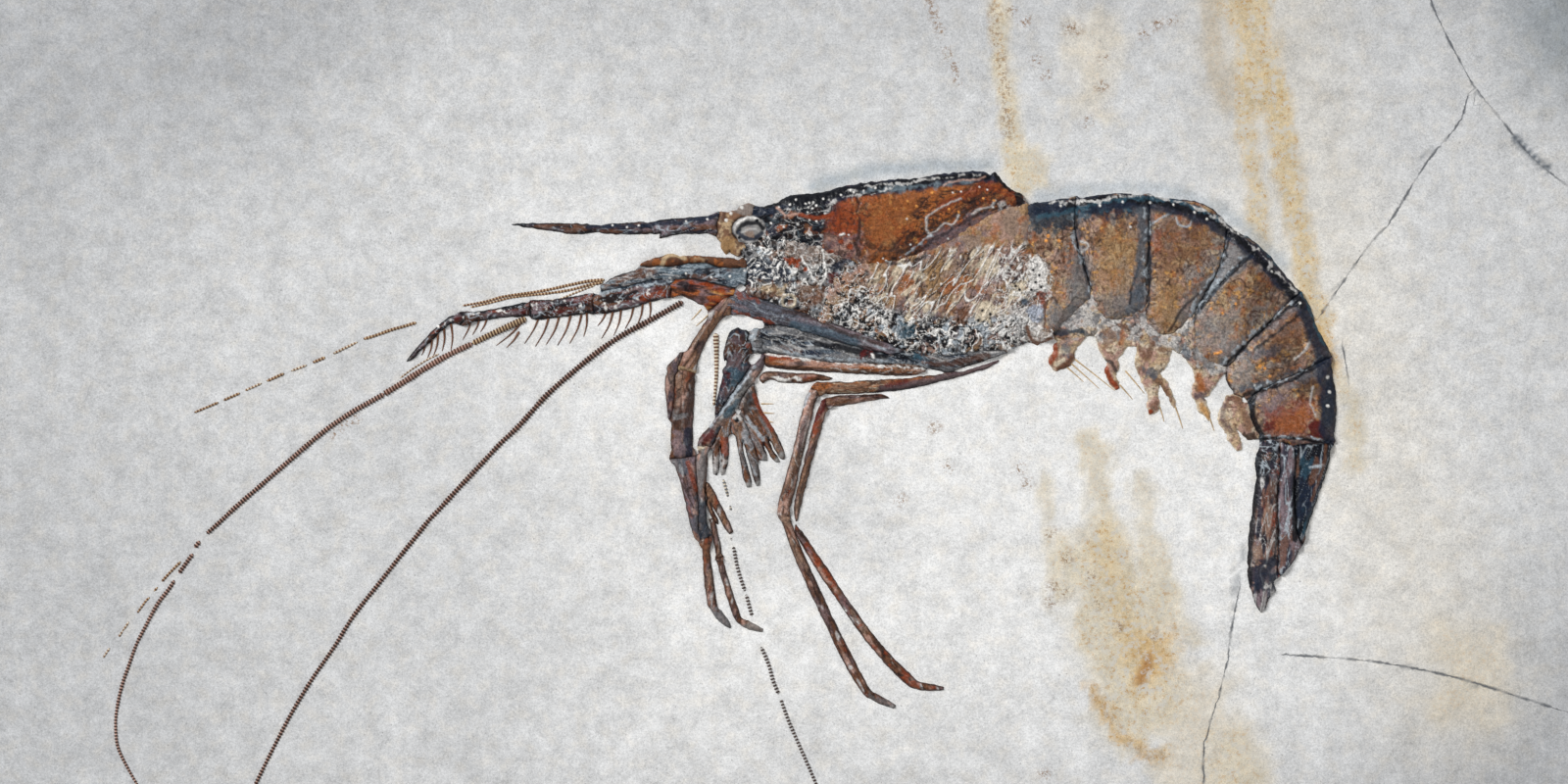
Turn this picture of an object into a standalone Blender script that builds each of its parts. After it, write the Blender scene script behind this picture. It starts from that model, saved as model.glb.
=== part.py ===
"""A fossil long-snouted prawn, flattened on its side on a plate of pale limestone.

Every plate of the shell, every leg joint and every feeler is an object of its own,
and lies just clear of the face of the stone. Metres, +Z up, the prawn's head to -X.
The origin is the centre of the flat underside of the stone.
"""
import math
from dataclasses import dataclass

import bmesh
import bpy
from mathutils import Vector

# Driving dimensions
CARAPACE_LENGTH = 0.03978  # from the eye socket to the hinge of the tail
SLAB_THICKNESS = 0.012
SLAB_BROKEN_EDGE = 0.0011
LIFT = 0.0003  # clearance between a plate of the shell and the stone
FEELER_STEP = 0.0042  # distance between two points of a feeler's tube
SHOULDER_STEEPNESS = 0.8  # rise of a plate's rounded edge for its run
INSET_EASE = 0.7  # what a point keeps of its inset each time its ring would fold
INSET_TRIES = 24
SPINE_BASE_RADIUS = 0.00017
SPINE_TIP_RADIUS = 0.00006

# Outlines are drawn on a fine grid, columns to the right and rows downwards. Its middle
# is above the origin, and the carapace, which lies between these two columns, gives the scale.
CARAPACE_FRONT_COLUMN = 735
CARAPACE_REAR_COLUMN = 1041
MIDDLE_COLUMN = 800
MIDDLE_ROW = 400
GRID_STEP = CARAPACE_LENGTH / (CARAPACE_REAR_COLUMN - CARAPACE_FRONT_COLUMN)

# Outline of the stone in metres, counter-clockwise from its lower left corner
SLAB_OUTLINE = [
    (-0.1200, -0.0590), (-0.1172, -0.0643), (-0.1075, -0.0660), (-0.0700, -0.0653),
    (-0.0300, -0.0660), (0.0100, -0.0654), (0.0550, -0.0660), (0.0900, -0.0651),
    (0.1115, -0.0656), (0.1176, -0.0618), (0.1200, -0.0535), (0.1193, -0.0300),
    (0.1200, -0.0050), (0.1191, 0.0250), (0.1199, 0.0500), (0.1172, 0.0612),
    (0.1105, 0.0655), (0.0850, 0.0651), (0.0500, 0.0660), (0.0150, 0.0652),
    (-0.0250, 0.0660), (-0.0600, 0.0652), (-0.0950, 0.0658), (-0.1135, 0.0646),
    (-0.1188, 0.0595), (-0.1195, 0.0300), (-0.1200, 0.0000), (-0.1191, -0.0350),
]


@dataclass(frozen=True)
class Relief:
    """How far a plate stands up from the stone, and how its edge and crown round off."""

    height: float
    shoulder: float
    crown: float = 0.0
    crown_inset: float = 0.0


SNOUT = Relief(0.00115, 0.00016)
THIN = Relief(0.00060, 0.00008)
LIMB = Relief(0.00095, 0.00017)
WIDE_LIMB = Relief(0.00110, 0.00024)
SMALL = Relief(0.00080, 0.00012)
SHIELD = Relief(0.00125, 0.00045, 0.00055, 0.0015)
SOFT = Relief(0.00095, 0.00040, 0.00040, 0.0012)
SEGMENT = Relief(0.00120, 0.00035, 0.00045, 0.0011)
FAN = Relief(0.00110, 0.00028)


@dataclass(frozen=True)
class Finish:
    """A plain surface colour, for telling the pieces apart."""

    name: str
    colour: tuple
    roughness: float


LIMESTONE = Finish("limestone", (0.66, 0.65, 0.62), 0.85)
RUST = Finish("rust_shell", (0.27, 0.10, 0.04), 0.35)
TAUPE = Finish("taupe_shell", (0.26, 0.17, 0.12), 0.38)
CREAM = Finish("cream_shell", (0.55, 0.47, 0.40), 0.45)
SLATE = Finish("slate_shell", (0.10, 0.11, 0.14), 0.32)
LEG_BROWN = Finish("leg_shell", (0.15, 0.08, 0.06), 0.38)
FEELER_BROWN = Finish("feeler_shell", (0.18, 0.08, 0.05), 0.45)
TAN = Finish("tan_shell", (0.38, 0.27, 0.17), 0.42)

# Head, upper side first and then back along the lower side
ROSTRUM = [
    (522, 229), (540, 228), (575, 228), (604, 229), (612, 231), (622, 228), (640, 228),
    (655, 226), (662, 228), (672, 225), (690, 223), (706, 222), (722, 221), (731, 220),
    (729.5, 228), (730.5, 236), (715, 239), (700, 238.5), (688, 239), (680, 242), (673, 243.5),
    (674, 238.5), (660, 238.5), (640, 239), (615, 238.5), (610, 236), (604, 237.5),
    (596, 239), (580, 238.5), (565, 236), (550, 233.5), (535, 231.5),
]
CARAPACE = [
    (771, 217), (777, 213), (792, 208), (800, 204), (808, 200.5), (816, 199), (831, 198.5),
    (847, 196.5), (856, 193), (868, 190), (881, 188), (900, 186), (918, 184), (932, 184),
    (946, 181), (962, 179), (976, 177.5), (990, 176), (1004, 176), (1011, 180), (1015, 177),
    (1019, 181), (1024, 189), (1033, 195), (1041, 199), (1042, 206), (1039, 209),
    (1028, 208.5), (1019, 213), (1003, 221), (987, 231), (971, 242), (956, 250), (940, 256),
    (924, 261), (905, 266.5), (884, 266.5), (866, 261), (850, 257), (836, 250), (820, 244.5),
    (800, 243), (789, 241.5), (786, 234), (782, 226),
]
GILL_REGION = [
    (889, 270.5), (906, 270), (926, 264.5), (942, 259), (958, 253), (974, 245), (990, 234),
    (1005, 224), (1021, 216), (1030, 212.5), (1046, 213), (1048, 222), (1047, 235),
    (1049, 250), (1054, 256), (1062, 263), (1069, 274), (1074, 287), (1076, 297),
    (1068, 303), (1065, 316), (1066, 333), (1071, 340), (1071, 344), (1065, 349.5),
    (1056, 351.5), (1048, 348), (1043, 351), (1034, 355), (1026, 361), (1012, 367),
    (1000, 372), (985, 376), (968, 378), (950, 376.5), (925, 372), (905, 369.5),
    (897, 367), (897, 358), (914, 357), (913, 350), (900, 346), (885, 340), (870, 333.5),
    (852, 328), (840, 325), (842, 312), (846, 300), (853, 288), (862, 280), (874, 274),
]
MOUTHPARTS = [
    (761, 253), (771, 250.5), (781, 245), (792, 246), (806, 247), (820, 249), (834, 254.5),
    (848, 261.5), (862, 265.5), (876, 269.5), (862, 275), (850, 282), (842, 293), (838, 306),
    (836, 322.5), (822, 318.5), (808, 314), (792, 308.5), (778, 303), (765, 298.5),
    (764, 286), (765, 270),
]
EYE_CENTRE = (765, 234.5)
EYE_RADII = (16.5, 12.0)
EYE_HEIGHT = 0.0012
EYE_POINTS = 20
EYESTALK_ARC = [
    (757, 217), (748, 216.5), (741, 217.5), (736, 221), (733, 229), (734.5, 238), (738, 244),
    (745, 249), (752, 252), (757, 251), (753, 246), (748, 242), (745, 236), (745.5, 229),
    (748, 224), (753, 221),
]
EYESTALK_PLATES = [
    [(736, 242), (735, 250), (738, 257), (741, 260), (744, 257), (747, 250), (745, 244)],
    [(742, 246), (749, 247), (752, 253), (750, 259), (746, 259), (743, 253)],
]
EYESTALK_KNOB = (760, 214.5)
EYESTALK_KNOB_RADIUS = 5.6
ANTENNAL_SCALE = [
    (614, 292), (622, 285), (636, 279), (645, 277), (655, 274.5), (668, 273), (690, 274),
    (700, 271), (712, 270), (721, 270), (731, 274), (745, 276), (760, 275), (760, 288),
    (745, 287), (728, 285.5), (712, 281), (695, 281), (680, 282), (665, 284), (648, 287.5),
    (632, 292), (618, 295.5),
]
ANTENNA_PEDUNCLE = [
    (658, 270), (665, 266), (672, 262), (680, 260), (688, 259), (694, 261.5), (703, 262.5),
    (712, 262), (721, 264), (731, 263), (742, 262.5), (752, 265), (760, 268), (759, 272),
    (743, 272.5), (731, 269.5), (721, 266.5), (710, 266.8), (700, 267.5), (688, 270.5),
    (672, 269.5), (660, 271.5),
]

# The long comb-edged mouth legs, tip to base
MAXILLIPED_TIP = [
    (415, 369), (420, 361), (428, 352), (436, 343), (444, 335), (450, 330), (456, 325),
    (461, 322.5), (468, 321), (475, 322), (475, 326.5), (466, 328.5), (459, 331), (455, 334.5),
    (448, 340), (442, 346), (434, 353), (427, 360), (420, 368),
]
MAXILLIPED_HAND = [
    (479, 321), (490, 317.5), (500, 314.5), (510, 313), (520, 314), (527, 311.5), (535, 310),
    (544, 309.5), (544, 314.5), (537, 317.5), (529, 319.5), (524, 323.5), (515, 323),
    (505, 326), (495, 327), (488, 324.5),
]
MAXILLIPED_SHANK = [
    (547, 309.5), (560, 308.5), (573, 307.5), (585, 304), (595, 302), (601, 303),
    (601, 318.5), (590, 321), (575, 323), (562, 324), (553, 321), (547, 317),
]
MAXILLIPED_THIGH = [
    (604.5, 303), (613, 299.5), (635, 295), (655, 290.5), (668, 287.5), (680, 285.5),
    (685, 287), (683, 300), (676, 305), (664, 308), (650, 313), (640, 315.5), (625, 319),
    (612, 320), (605, 317.5),
]
MAXILLIPED_BASE = [
    (688, 290), (700, 288.5), (712, 290), (725, 293.5), (738, 297.5), (747, 300), (739, 302.5),
    (731, 307.5), (726, 312.5), (720, 312), (711, 309.5), (703, 304.5), (695, 301), (687, 300),
]
# Spines of the comb, each from its root to its point
TIP_SPINES = [
    ((434, 350), (430, 363)), ((441, 344), (436, 366)), ((447, 339), (442, 364)),
    ((453, 334), (451, 359)), ((460, 329), (460, 358)),
]
HAND_SPINES = [
    ((482, 320.5), (472, 347)), ((490, 322), (482, 342)), ((497, 324), (490, 339)),
]
SHANK_SPINES = [
    ((552, 317), (535, 351)), ((561, 320), (546, 354)), ((571.5, 320), (557, 352)),
    ((583, 319), (568.5, 353)), ((594, 318), (581, 351)), ((598.5, 316), (595.5, 344)),
]
THIGH_SPINES = [
    ((619, 317), (609.5, 333)), ((626, 316), (613.5, 346)), ((634, 314), (626, 343)),
    ((647, 311), (637.5, 336)), ((656, 308), (650, 332)), ((663, 306), (662.3, 326)),
]

# Walking legs, numbered from the head
LEG_1_THIGH = [
    (746, 304.5), (751, 307), (750, 312), (744, 317), (738, 323), (732, 331), (726, 339),
    (720, 350), (715, 360), (712, 370), (710, 378), (700, 376), (693, 375), (696, 369),
    (700, 360), (706, 349), (713, 339), (719, 329), (727, 318), (734, 311), (741, 306),
]
LEG_1_SHIN = [
    (690, 384), (697, 380), (704, 380.5), (708.5, 384), (709, 395), (708, 410), (707, 430),
    (706.5, 450), (706, 463), (697, 466.5), (687, 466), (685, 455), (685, 440), (686.5, 425),
    (689, 410), (689.5, 395),
]
LEG_1_FOOT = [
    (688, 470), (697, 469.5), (706, 467), (708, 483), (710, 498), (711, 510), (711, 530),
    (713, 545), (713.5, 551), (708, 547), (703, 531), (700, 516), (697, 502), (694, 490),
    (690, 479),
]
LEG_1_SPUR = [
    (694, 361), (689, 366), (683, 371), (680, 375), (681, 380), (678, 387), (678.5, 397),
    (680, 408), (681, 418), (683, 425), (685.5, 418), (687, 408), (687, 388), (686.5, 381),
    (690, 377), (692, 370),
]
LEG_2_THIGH = [
    (777, 366), (783, 367), (781, 374), (775, 382), (770, 390), (765, 396), (757, 405),
    (749, 414), (741, 424), (736, 434), (731, 444), (728, 452), (720, 453.5), (713, 455),
    (712, 449), (718, 441), (727, 430), (734, 420), (740, 411), (747, 401), (756, 390),
    (764, 380), (770, 373),
]
LEG_2_SHIN = [
    (713.5, 458.5), (722, 457), (722, 470), (721, 485), (720, 500), (720, 515), (721.5, 532),
    (722, 548), (716, 549), (714.5, 530), (713.8, 508), (713, 490), (713, 474),
]
LEG_2_FOOT = [
    (715.5, 552), (721.5, 551), (722.5, 562), (724, 575), (726, 590), (728.5, 603),
    (731, 614), (731, 619), (736, 625), (741, 632), (745, 639), (742, 640.5), (735, 636),
    (728.5, 629), (723.5, 620), (721, 610), (719.5, 597), (718, 583), (716.5, 570),
]
LEG_3_SHIN = [
    (724, 528.5), (728, 528), (729.5, 535), (731, 545), (733, 556), (735, 566), (731.5, 567.5),
    (729, 563), (726.5, 552), (724.5, 540),
]
LEG_3_FOOT = [
    (732.5, 571), (736, 570), (738, 577), (741.5, 587), (745, 597), (748.5, 608), (752, 619),
    (755, 628), (757.5, 633), (761, 637), (766, 637.5), (778, 642), (777, 644.5), (768, 643),
    (761, 641.5), (754, 638), (749, 633), (746.5, 629.5), (744, 620), (740.5, 609),
    (737.5, 599), (734.5, 588),
]
LEG_3_FINGER = [
    (722.5, 489), (727, 494), (731, 503), (736, 513), (741, 523), (745.5, 532), (748, 540),
    (746.5, 545), (742, 541), (738, 533), (733, 523), (728.5, 513), (724.5, 503),
]
LEG_4_THIGH = [
    (834, 391.5), (845, 390), (880, 388.5), (920, 386), (945, 384), (965, 382), (985, 380),
    (1002, 378), (1002, 381), (988, 385), (965, 391), (938, 398), (905, 401.5), (880, 401.5),
    (848, 401.5), (835, 401),
]
LEG_4_SHIN = [
    (827, 400), (832, 403.5), (830, 415), (826, 430), (821, 450), (816.5, 468), (812, 485),
    (809, 500), (806, 512), (804, 523), (798, 528), (793.5, 522), (794, 513), (798, 500),
    (802, 485), (807, 468), (812, 450), (818, 430), (822, 414),
]
LEG_4_FOOT = [
    (798.5, 530.5), (804.5, 527), (808, 536), (812.5, 549), (817.3, 560), (821.5, 571), (826, 583),
    (833.5, 600), (843, 620), (848, 630), (853, 641), (861, 660), (867, 670), (873, 681),
    (879, 691), (886, 701), (892, 709), (900, 713), (909, 717), (914, 720), (906, 720.5),
    (899, 718.5), (891, 716), (884, 711), (878, 703), (871, 691), (865, 681), (859, 671),
    (854, 661), (849, 651), (843.5, 640), (838.5, 630), (834.5, 620), (830, 610), (826, 601),
    (817, 581), (812, 571), (808, 561), (804.5, 551), (801, 541),
]
LEG_5_THIGH = [
    (846, 405), (860, 404.5), (880, 404.5), (903, 404.5), (907, 406), (898, 408), (880, 411),
    (862, 414.5), (849, 415), (846.5, 410),
]
LEG_5_SHIN = [
    (838, 408.5), (843, 409), (843, 417), (839, 428), (835.5, 440), (831.5, 452), (827, 465),
    (823.5, 478), (820.5, 490), (818, 502), (815.5, 514), (814.5, 530), (811, 531), (809.5, 520),
    (810, 508), (812, 496), (815, 482), (818.5, 468), (822.5, 452), (826.5, 438), (831, 424),
    (834, 414),
]
LEG_5_FOOT = [
    (813.5, 544), (816.5, 545.5), (820.5, 551), (826, 560), (832, 570), (838, 579), (845, 589.5),
    (852, 600), (859, 610), (867, 620), (875, 630), (883, 640), (891, 650), (900, 660),
    (908, 669.5), (918, 680), (930, 689), (934, 693.5), (935, 697.5), (945, 698), (955, 699.5),
    (963, 701), (962, 703.5), (950, 704), (940, 703.5), (933.5, 702.5), (927, 699.5),
    (919, 690.5), (909, 681), (899, 671), (889.5, 661), (880.5, 651), (872.5, 641),
    (864.5, 631), (856.5, 621), (849.5, 611), (842.5, 601), (835.5, 591), (829, 581),
    (823.5, 571), (819.5, 561), (815.5, 552),
]
ARM_1 = [
    (755, 305), (770, 308), (790, 313.5), (808, 319), (830, 325.5), (850, 332), (870, 338),
    (890, 345.5), (910, 352), (910, 355), (890, 355), (866, 349.5), (850, 346.5), (830, 341.5),
    (815, 336.5), (800, 333.5), (788, 330.5), (775, 326), (760, 320), (750, 315), (754, 310),
]
ARM_2 = [
    (770, 336), (780, 331.5), (792, 334.5), (805, 338), (830, 345), (850, 350), (870, 353.5),
    (886, 357), (893, 361), (892, 366), (878, 368), (862, 367.5), (840, 366), (820, 363.5),
    (805, 361.5), (790, 357.5), (780, 356), (770, 359), (768, 348),
]
ARM_3 = [
    (783, 362.5), (791, 361), (812, 366), (840, 369.5), (870, 371.5), (900, 373.5), (925, 376),
    (944, 379.5), (944, 382), (925, 383.5), (905, 384), (882, 384), (855, 380.5), (830, 378.5),
    (805, 376.5), (790, 373.5), (784, 372),
]
ARM_4 = [
    (783, 381), (790, 377.5), (805, 379), (825, 381.5), (840, 383.5), (851, 386), (838, 388.5),
    (820, 391), (795, 391), (784, 388.5),
]
CLAW_PALM = [
    (748, 337), (757, 335), (762, 338), (765.5, 346), (765.5, 358), (765, 366), (767, 369.5),
    (761, 378), (752, 389), (743, 401), (736, 412), (731.8, 419), (732, 412), (734.5, 402),
    (738, 393), (742, 384), (743.5, 376), (740, 371), (739, 360), (741.5, 347),
]
CLAW_1 = [
    (734, 441), (740, 430), (745, 424), (745, 440), (743.8, 455), (744.5, 466), (742.5, 476),
    (739, 484.5), (735.5, 484), (735.8, 470), (736, 456), (734.5, 456), (733.8, 470),
    (732, 481), (729, 484.5), (727, 481), (727, 468), (728.5, 456),
]
CLAW_2 = [
    (748, 431), (752, 422), (756.5, 420), (760, 430), (764, 441), (768, 452), (771.5, 465),
    (774.5, 477), (776, 488), (774.5, 496), (771, 498), (768.5, 492), (766, 480), (762, 466),
    (757.5, 452), (757, 455), (761, 468), (764.5, 480), (767.5, 491), (767, 498.5), (761, 497),
    (757, 486), (754.5, 471), (752, 455), (749.5, 442),
]
CLAW_3 = [
    (757.5, 411), (762, 404), (768, 398), (772, 402), (776, 412), (781, 423), (787, 434.5),
    (793, 446), (798.5, 457), (801, 465), (799, 470), (796, 468), (790, 458), (785, 448),
    (784, 449), (789, 458), (794, 467), (792, 472), (788.5, 471), (784, 462), (778, 451),
    (777, 452), (782, 461), (784.5, 468), (781.5, 470), (777.5, 467), (772, 456), (767, 445),
    (763, 433), (760, 421),
]

# Tail, front to rear; each ring is drawn from its upper front corner, clockwise
ABDOMEN_1 = [
    (1053, 211), (1062, 208), (1075, 206), (1085, 203.5), (1096, 204), (1095.5, 215),
    (1095, 225), (1095.5, 235), (1097, 245), (1100, 255), (1103.5, 265), (1107.5, 277),
    (1110.5, 288), (1112.5, 299), (1107, 309), (1099, 315), (1093, 322), (1087, 329.5),
    (1078, 334), (1070, 334), (1068.5, 320), (1070.5, 308), (1079, 300), (1078.5, 288),
    (1073.5, 273), (1066, 260.5), (1057, 252.5), (1052, 248), (1050.5, 235), (1051, 222),
]
ABDOMEN_2 = [
    (1099, 204.5), (1110, 202.5), (1122, 200.5), (1136, 198.5), (1150, 199), (1161, 200),
    (1170.5, 201), (1171, 218), (1170.5, 238), (1171.5, 260), (1172.5, 275), (1171.5, 290),
    (1169, 304), (1165.5, 314), (1158, 320), (1149, 324), (1140, 326.5), (1131, 325.5),
    (1124, 320), (1119.5, 311), (1116.5, 300), (1113.5, 288), (1110.5, 276), (1106, 264),
    (1102, 252), (1099, 240), (1098, 225), (1099, 214),
]
ABDOMEN_3 = [
    (1174, 201.5), (1185, 202.5), (1198, 204), (1210, 205), (1222, 207), (1235, 213),
    (1245, 221), (1251, 231), (1248.5, 248), (1244, 265), (1238.5, 280), (1231, 295),
    (1224, 306), (1217, 316), (1208, 326), (1200, 335), (1192, 340.5), (1183, 340.5),
    (1175, 335), (1170, 326), (1170.5, 313), (1173, 300), (1175.5, 285), (1175.5, 270),
    (1174.5, 250), (1174.5, 225),
]
ABDOMEN_4 = [
    (1254, 234), (1263, 238), (1273, 243), (1284, 251), (1294, 261), (1304, 273), (1314, 285.5),
    (1323.5, 298), (1314, 307), (1302, 318), (1291, 330.5), (1280, 341), (1270, 350),
    (1262, 360), (1255, 369), (1249, 373), (1240, 371.5), (1230, 366.5), (1222, 359),
    (1218, 346), (1218, 332), (1220, 319), (1227, 308), (1235, 296), (1242, 282), (1248, 266),
    (1252, 249),
]
ABDOMEN_5 = [
    (1327, 302), (1334, 308), (1338, 320), (1341, 331), (1345, 340), (1350, 348), (1355, 358),
    (1355, 364), (1343, 370), (1330, 377), (1316, 383), (1303, 388.5), (1291, 394),
    (1281, 399.5), (1275, 405), (1265, 402), (1258, 397.5), (1253, 390.5), (1251.5, 382),
    (1254, 375.5), (1260, 371), (1266, 362.5), (1274, 353), (1284, 344), (1295, 333),
    (1305, 321.5), (1316, 310.5),
]
ABDOMEN_6 = [
    (1356.5, 366.5), (1358, 380), (1360, 392), (1362, 405), (1363, 418), (1361.5, 430), (1359.5, 440),
    (1361.5, 449), (1350, 451.5), (1335, 451), (1320, 452.5), (1309, 449.5), (1298, 446),
    (1289, 448.5), (1284, 443), (1279.5, 434), (1276.5, 422), (1276, 408.5), (1282, 402.5),
    (1292, 396.5), (1304, 391), (1317, 385.5), (1331, 379.5), (1344, 372.5),
]
TAIL_LEFT_FAN = [
    (1296, 449.5), (1289, 452.5), (1284.5, 460), (1282, 468), (1282.5, 477), (1284, 484),
    (1282, 496), (1280, 510), (1278.5, 525), (1276, 540), (1274.5, 556), (1274, 575),
    (1275, 595), (1279, 605), (1282, 616), (1287, 624), (1291, 620), (1293, 611), (1301, 602),
    (1298, 595), (1303, 588), (1303, 575), (1302.5, 555), (1303, 530), (1302.5, 510),
    (1303.5, 490), (1305, 470), (1304, 454),
]
TAIL_SPIKE = [
    (1307, 453), (1318, 456), (1320.5, 466), (1320, 485), (1319.5, 505), (1320.5, 525),
    (1322.5, 543), (1326, 556), (1323, 568), (1317, 577), (1310, 583), (1305.5, 584),
    (1305.5, 565), (1305.5, 540), (1305, 515), (1306, 492), (1307.5, 472),
]
TAIL_RIGHT_FAN = [
    (1323, 456), (1336, 454), (1350, 454.5), (1357.5, 455), (1357, 467), (1354, 479),
    (1350, 491), (1345.5, 504), (1341, 517), (1336, 531), (1332, 544), (1328, 552),
    (1325.5, 545), (1323.5, 528), (1322.5, 508), (1323, 486), (1323.5, 470),
]

# Swimming legs under the tail
PLEOPOD_1 = [
    (1073, 347), (1078, 344), (1085, 348), (1093, 345), (1102, 344), (1103, 350), (1098, 356),
    (1096, 364), (1092, 373), (1085, 377.5), (1076, 377), (1070, 371), (1071, 363),
    (1075, 357),
]
PLEOPOD_2 = [
    (1120, 344), (1127, 337), (1137, 333), (1149, 335), (1152, 345), (1150, 356), (1144, 362),
    (1143, 371), (1141, 380), (1142, 389), (1143, 396), (1137, 397), (1131, 389), (1127, 379),
    (1125, 369), (1121, 356),
]
PLEOPOD_3 = [
    (1165, 350), (1175, 345.5), (1187, 348), (1194, 357), (1194, 368), (1189, 377),
    (1188, 386), (1192, 396), (1197, 408), (1196, 414), (1190, 408), (1186, 401), (1186, 411),
    (1184, 419), (1178, 418), (1173, 411), (1172, 399), (1171, 387), (1166, 377), (1163, 364),
]
PLEOPOD_4 = [
    (1221, 374), (1230, 375.5), (1239, 380), (1238, 391), (1234, 401), (1233, 411),
    (1236, 423), (1236, 431), (1230, 427), (1224, 420), (1219, 410), (1215, 403), (1218, 393),
    (1219, 383),
]
PLEOPOD_5 = [
    (1250, 402), (1259, 401.5), (1267, 405), (1273, 410), (1273.5, 424), (1277, 435),
    (1281.5, 444), (1276, 448), (1270, 445), (1269, 452), (1267, 459), (1260, 454),
    (1254, 443), (1249, 430), (1247, 418),
]

# Feelers: the places they pass through, then the radius at each end
THREAD = [(425, 329), (398, 337), (369, 347), (333, 364), (290, 381), (249, 399), (198, 421)]
FAR_FEELER = [
    (537, 325), (508, 338), (482, 350.5), (456, 363), (432, 377), (410, 391), (392, 402),
    (376, 411), (360, 420), (336, 436), (316, 452), (297.5, 468), (279, 484), (260.5, 500),
    (242, 516), (227.5, 529.5), (211, 544.5), (198, 561), (187, 578.5), (173, 600),
    (160, 617.5), (148, 640), (139, 658), (131, 680), (124, 701), (119, 725), (118, 743),
    (120.5, 763), (131, 785), (145, 808), (163, 830),
]
FAR_BRANCH = [
    (184.5, 573), (173.5, 584), (161, 599), (149, 613), (140, 625.5), (128, 640), (111, 662),
    (105, 671.5),
]
NEAR_FEELER = [
    (697, 308), (661, 328), (635, 342), (610, 359), (584, 380), (559, 402), (542.5, 420),
    (528, 436), (511, 452), (496, 468), (481, 484), (466, 500), (451.5, 516), (436.5, 532),
    (424, 548), (411, 564), (386, 596), (361, 628), (341, 660), (319, 692), (299.5, 724),
    (282.5, 756), (262, 797.5), (248, 830),
]
HANGING_TOP = [(730.5, 340), (731, 360), (731, 380), (730, 396), (728.5, 414)]
HANGING_MIDDLE = [
    (746, 549), (749, 561), (752, 577), (756, 591), (761, 606), (765, 620), (767.5, 629),
]
HANGING_END = [
    (776.5, 660), (781.5, 671), (785.5, 682), (789, 695), (796, 712), (801, 726), (806, 739),
    (817, 764), (831, 796), (840, 818),
]
ANTENNULE_STRANDS = [
    [
        (617, 285.5), (600, 287), (580, 291), (560, 295.5), (540, 298.8), (515, 302.3),
        (495, 307.7), (472, 312),
    ],
    [
        (615.5, 288), (600, 291), (582, 295.8), (560, 299.2), (538, 301.5), (520, 304),
        (500, 309), (480, 313.5),
    ],
]
ANTENNULE_RADII = (0.00030, 0.00016)


def place(column, row, height=0.0):
    """The point of the model at a place of the grid."""
    return Vector(((column - MIDDLE_COLUMN) * GRID_STEP, (MIDDLE_ROW - row) * GRID_STEP, height))


def collection(name):
    """A new collection in the scene."""
    made = bpy.data.collections.new(name)
    bpy.context.scene.collection.children.link(made)
    return made


def material(finish):
    """The material of a finish, made once."""
    found = bpy.data.materials.get(finish.name)
    if found:
        return found
    made = bpy.data.materials.new(finish.name)
    made.use_nodes = True
    shader = made.node_tree.nodes["Principled BSDF"]
    shader.inputs["Base Color"].default_value = (*finish.colour, 1.0)
    shader.inputs["Roughness"].default_value = finish.roughness
    shader.inputs["Metallic"].default_value = 0.0
    return made


def mesh_object(name, bm, finish, group):
    """An object made from a bmesh, with its faces turned outwards."""
    bmesh.ops.recalc_face_normals(bm, faces=bm.faces)
    mesh = bpy.data.meshes.new(name)
    bm.to_mesh(mesh)
    bm.free()
    mesh.materials.append(material(finish))
    obj = bpy.data.objects.new(name, mesh)
    group.objects.link(obj)
    return obj


def turn(first, second, third):
    """Twice the area of a flat triangle, positive when its corners run anticlockwise."""
    along = second - first
    across = third - first
    return along.x * across.y - along.y * across.x


def crosses(start, end, other_start, other_end):
    """Whether two flat stretches cross each other."""
    splits = turn(start, end, other_start) * turn(start, end, other_end) < 0
    return splits and turn(other_start, other_end, start) * turn(other_start, other_end, end) < 0


def folded_places(ring, inner):
    """Places of the points whose slope between two rings folds, or whose inner ring crosses itself."""
    count = len(ring)
    folded = set()
    for index in range(count):
        after = (index + 1) % count
        low, low_after, high, high_after = ring[index], ring[after], inner[index], inner[after]
        corners = (
            turn(low, low_after, high_after),
            turn(low, high_after, high),
            turn(low, low_after, high),
            turn(low_after, high_after, high),
        )
        if min(corners) <= 0:
            folded.update((index, after))
        for other in range(index + 2, count):
            last = (other + 1) % count
            if last != index and crosses(high, high_after, inner[other], inner[last]):
                folded.update((index, after, other, last))
    return folded


def set_in(ring, distance):
    """A ring of points set in from an anticlockwise ring, less far where it would fold."""
    count = len(ring)
    inward = []
    for index, point in enumerate(ring):
        before = (point - ring[index - 1]).normalized()
        after = (ring[(index + 1) % count] - point).normalized()
        along = before + after
        inward.append(Vector((-along.y, along.x, 0)).normalized())
    steps = [distance] * count
    for _ in range(INSET_TRIES):
        inner = [point + way * step for point, way, step in zip(ring, inward, steps)]
        folded = folded_places(ring, inner)
        if not folded:
            break
        for index in folded:
            steps[index] *= INSET_EASE
    return inner


def raised_outline(points, base, relief):
    """A bmesh: an outline stood up from a level base, with a sloped shoulder and a low crown."""
    if sum(turn(Vector(), points[index - 1], points[index]) for index in range(len(points))) < 0:
        points = points[::-1]
    slope = relief.shoulder * SHOULDER_STEEPNESS
    shoulder = set_in(points, relief.shoulder)
    levels = [(points, 0), (points, relief.height - slope), (shoulder, relief.height)]
    if relief.crown:
        levels.append((set_in(shoulder, relief.crown_inset), relief.height + relief.crown))
    bm = bmesh.new()
    rings = [
        [bm.verts.new((point.x, point.y, base + rise)) for point in ring] for ring, rise in levels
    ]
    bm.faces.new(rings[0][::-1])
    for lower, upper in zip(rings, rings[1:]):
        for index in range(len(points)):
            bm.faces.new((lower[index - 1], lower[index], upper[index], upper[index - 1]))
    bm.faces.new(rings[-1])
    return bm


def shell_plate(name, outline, relief, finish, group):
    """A plate of the shell that lies on the stone."""
    points = [place(*point) for point in outline]
    return mesh_object(name, raised_outline(points, SLAB_THICKNESS + LIFT, relief), finish, group)


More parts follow.
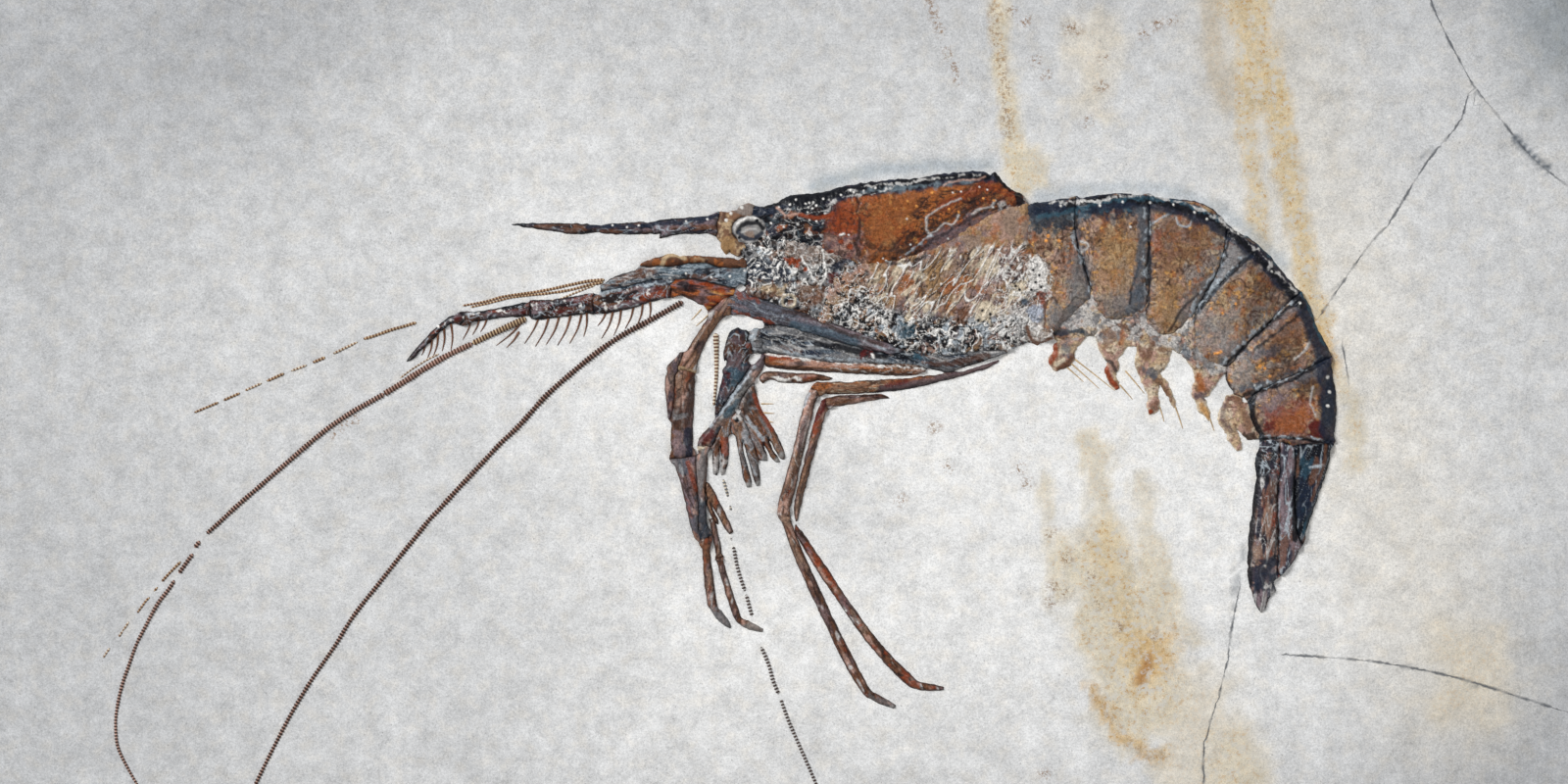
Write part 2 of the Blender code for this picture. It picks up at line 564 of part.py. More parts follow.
def ring(centre, radii, count):
    """Points round an ellipse, in places of the grid."""
    turns = [2 * math.pi * step / count for step in range(count)]
    return [(centre[0] + radii[0] * math.cos(a), centre[1] + radii[1] * math.sin(a)) for a in turns]


def join(base, extras):
    """Unites each extra solid with the base, and removes the extras."""
    for extra in extras:
        modifier = base.modifiers.new("join", "BOOLEAN")
        modifier.operation = "UNION"
        modifier.solver = "EXACT"
        modifier.object = extra
        graph = bpy.context.evaluated_depsgraph_get()
        united = bpy.data.meshes.new_from_object(base.evaluated_get(graph))
        base.modifiers.clear()
        base.data = united
        bpy.data.objects.remove(extra)


def spine(name, root, point, finish, group):
    """A thin cone from the root of a spine to its point, lying level."""
    level = SLAB_THICKNESS + LIFT + SPINE_BASE_RADIUS
    start = place(*root, level)
    end = place(*point, level)
    bm = bmesh.new()
    bmesh.ops.create_cone(
        bm, cap_ends=True, segments=5, radius1=SPINE_BASE_RADIUS, radius2=SPINE_TIP_RADIUS,
        depth=(end - start).length,
    )
    turn = Vector((0, 0, 1)).rotation_difference(end - start).to_matrix()
    bmesh.ops.rotate(bm, cent=(0, 0, 0), matrix=turn, verts=bm.verts)
    bmesh.ops.translate(bm, vec=(start + end) / 2, verts=bm.verts)
    return mesh_object(name, bm, finish, group)


def combed_plate(name, outline, spines, relief, finish, group):
    """A plate with a comb of spines along its lower edge, in one piece."""
    plate = shell_plate(name, outline, relief, finish, group)
    teeth = [spine(f"{name}_spine_{i}", *ends, finish, group) for i, ends in enumerate(spines)]
    join(plate, teeth)
    return plate


def smooth_route(points, step):
    """Evenly spaced points of a Catmull-Rom curve through the given points."""
    ends = [points[0] * 2 - points[1], *points, points[-1] * 2 - points[-2]]
    samples = 12
    fine = []
    for a, b, c, d in zip(ends, ends[1:], ends[2:], ends[3:]):
        for i in range(samples):
            t = i / samples
            fine.append(
                0.5 * (2 * b + (c - a) * t + (2 * a - 5 * b + 4 * c - d) * t**2
                       + (3 * b - a - 3 * c + d) * t**3)
            )
    fine.append(points[-1])
    lengths = [0.0]
    for first, second in zip(fine, fine[1:]):
        lengths.append(lengths[-1] + (second - first).length)
    count = max(2, round(lengths[-1] / step))
    route = []
    index = 0
    for k in range(count + 1):
        target = lengths[-1] * k / count
        while index < len(fine) - 2 and lengths[index + 1] < target:
            index += 1
        span = lengths[index + 1] - lengths[index]
        route.append(fine[index].lerp(fine[index + 1], (target - lengths[index]) / span))
    return route


def feeler(name, route, radii, finish, group):
    """A tapering tube that lies on the stone along a route."""
    points = smooth_route([place(*point) for point in route], FEELER_STEP)
    curve = bpy.data.curves.new(name, "CURVE")
    curve.dimensions = "3D"
    curve.bevel_depth = radii[0]
    curve.bevel_resolution = 2
    curve.use_fill_caps = True
    spline = curve.splines.new("POLY")
    spline.points.add(len(points) - 1)
    for i, point in enumerate(points):
        share = 1 + (radii[1] / radii[0] - 1) * i / (len(points) - 1)
        level = SLAB_THICKNESS + LIFT + radii[0] * share
        spline.points[i].co = (point.x, point.y, level, 1.0)
        spline.points[i].radius = share
    curve.materials.append(material(finish))
    obj = bpy.data.objects.new(name, curve)
    group.objects.link(obj)
    return obj


def as_mesh(obj, group):
    """A closed mesh object in the place of a curve object."""
    graph = bpy.context.evaluated_depsgraph_get()
    mesh = bpy.data.meshes.new_from_object(obj.evaluated_get(graph))
    bm = bmesh.new()
    bm.from_mesh(mesh)
    bmesh.ops.remove_doubles(bm, verts=bm.verts, dist=1e-6)
    bm.to_mesh(mesh)
    bm.free()
    name = obj.name
    made = bpy.data.objects.new(name + "_mesh", mesh)
    made.matrix_world = obj.matrix_world
    group.objects.link(made)
    bpy.data.objects.remove(obj)
    made.name = name
    return made


def forked_feeler(name, strands, radii, finish, group):
    """Feelers that start at one root, in one piece."""
    tubes = [
        as_mesh(feeler(f"{name}_{i}", strand, radii, finish, group), group)
        for i, strand in enumerate(strands)
    ]
    join(tubes[0], tubes[1:])
    tubes[0].name = name
    return tubes[0]


def limestone_slab(group):
    """The plate of stone, with broken upper edges and a flat underside."""
    edge = Relief(SLAB_THICKNESS, SLAB_BROKEN_EDGE)
    points = [Vector((x, y, 0)) for x, y in SLAB_OUTLINE]
    return mesh_object("limestone_slab", raised_outline(points, 0.0, edge), LIMESTONE, group)


def eyestalk(group):
    """The stalk that curls round the eye, with its knob and its two small plates."""
    stalk = shell_plate("eyestalk", EYESTALK_ARC, SMALL, TAN, group)
    knob = ring(EYESTALK_KNOB, (EYESTALK_KNOB_RADIUS, EYESTALK_KNOB_RADIUS), 10)
    extras = [
        shell_plate(f"eyestalk_bit_{i}", outline, LIMB, TAN, group)
        for i, outline in enumerate([*EYESTALK_PLATES, knob])
    ]
    join(stalk, extras)


def head(group):
    """Snout, shields, eye and mouthparts."""
    shell_plate("rostrum", ROSTRUM, SNOUT, SLATE, group)
    shell_plate("carapace", CARAPACE, SHIELD, RUST, group)
    shell_plate("gill_region", GILL_REGION, SOFT, CREAM, group)
    shell_plate("mouthparts", MOUTHPARTS, SOFT, CREAM, group)
    eye_relief = Relief(EYE_HEIGHT, 0.0005)
    shell_plate("eye", ring(EYE_CENTRE, EYE_RADII, EYE_POINTS), eye_relief, SLATE, group)
    eyestalk(group)
    shell_plate("antennal_scale", ANTENNAL_SCALE, LIMB, SLATE, group)
    shell_plate("antenna_peduncle", ANTENNA_PEDUNCLE, THIN, TAN, group)


def mouth_legs(group):
    """The long mouth leg in five joints, four of them with a comb of spines."""
    combed_plate("maxilliped_tip", MAXILLIPED_TIP, TIP_SPINES, SMALL, LEG_BROWN, group)
    combed_plate("maxilliped_hand", MAXILLIPED_HAND, HAND_SPINES, LIMB, LEG_BROWN, group)
    combed_plate("maxilliped_shank", MAXILLIPED_SHANK, SHANK_SPINES, LIMB, LEG_BROWN, group)
    combed_plate("maxilliped_thigh", MAXILLIPED_THIGH, THIGH_SPINES, WIDE_LIMB, LEG_BROWN, group)
    shell_plate("maxilliped_base", MAXILLIPED_BASE, WIDE_LIMB, RUST, group)


def walking_legs(group):
    """The legs, joint by joint, and the claws with their arms."""
    limbs = {
        "leg_1_thigh": (LEG_1_THIGH, WIDE_LIMB), "leg_1_shin": (LEG_1_SHIN, WIDE_LIMB),
        "leg_1_foot": (LEG_1_FOOT, LIMB), "leg_1_spur": (LEG_1_SPUR, THIN),
        "leg_2_thigh": (LEG_2_THIGH, WIDE_LIMB), "leg_2_shin": (LEG_2_SHIN, LIMB),
        "leg_2_foot": (LEG_2_FOOT, SMALL), "leg_3_shin": (LEG_3_SHIN, SMALL),
        "leg_3_foot": (LEG_3_FOOT, SMALL), "leg_3_finger": (LEG_3_FINGER, SMALL),
        "leg_4_thigh": (LEG_4_THIGH, LIMB), "leg_4_shin": (LEG_4_SHIN, LIMB),
        "leg_4_foot": (LEG_4_FOOT, SMALL), "leg_5_thigh": (LEG_5_THIGH, SMALL),
        "leg_5_shin": (LEG_5_SHIN, SMALL), "leg_5_foot": (LEG_5_FOOT, THIN),
        "arm_1": (ARM_1, WIDE_LIMB), "arm_2": (ARM_2, WIDE_LIMB), "arm_3": (ARM_3, LIMB),
        "arm_4": (ARM_4, SMALL), "claw_palm": (CLAW_PALM, WIDE_LIMB),
        "claw_1": (CLAW_1, SMALL), "claw_2": (CLAW_2, SMALL), "claw_3": (CLAW_3, SMALL),
    }
    for name, (outline, relief) in limbs.items():
        shell_plate(name, outline, relief, LEG_BROWN, group)


def tail(group):
    """The six rings of the tail, its fan and its swimming legs."""
    rings = [ABDOMEN_1, ABDOMEN_2, ABDOMEN_3, ABDOMEN_4, ABDOMEN_5, ABDOMEN_6]
    for number, outline in enumerate(rings, start=1):
        shell_plate(f"abdomen_{number}", outline, SEGMENT, TAUPE, group)
    shell_plate("tail_left_fan", TAIL_LEFT_FAN, FAN, RUST, group)
    shell_plate("tail_spike", TAIL_SPIKE, FAN, SLATE, group)
    shell_plate("tail_right_fan", TAIL_RIGHT_FAN, FAN, SLATE, group)
    swimmers = [PLEOPOD_1, PLEOPOD_2, PLEOPOD_3, PLEOPOD_4, PLEOPOD_5]
    for number, outline in enumerate(swimmers, start=1):
        shell_plate(f"pleopod_{number}", outline, SMALL, CREAM, group)


def feelers(group):
    """The long feelers, and the pair of short strands above the mouth leg."""
    tubes = {
        "antenna_thread": (THREAD, (0.00024, 0.00013)),
        "antenna_far": (FAR_FEELER, (0.00036, 0.00015)),
        "antenna_far_branch": (FAR_BRANCH, (0.00018, 0.00013)),
        "antenna_near": (NEAR_FEELER, (0.00036, 0.00018)),
        "antenna_hanging_top": (HANGING_TOP, (0.00028, 0.00015)),
        "antenna_hanging_middle": (HANGING_MIDDLE, (0.00022, 0.00017)),
        "antenna_hanging_end": (HANGING_END, (0.00018, 0.00012)),
    }
    for name, (route, radii) in tubes.items():
        feeler(name, route, radii, FEELER_BROWN, group)
    forked_feeler("antennules", ANTENNULE_STRANDS, ANTENNULE_RADII, FEELER_BROWN, group)


def main():
    """Clears the scene and builds the fossil on its stone."""
    for obj in list(bpy.data.objects):
        bpy.data.objects.remove(obj)
    group = collection("fossil_shrimp")
    limestone_slab(group)
    head(group)
    mouth_legs(group)
    walking_legs(group)
    tail(group)
    feelers(group)


main()
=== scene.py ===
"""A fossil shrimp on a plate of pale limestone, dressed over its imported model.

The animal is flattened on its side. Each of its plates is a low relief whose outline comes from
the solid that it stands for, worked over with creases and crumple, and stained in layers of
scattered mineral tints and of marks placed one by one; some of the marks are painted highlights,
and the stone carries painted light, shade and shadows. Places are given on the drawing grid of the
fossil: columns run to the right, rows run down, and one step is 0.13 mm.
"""

import logging
import math
import zlib
from dataclasses import dataclass, field, replace
from enum import Enum
from typing import Iterable, Optional, Sequence

import bpy
import numpy as np
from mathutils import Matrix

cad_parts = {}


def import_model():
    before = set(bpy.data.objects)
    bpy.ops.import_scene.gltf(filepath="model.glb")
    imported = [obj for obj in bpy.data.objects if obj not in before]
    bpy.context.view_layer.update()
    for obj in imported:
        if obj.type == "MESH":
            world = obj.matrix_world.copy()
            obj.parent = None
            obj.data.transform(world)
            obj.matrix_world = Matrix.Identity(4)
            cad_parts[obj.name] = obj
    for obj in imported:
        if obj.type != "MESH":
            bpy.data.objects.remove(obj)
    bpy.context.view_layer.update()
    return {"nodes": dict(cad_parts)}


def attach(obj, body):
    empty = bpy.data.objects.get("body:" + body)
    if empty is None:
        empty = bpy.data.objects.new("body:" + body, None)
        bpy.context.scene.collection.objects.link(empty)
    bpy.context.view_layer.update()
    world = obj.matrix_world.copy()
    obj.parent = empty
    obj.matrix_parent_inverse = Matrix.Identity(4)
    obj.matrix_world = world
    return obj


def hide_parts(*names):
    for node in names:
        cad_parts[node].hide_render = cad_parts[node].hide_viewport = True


LOG = logging.getLogger("fossil")

GRID_STEP = 0.00013
MIDDLE_COLUMN = 800.0
MIDDLE_ROW = 400.0
MILLIMETRE = 0.001
STEPS_PER_MM = MILLIMETRE / GRID_STEP
STONE_TOP = 0.012
SUNK = 0.00035  # how far a piece of the fossil goes down into the stone
PLATE_PITCH = 0.8  # grid steps between two points of a plate's surface
SEAM_OVERLAP = 0.7  # grid steps that two plates run past the middle of a seam
EDGE_DROP = 0.28  # millimetres outside its edge to which a plate is still meshed
GRID_MARGIN = 9.0  # grid steps that a plate's grid runs past its outline
RING_MARGIN = 12.0  # grid steps round an outline within which the distance to it is measured
SEAM_MARGIN = 40.0  # the same, for the outline of a neighbour across a seam
FAR = 1000.0  # grid steps, more than any distance on the fossil
BLOCK = 4096  # places that are measured at a time
TABLE = 128  # values along each side of a noise table, a power of two
LATTICE_START = 37.3  # where noise starts on its table

Spot = tuple[float, float]
Route = Sequence[Spot]


class Tint(Enum):
    """Colours of the minerals and of painted highlights, as red, green and blue of a screen."""

    INK = (13, 15, 22)
    NAVY = (26, 36, 54)
    MIDNIGHT = (34, 50, 64)
    TEAL = (50, 82, 98)
    SLATE = (82, 93, 105)
    STEEL = (108, 124, 134)
    HAZE = (172, 182, 190)
    PALE_BLUE = (176, 186, 205)
    LEAD = (118, 118, 120)
    GREY = (146, 144, 142)
    PEARL = (198, 196, 194)
    WHITE = (236, 234, 230)
    CREAM = (214, 200, 176)
    SAND = (198, 172, 136)
    OCHRE = (158, 124, 84)
    # painted highlight colour of the orange glints
    GOLD = (200, 148, 84)
    AMBER_GLINT = (232, 158, 84)
    ORANGE = (158, 92, 46)
    RUST = (140, 62, 32)
    BURGUNDY = (88, 26, 26)
    UMBER = (78, 50, 38)
    BARK = (58, 40, 34)
    BROWN = (108, 72, 52)
    CLAY = (132, 98, 76)
    TAUPE = (150, 126, 110)
    ROSE = (182, 146, 132)
    MAUVE = (122, 106, 112)
    PLUM = (92, 78, 84)
    STONE = (213, 214, 215)
    ASH = (172, 174, 177)
    CHALK = (246, 246, 245)
    WHEAT = (224, 214, 194)
    BUTTER = (220, 209, 184)
    DUN = (192, 176, 148)
    HONEY = (216, 197, 160)
    BRONZE = (168, 116, 62)
    AMBERINE = (216, 184, 132)

    @property
    def linear(self) -> np.ndarray:
        """The colour as linear light."""
        return screen_to_linear(np.array(self.value, float) / 255.0)


class Pattern(Enum):
    """How a tint is scattered over a plate."""

    CLOUD = "cloud"
    THREAD = "thread"
    PEBBLE = "pebble"


def screen_to_linear(colour: np.ndarray) -> np.ndarray:
    """Linear light from screen values between 0 and 1."""
    return np.where(colour <= 0.04045, colour / 12.92, ((colour + 0.055) / 1.055) ** 2.4)


def ramp(low: float, high: float, value: np.ndarray) -> np.ndarray:
    """A smooth step from 0 at low to 1 at high.

    Args:
        low: Where the step starts.
        high: Where the step ends; it may lie below low.
        value: The values to place on the step.

    Returns:
        The height of the step for each value.
    """
    part = np.clip((value - low) / (high - low), 0.0, 1.0)
    return part * part * (3.0 - 2.0 * part)


def world(spots: np.ndarray, height: np.ndarray | float) -> np.ndarray:
    """Points of the model over places of the drawing grid.

    Args:
        spots: Places on the drawing grid.
        height: Height of each place in metres.

    Returns:
        The points in metres.
    """
    out = np.empty((len(spots), 3))
    out[:, 0] = (spots[:, 0] - MIDDLE_COLUMN) * GRID_STEP
    out[:, 1] = (MIDDLE_ROW - spots[:, 1]) * GRID_STEP
    out[:, 2] = height
    return out


@dataclass(frozen=True)
class Noise:
    """Repeatable smooth noise over the drawing grid."""

    seed: int

    @staticmethod
    def named(name: str) -> "Noise":
        """The noise that belongs to a name."""
        return Noise(zlib.crc32(name.encode()) & 0xFFFF)

    def lattice(self, salt: int) -> np.ndarray:
        """A table of even random values."""
        return np.random.default_rng(self.seed * 131 + salt).random((TABLE, TABLE))

    def smooth(self, spots: np.ndarray, size: float, salt: int = 0) -> np.ndarray:
        """Value noise between 0 and 1.

        Args:
            spots: The places, one a row.
            size: The size of its blobs in grid steps.
            salt: Picks another field of the same noise.

        Returns:
            The noise at each place.
        """
        table = self.lattice(salt)
        place = spots / size + LATTICE_START
        cell = np.floor(place).astype(int)
        part = place - cell
        part = part * part * (3.0 - 2.0 * part)
        across, down = (cell % TABLE).T
        after, below = (across + 1) % TABLE, (down + 1) % TABLE
        top = table[across, down] * (1 - part[:, 0]) + table[after, down] * part[:, 0]
        bottom = table[across, below] * (1 - part[:, 0]) + table[after, below] * part[:, 0]
        return top * (1 - part[:, 1]) + bottom * part[:, 1]

    def fractal(self, spots: np.ndarray, size: float, salt: int = 0, octaves: int = 3) -> np.ndarray:
        """Noise of several sizes added up, between 0 and 1.

        Args:
            spots: Places on the drawing grid.
            size: Width of the largest blobs in grid steps.
            salt: Picks one of many such fields.
            octaves: How many sizes are added up.

        Returns:
            The noise at each place.
        """
        total = np.zeros(len(spots))
        weight = 0.0
        for octave in range(octaves):
            share = 0.55**octave
            total += share * self.smooth(spots, size / 2.1**octave, salt * 17 + octave)
            weight += share
        return total / weight

    def warp(self, spots: np.ndarray, size: float, reach: float, salt: int = 0) -> np.ndarray:
        """The places, pushed about by noise.

        Args:
            spots: Places on the drawing grid.
            size: Width of the pushes in grid steps.
            reach: How far places move, in grid steps.
            salt: Picks one of many such fields.

        Returns:
            The moved places.
        """
        push = np.stack(
            [self.fractal(spots, size, salt + 51, 2), self.fractal(spots, size, salt + 52, 2)], axis=1
        )
        return spots + (push - 0.5) * 2.0 * reach

    def pattern(self, spots: np.ndarray, pattern: Pattern, size: float, salt: int) -> np.ndarray:
        """The field that a scattered tint follows, highest where the tint is strongest.

        Args:
            spots: Places on the drawing grid.
            pattern: The kind of field.
            size: Width of its flecks in grid steps.
            salt: Picks one of many such fields.

        Returns:
            The field at each place.
        """
        if pattern is Pattern.CLOUD:
            return self.fractal(spots, size, salt, 3)
        curled = self.warp(spots, size * 1.3, size * 0.7, salt)
        if pattern is Pattern.THREAD:
            first = 1.0 - np.abs(self.fractal(curled, size, salt, 2) * 2.0 - 1.0)
            second = 1.0 - np.abs(self.fractal(curled, size * 0.6, salt + 5, 2) * 2.0 - 1.0)
            return np.maximum(first, second * 0.97)
        return self.fractal(curled, size * 0.6, salt, 2) + 0.35 * self.smooth(spots, size * 0.3, salt)


def leaning(spots: np.ndarray, lean: float, stretch: float) -> np.ndarray:
    """Places turned so that noise over them runs in streaks along a lean in degrees.

    Args:
        spots: Places on the drawing grid.
        lean: Direction of the streaks in degrees.
        stretch: How many times longer than wide they are.

    Returns:
        The turned places.
    """
    angle = math.radians(lean)
    run = spots[:, 0] * math.cos(angle) - spots[:, 1] * math.sin(angle)
    across = spots[:, 0] * math.sin(angle) + spots[:, 1] * math.cos(angle)
    return np.stack([run / stretch, across], axis=1)


def route_distance(spots: np.ndarray, route: np.ndarray, closed: bool = False) -> np.ndarray:
    """Distance from each place to the nearest point of a route.

    Args:
        spots: The places, one a row.
        route: The corners of the route, one a row.
        closed: Whether the last corner joins the first.

    Returns:
        The distances in grid steps.
    """
    if len(route) == 1:
        return np.hypot(*(spots - route[0]).T)
    start = route if closed else route[:-1]
    end = np.roll(route, -1, axis=0) if closed else route[1:]
    span = end - start
    square = np.maximum((span**2).sum(axis=1), 1e-9)
    best = np.empty(len(spots))
    for at in range(0, len(spots), BLOCK):
        block = spots[at : at + BLOCK]
        away_x = block[:, :1] - start[:, 0]
        away_y = block[:, 1:] - start[:, 1]
        part = np.clip((away_x * span[:, 0] + away_y * span[:, 1]) / square, 0.0, 1.0)
        near = (away_x - part * span[:, 0]) ** 2 + (away_y - part * span[:, 1]) ** 2
        best[at : at + BLOCK] = near.min(axis=1)
    return np.sqrt(best)


def within(spots: np.ndarray, ring: np.ndarray) -> np.ndarray:
    """Whether each place lies inside a closed ring.

    Args:
        spots: Places on the drawing grid.
        ring: Corners of the ring.

    Returns:
        One truth value for each place.
    """
    inside = np.zeros(len(spots), bool)
    last = np.roll(ring, -1, axis=0)
    for (x1, y1), (x2, y2) in zip(ring, last):
        if y1 != y2:
            spans = (spots[:, 1] > y1) != (spots[:, 1] > y2)
            inside ^= spans & (spots[:, 0] < x1 + (spots[:, 1] - y1) * (x2 - x1) / (y2 - y1))
    return inside


def signed_distance(spots: np.ndarray, ring: np.ndarray) -> np.ndarray:
    """Distance to a closed ring in grid steps, positive inside it."""
    return route_distance(spots, ring, closed=True) * np.where(within(spots, ring), 1.0, -1.0)


def close_to(spots: np.ndarray, ring: np.ndarray, reach: float) -> np.ndarray:
    """Whether each place lies in the box round a ring, widened by a reach.

    Args:
        spots: Places on the drawing grid.
        ring: Corners of the ring.
        reach: Width of the strip round it in grid steps.

    Returns:
        One truth value for each place.
    """
    return ((spots > ring.min(axis=0) - reach) & (spots < ring.max(axis=0) + reach)).all(axis=1)


def travelled(route: np.ndarray) -> np.ndarray:
    """The way along a route up to each of its points."""
    return np.concatenate([[0.0], np.cumsum(np.hypot(*np.diff(route, axis=0).T))])


def evenly(route: np.ndarray, count: int) -> np.ndarray:
    """So many evenly spaced places along a route.

    Args:
        route: Points along the route.
        count: Number of places.

    Returns:
        The places, with both ends of the route.
    """
    length = travelled(route)
    even = np.linspace(0.0, length[-1], count)
    return np.stack([np.interp(even, length, route[:, axis]) for axis in range(2)], axis=1)


def loops_through(follow: dict[int, int]) -> list[list[int]]:
    """Closed loops of points, from the point that follows each; empties the table.

    Args:
        follow: The point that comes after each point.

    Returns:
        The points of each loop, in order.
    """
    loops = []
    while follow:
        first, at = follow.popitem()
        loop = [first]
        while at != first and at in follow:
            loop.append(at)
            at = follow.pop(at)
        loops.append(loop)
    return loops


def flowing(route: Route, step: float) -> np.ndarray:
    """Evenly spaced places on a smooth curve through a route.

    Args:
        route: The places that the curve passes.
        step: The spacing wanted, in grid steps.

    Returns:
        The places, one a row.
    """
    knots = np.array(route, float)
    if len(knots) < 2:
        return knots
    ends = np.vstack([knots[0] * 2 - knots[1], knots, knots[-1] * 2 - knots[-2]])
    share = np.linspace(0, 1, 16, endpoint=False)[:, None]
    fine = []
    for a, b, c, d in zip(ends, ends[1:], ends[2:], ends[3:]):
        fine.append(
            0.5 * (2 * b + (c - a) * share + (2 * a - 5 * b + 4 * c - d) * share**2
                   + (3 * b - a - 3 * c + d) * share**3)
        )
    curve = np.vstack([*fine, knots[-1:]])
    return evenly(curve, max(2, int(round(travelled(curve)[-1] / step)) + 1))


@dataclass(frozen=True)
class Mark:
    """A stain, a crease, a painted highlight or a painted shadow at its own place on the fossil or the stone.
    """

    tint: Optional[Tint]
    route: tuple[Spot, ...]
    width: float = 1.5
    soft: float = 1.5
    strength: float = 1.0
    ragged: float = 1.0
    lift: float = 0.0  # millimetres
    filled: bool = False
    shine: float = 0.0
    broken: float = 0.0
    grit: float = 4.5  # size of the gaps in a broken mark
    lean: float = 0.0
    stretch: float = 1.0

    def cover(self, spots: np.ndarray, noise: Noise) -> np.ndarray:
        """How much of the mark shows at each place, from 0 to 1.

        Args:
            spots: Places on the drawing grid.
            noise: Makes the edges uneven.

        Returns:
            The share at each place.
        """
        cover = np.zeros(len(spots))
        corners = np.array(self.route, float)
        reach = self.width + self.soft + self.ragged * 2.0 + 1.0
        near = close_to(spots, corners, reach)
        if not near.any():
            return cover
        pushed = noise.warp(spots[near], 3.0 + self.ragged * 2.0, self.ragged, len(self.route))
        if self.filled:
            distance = -signed_distance(pushed, corners)
        else:
            route = flowing(self.route, 2.0) if len(corners) > 2 else corners
            distance = route_distance(pushed, route) - self.width
        if self.broken:
            gaps = noise.fractal(leaning(pushed, self.lean, self.stretch), self.grit, 60, 3)
            distance = distance + (self.soft + 2.0) * self.broken * 4.0 * (gaps - 0.45)
        cover[near] = ramp(self.soft, -self.soft * 0.4, distance) * self.strength
        return cover


PATCH_LOOKS = {"soft": 3.0, "ragged": 3.5, "broken": 0.6}
DOT_LOOKS = {"soft": 0.8, "ragged": 0.5}


def line(tint: Optional[Tint], width: float, *route: Spot, **looks: float) -> Mark:
    """A mark along a route; width is half of its breadth."""
    return Mark(tint, route, width, **looks)


def patch(tint: Optional[Tint], *corners: Spot, **looks: float) -> Mark:
    """A mark that fills the room between its corners."""
    return Mark(tint, corners, 0.0, filled=True, **{**PATCH_LOOKS, **looks})


def lines(tint: Optional[Tint], width: float, *routes: tuple[Spot, ...], **looks: float) -> list[Mark]:
    """Marks of one kind along several routes."""
    return [line(tint, width, *route, **looks) for route in routes]


def patches(tint: Tint, *rings: tuple[Spot, ...], **looks: float) -> list[Mark]:
    """Filled marks of one kind in several rings of corners."""
    return [patch(tint, *ring, **looks) for ring in rings]


def dots(tint: Optional[Tint], radius: float, *centres: Spot, **looks: float) -> list[Mark]:
    """Small round marks."""
    return [Mark(tint, (centre,), radius, **{**DOT_LOOKS, **looks}) for centre in centres]


def glints(*centres: Spot, tint: Tint = Tint.WHITE, radius: float = 1.0) -> list[Mark]:
    """Small raised, polished marks whose white or amber tint is a painted highlight."""
    return dots(tint, radius, *centres, lift=0.05, shine=1.0, soft=1.0)


@dataclass(frozen=True)
class Scatter:
    """A tint spread over a plate by noise."""

    tint: Tint
    share: float
    size: float
    strength: float = 1.0
    pattern: Pattern = Pattern.CLOUD
    lean: float = 0.0
    stretch: float = 1.0
    crisp: float = 0.06
    lift: float = 0.0
    area: tuple[Spot, ...] = ()
    fade: float = 8.0

    def cover(self, spots: np.ndarray, noise: Noise, salt: int) -> np.ndarray:
        """How much of the tint shows at each place, from 0 to 1.

        Args:
            spots: Places on the drawing grid.
            noise: Scatters the flecks.
            salt: Picks one of many such fields.

        Returns:
            The share at each place.
        """
        leaned = leaning(spots, self.lean, self.stretch)
        value = noise.pattern(leaned, self.pattern, self.size, salt)
        middle = np.quantile(value, 1.0 - self.share)
        cover = ramp(middle - self.crisp, middle + self.crisp, value) * self.strength
        if self.area:
            pushed = noise.warp(spots, 9.0, 3.0, salt)
            cover *= ramp(-self.fade, self.fade * 0.3, signed_distance(pushed, np.array(self.area)))
        return cover


Layer = Mark | Scatter


def along(lean: float, *layers: Scatter) -> list[Scatter]:
    """Scattered tints that all run along one lean in degrees."""
    return [replace(layer, lean=lean) for layer in layers]


def inside(area: tuple[Spot, ...], fade: float, *layers: Scatter) -> list[Scatter]:
    """Scattered tints kept to one area, fading out at its edge."""
    return [replace(layer, area=area, fade=fade) for layer in layers]


LEVEL_SLACK = 3e-6  # metres that a level face may be out
WELD_DIGITS = 7  # decimals of a metre to which points count as the same


def flat_rings(solid: bpy.types.Object) -> list[np.ndarray]:
    """The outlines of a solid's level underside, on the drawing grid.

    Args:
        solid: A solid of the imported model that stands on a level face.

    Returns:
        One closed ring of places for each separate outline, the largest first.
    """
    mesh = solid.data
    mesh.calc_loop_triangles()
    points = np.empty(len(mesh.vertices) * 3)
    mesh.vertices.foreach_get("co", points)
    points = np.round(points.reshape(-1, 3), WELD_DIGITS)
    faces = np.empty(len(mesh.loop_triangles) * 3, int)
    mesh.loop_triangles.foreach_get("vertices", faces)
    points, joined = np.unique(points, axis=0, return_inverse=True)
    faces = joined.reshape(-1)[faces].reshape(-1, 3)
    low = points[:, 2].min() + LEVEL_SLACK
    level = faces[(points[faces][:, :, 2] < low).all(axis=1)]
    steps = {(a, b) for face in level for a, b in zip(face, np.roll(face, -1))}
    follow = {a: b for a, b in steps if (b, a) not in steps}
    rings = []
    for loop in loops_through(follow):
        if len(loop) > 3:
            rings.append(points[loop][:, :2] / GRID_STEP * (1, -1) + (MIDDLE_COLUMN, MIDDLE_ROW))
    rings.sort(key=lambda ring: -np.ptp(ring, axis=0).sum())
    return rings


def softened(ring: np.ndarray, corner: float = 62.0, rounds: int = 3) -> np.ndarray:
    """A ring with its gentle corners rounded and its sharp ones kept.

    Args:
        ring: The corners of the ring.
        corner: Turns above this many degrees stay sharp.
        rounds: How often each gentle corner is cut.

    Returns:
        The finer ring.
    """
    sharp = None
    for _ in range(rounds):
        before = ring - np.roll(ring, 1, axis=0)
        after = np.roll(ring, -1, axis=0) - ring
        if sharp is None:
            lengths = np.hypot(*before.T) * np.hypot(*after.T) + 1e-9
            turn = np.degrees(np.arccos(np.clip((before * after).sum(axis=1) / lengths, -1, 1)))
            sharp = turn > corner
        made, kept = [], []
        for at, back, ahead, fixed in zip(ring, before, after, sharp):
            if fixed:
                made.append(at)
                kept.append(True)
            else:
                made.extend((at - back * 0.25, at + ahead * 0.25))
                kept.extend((False, False))
        ring, sharp = np.array(made), np.array(kept)
    return ring


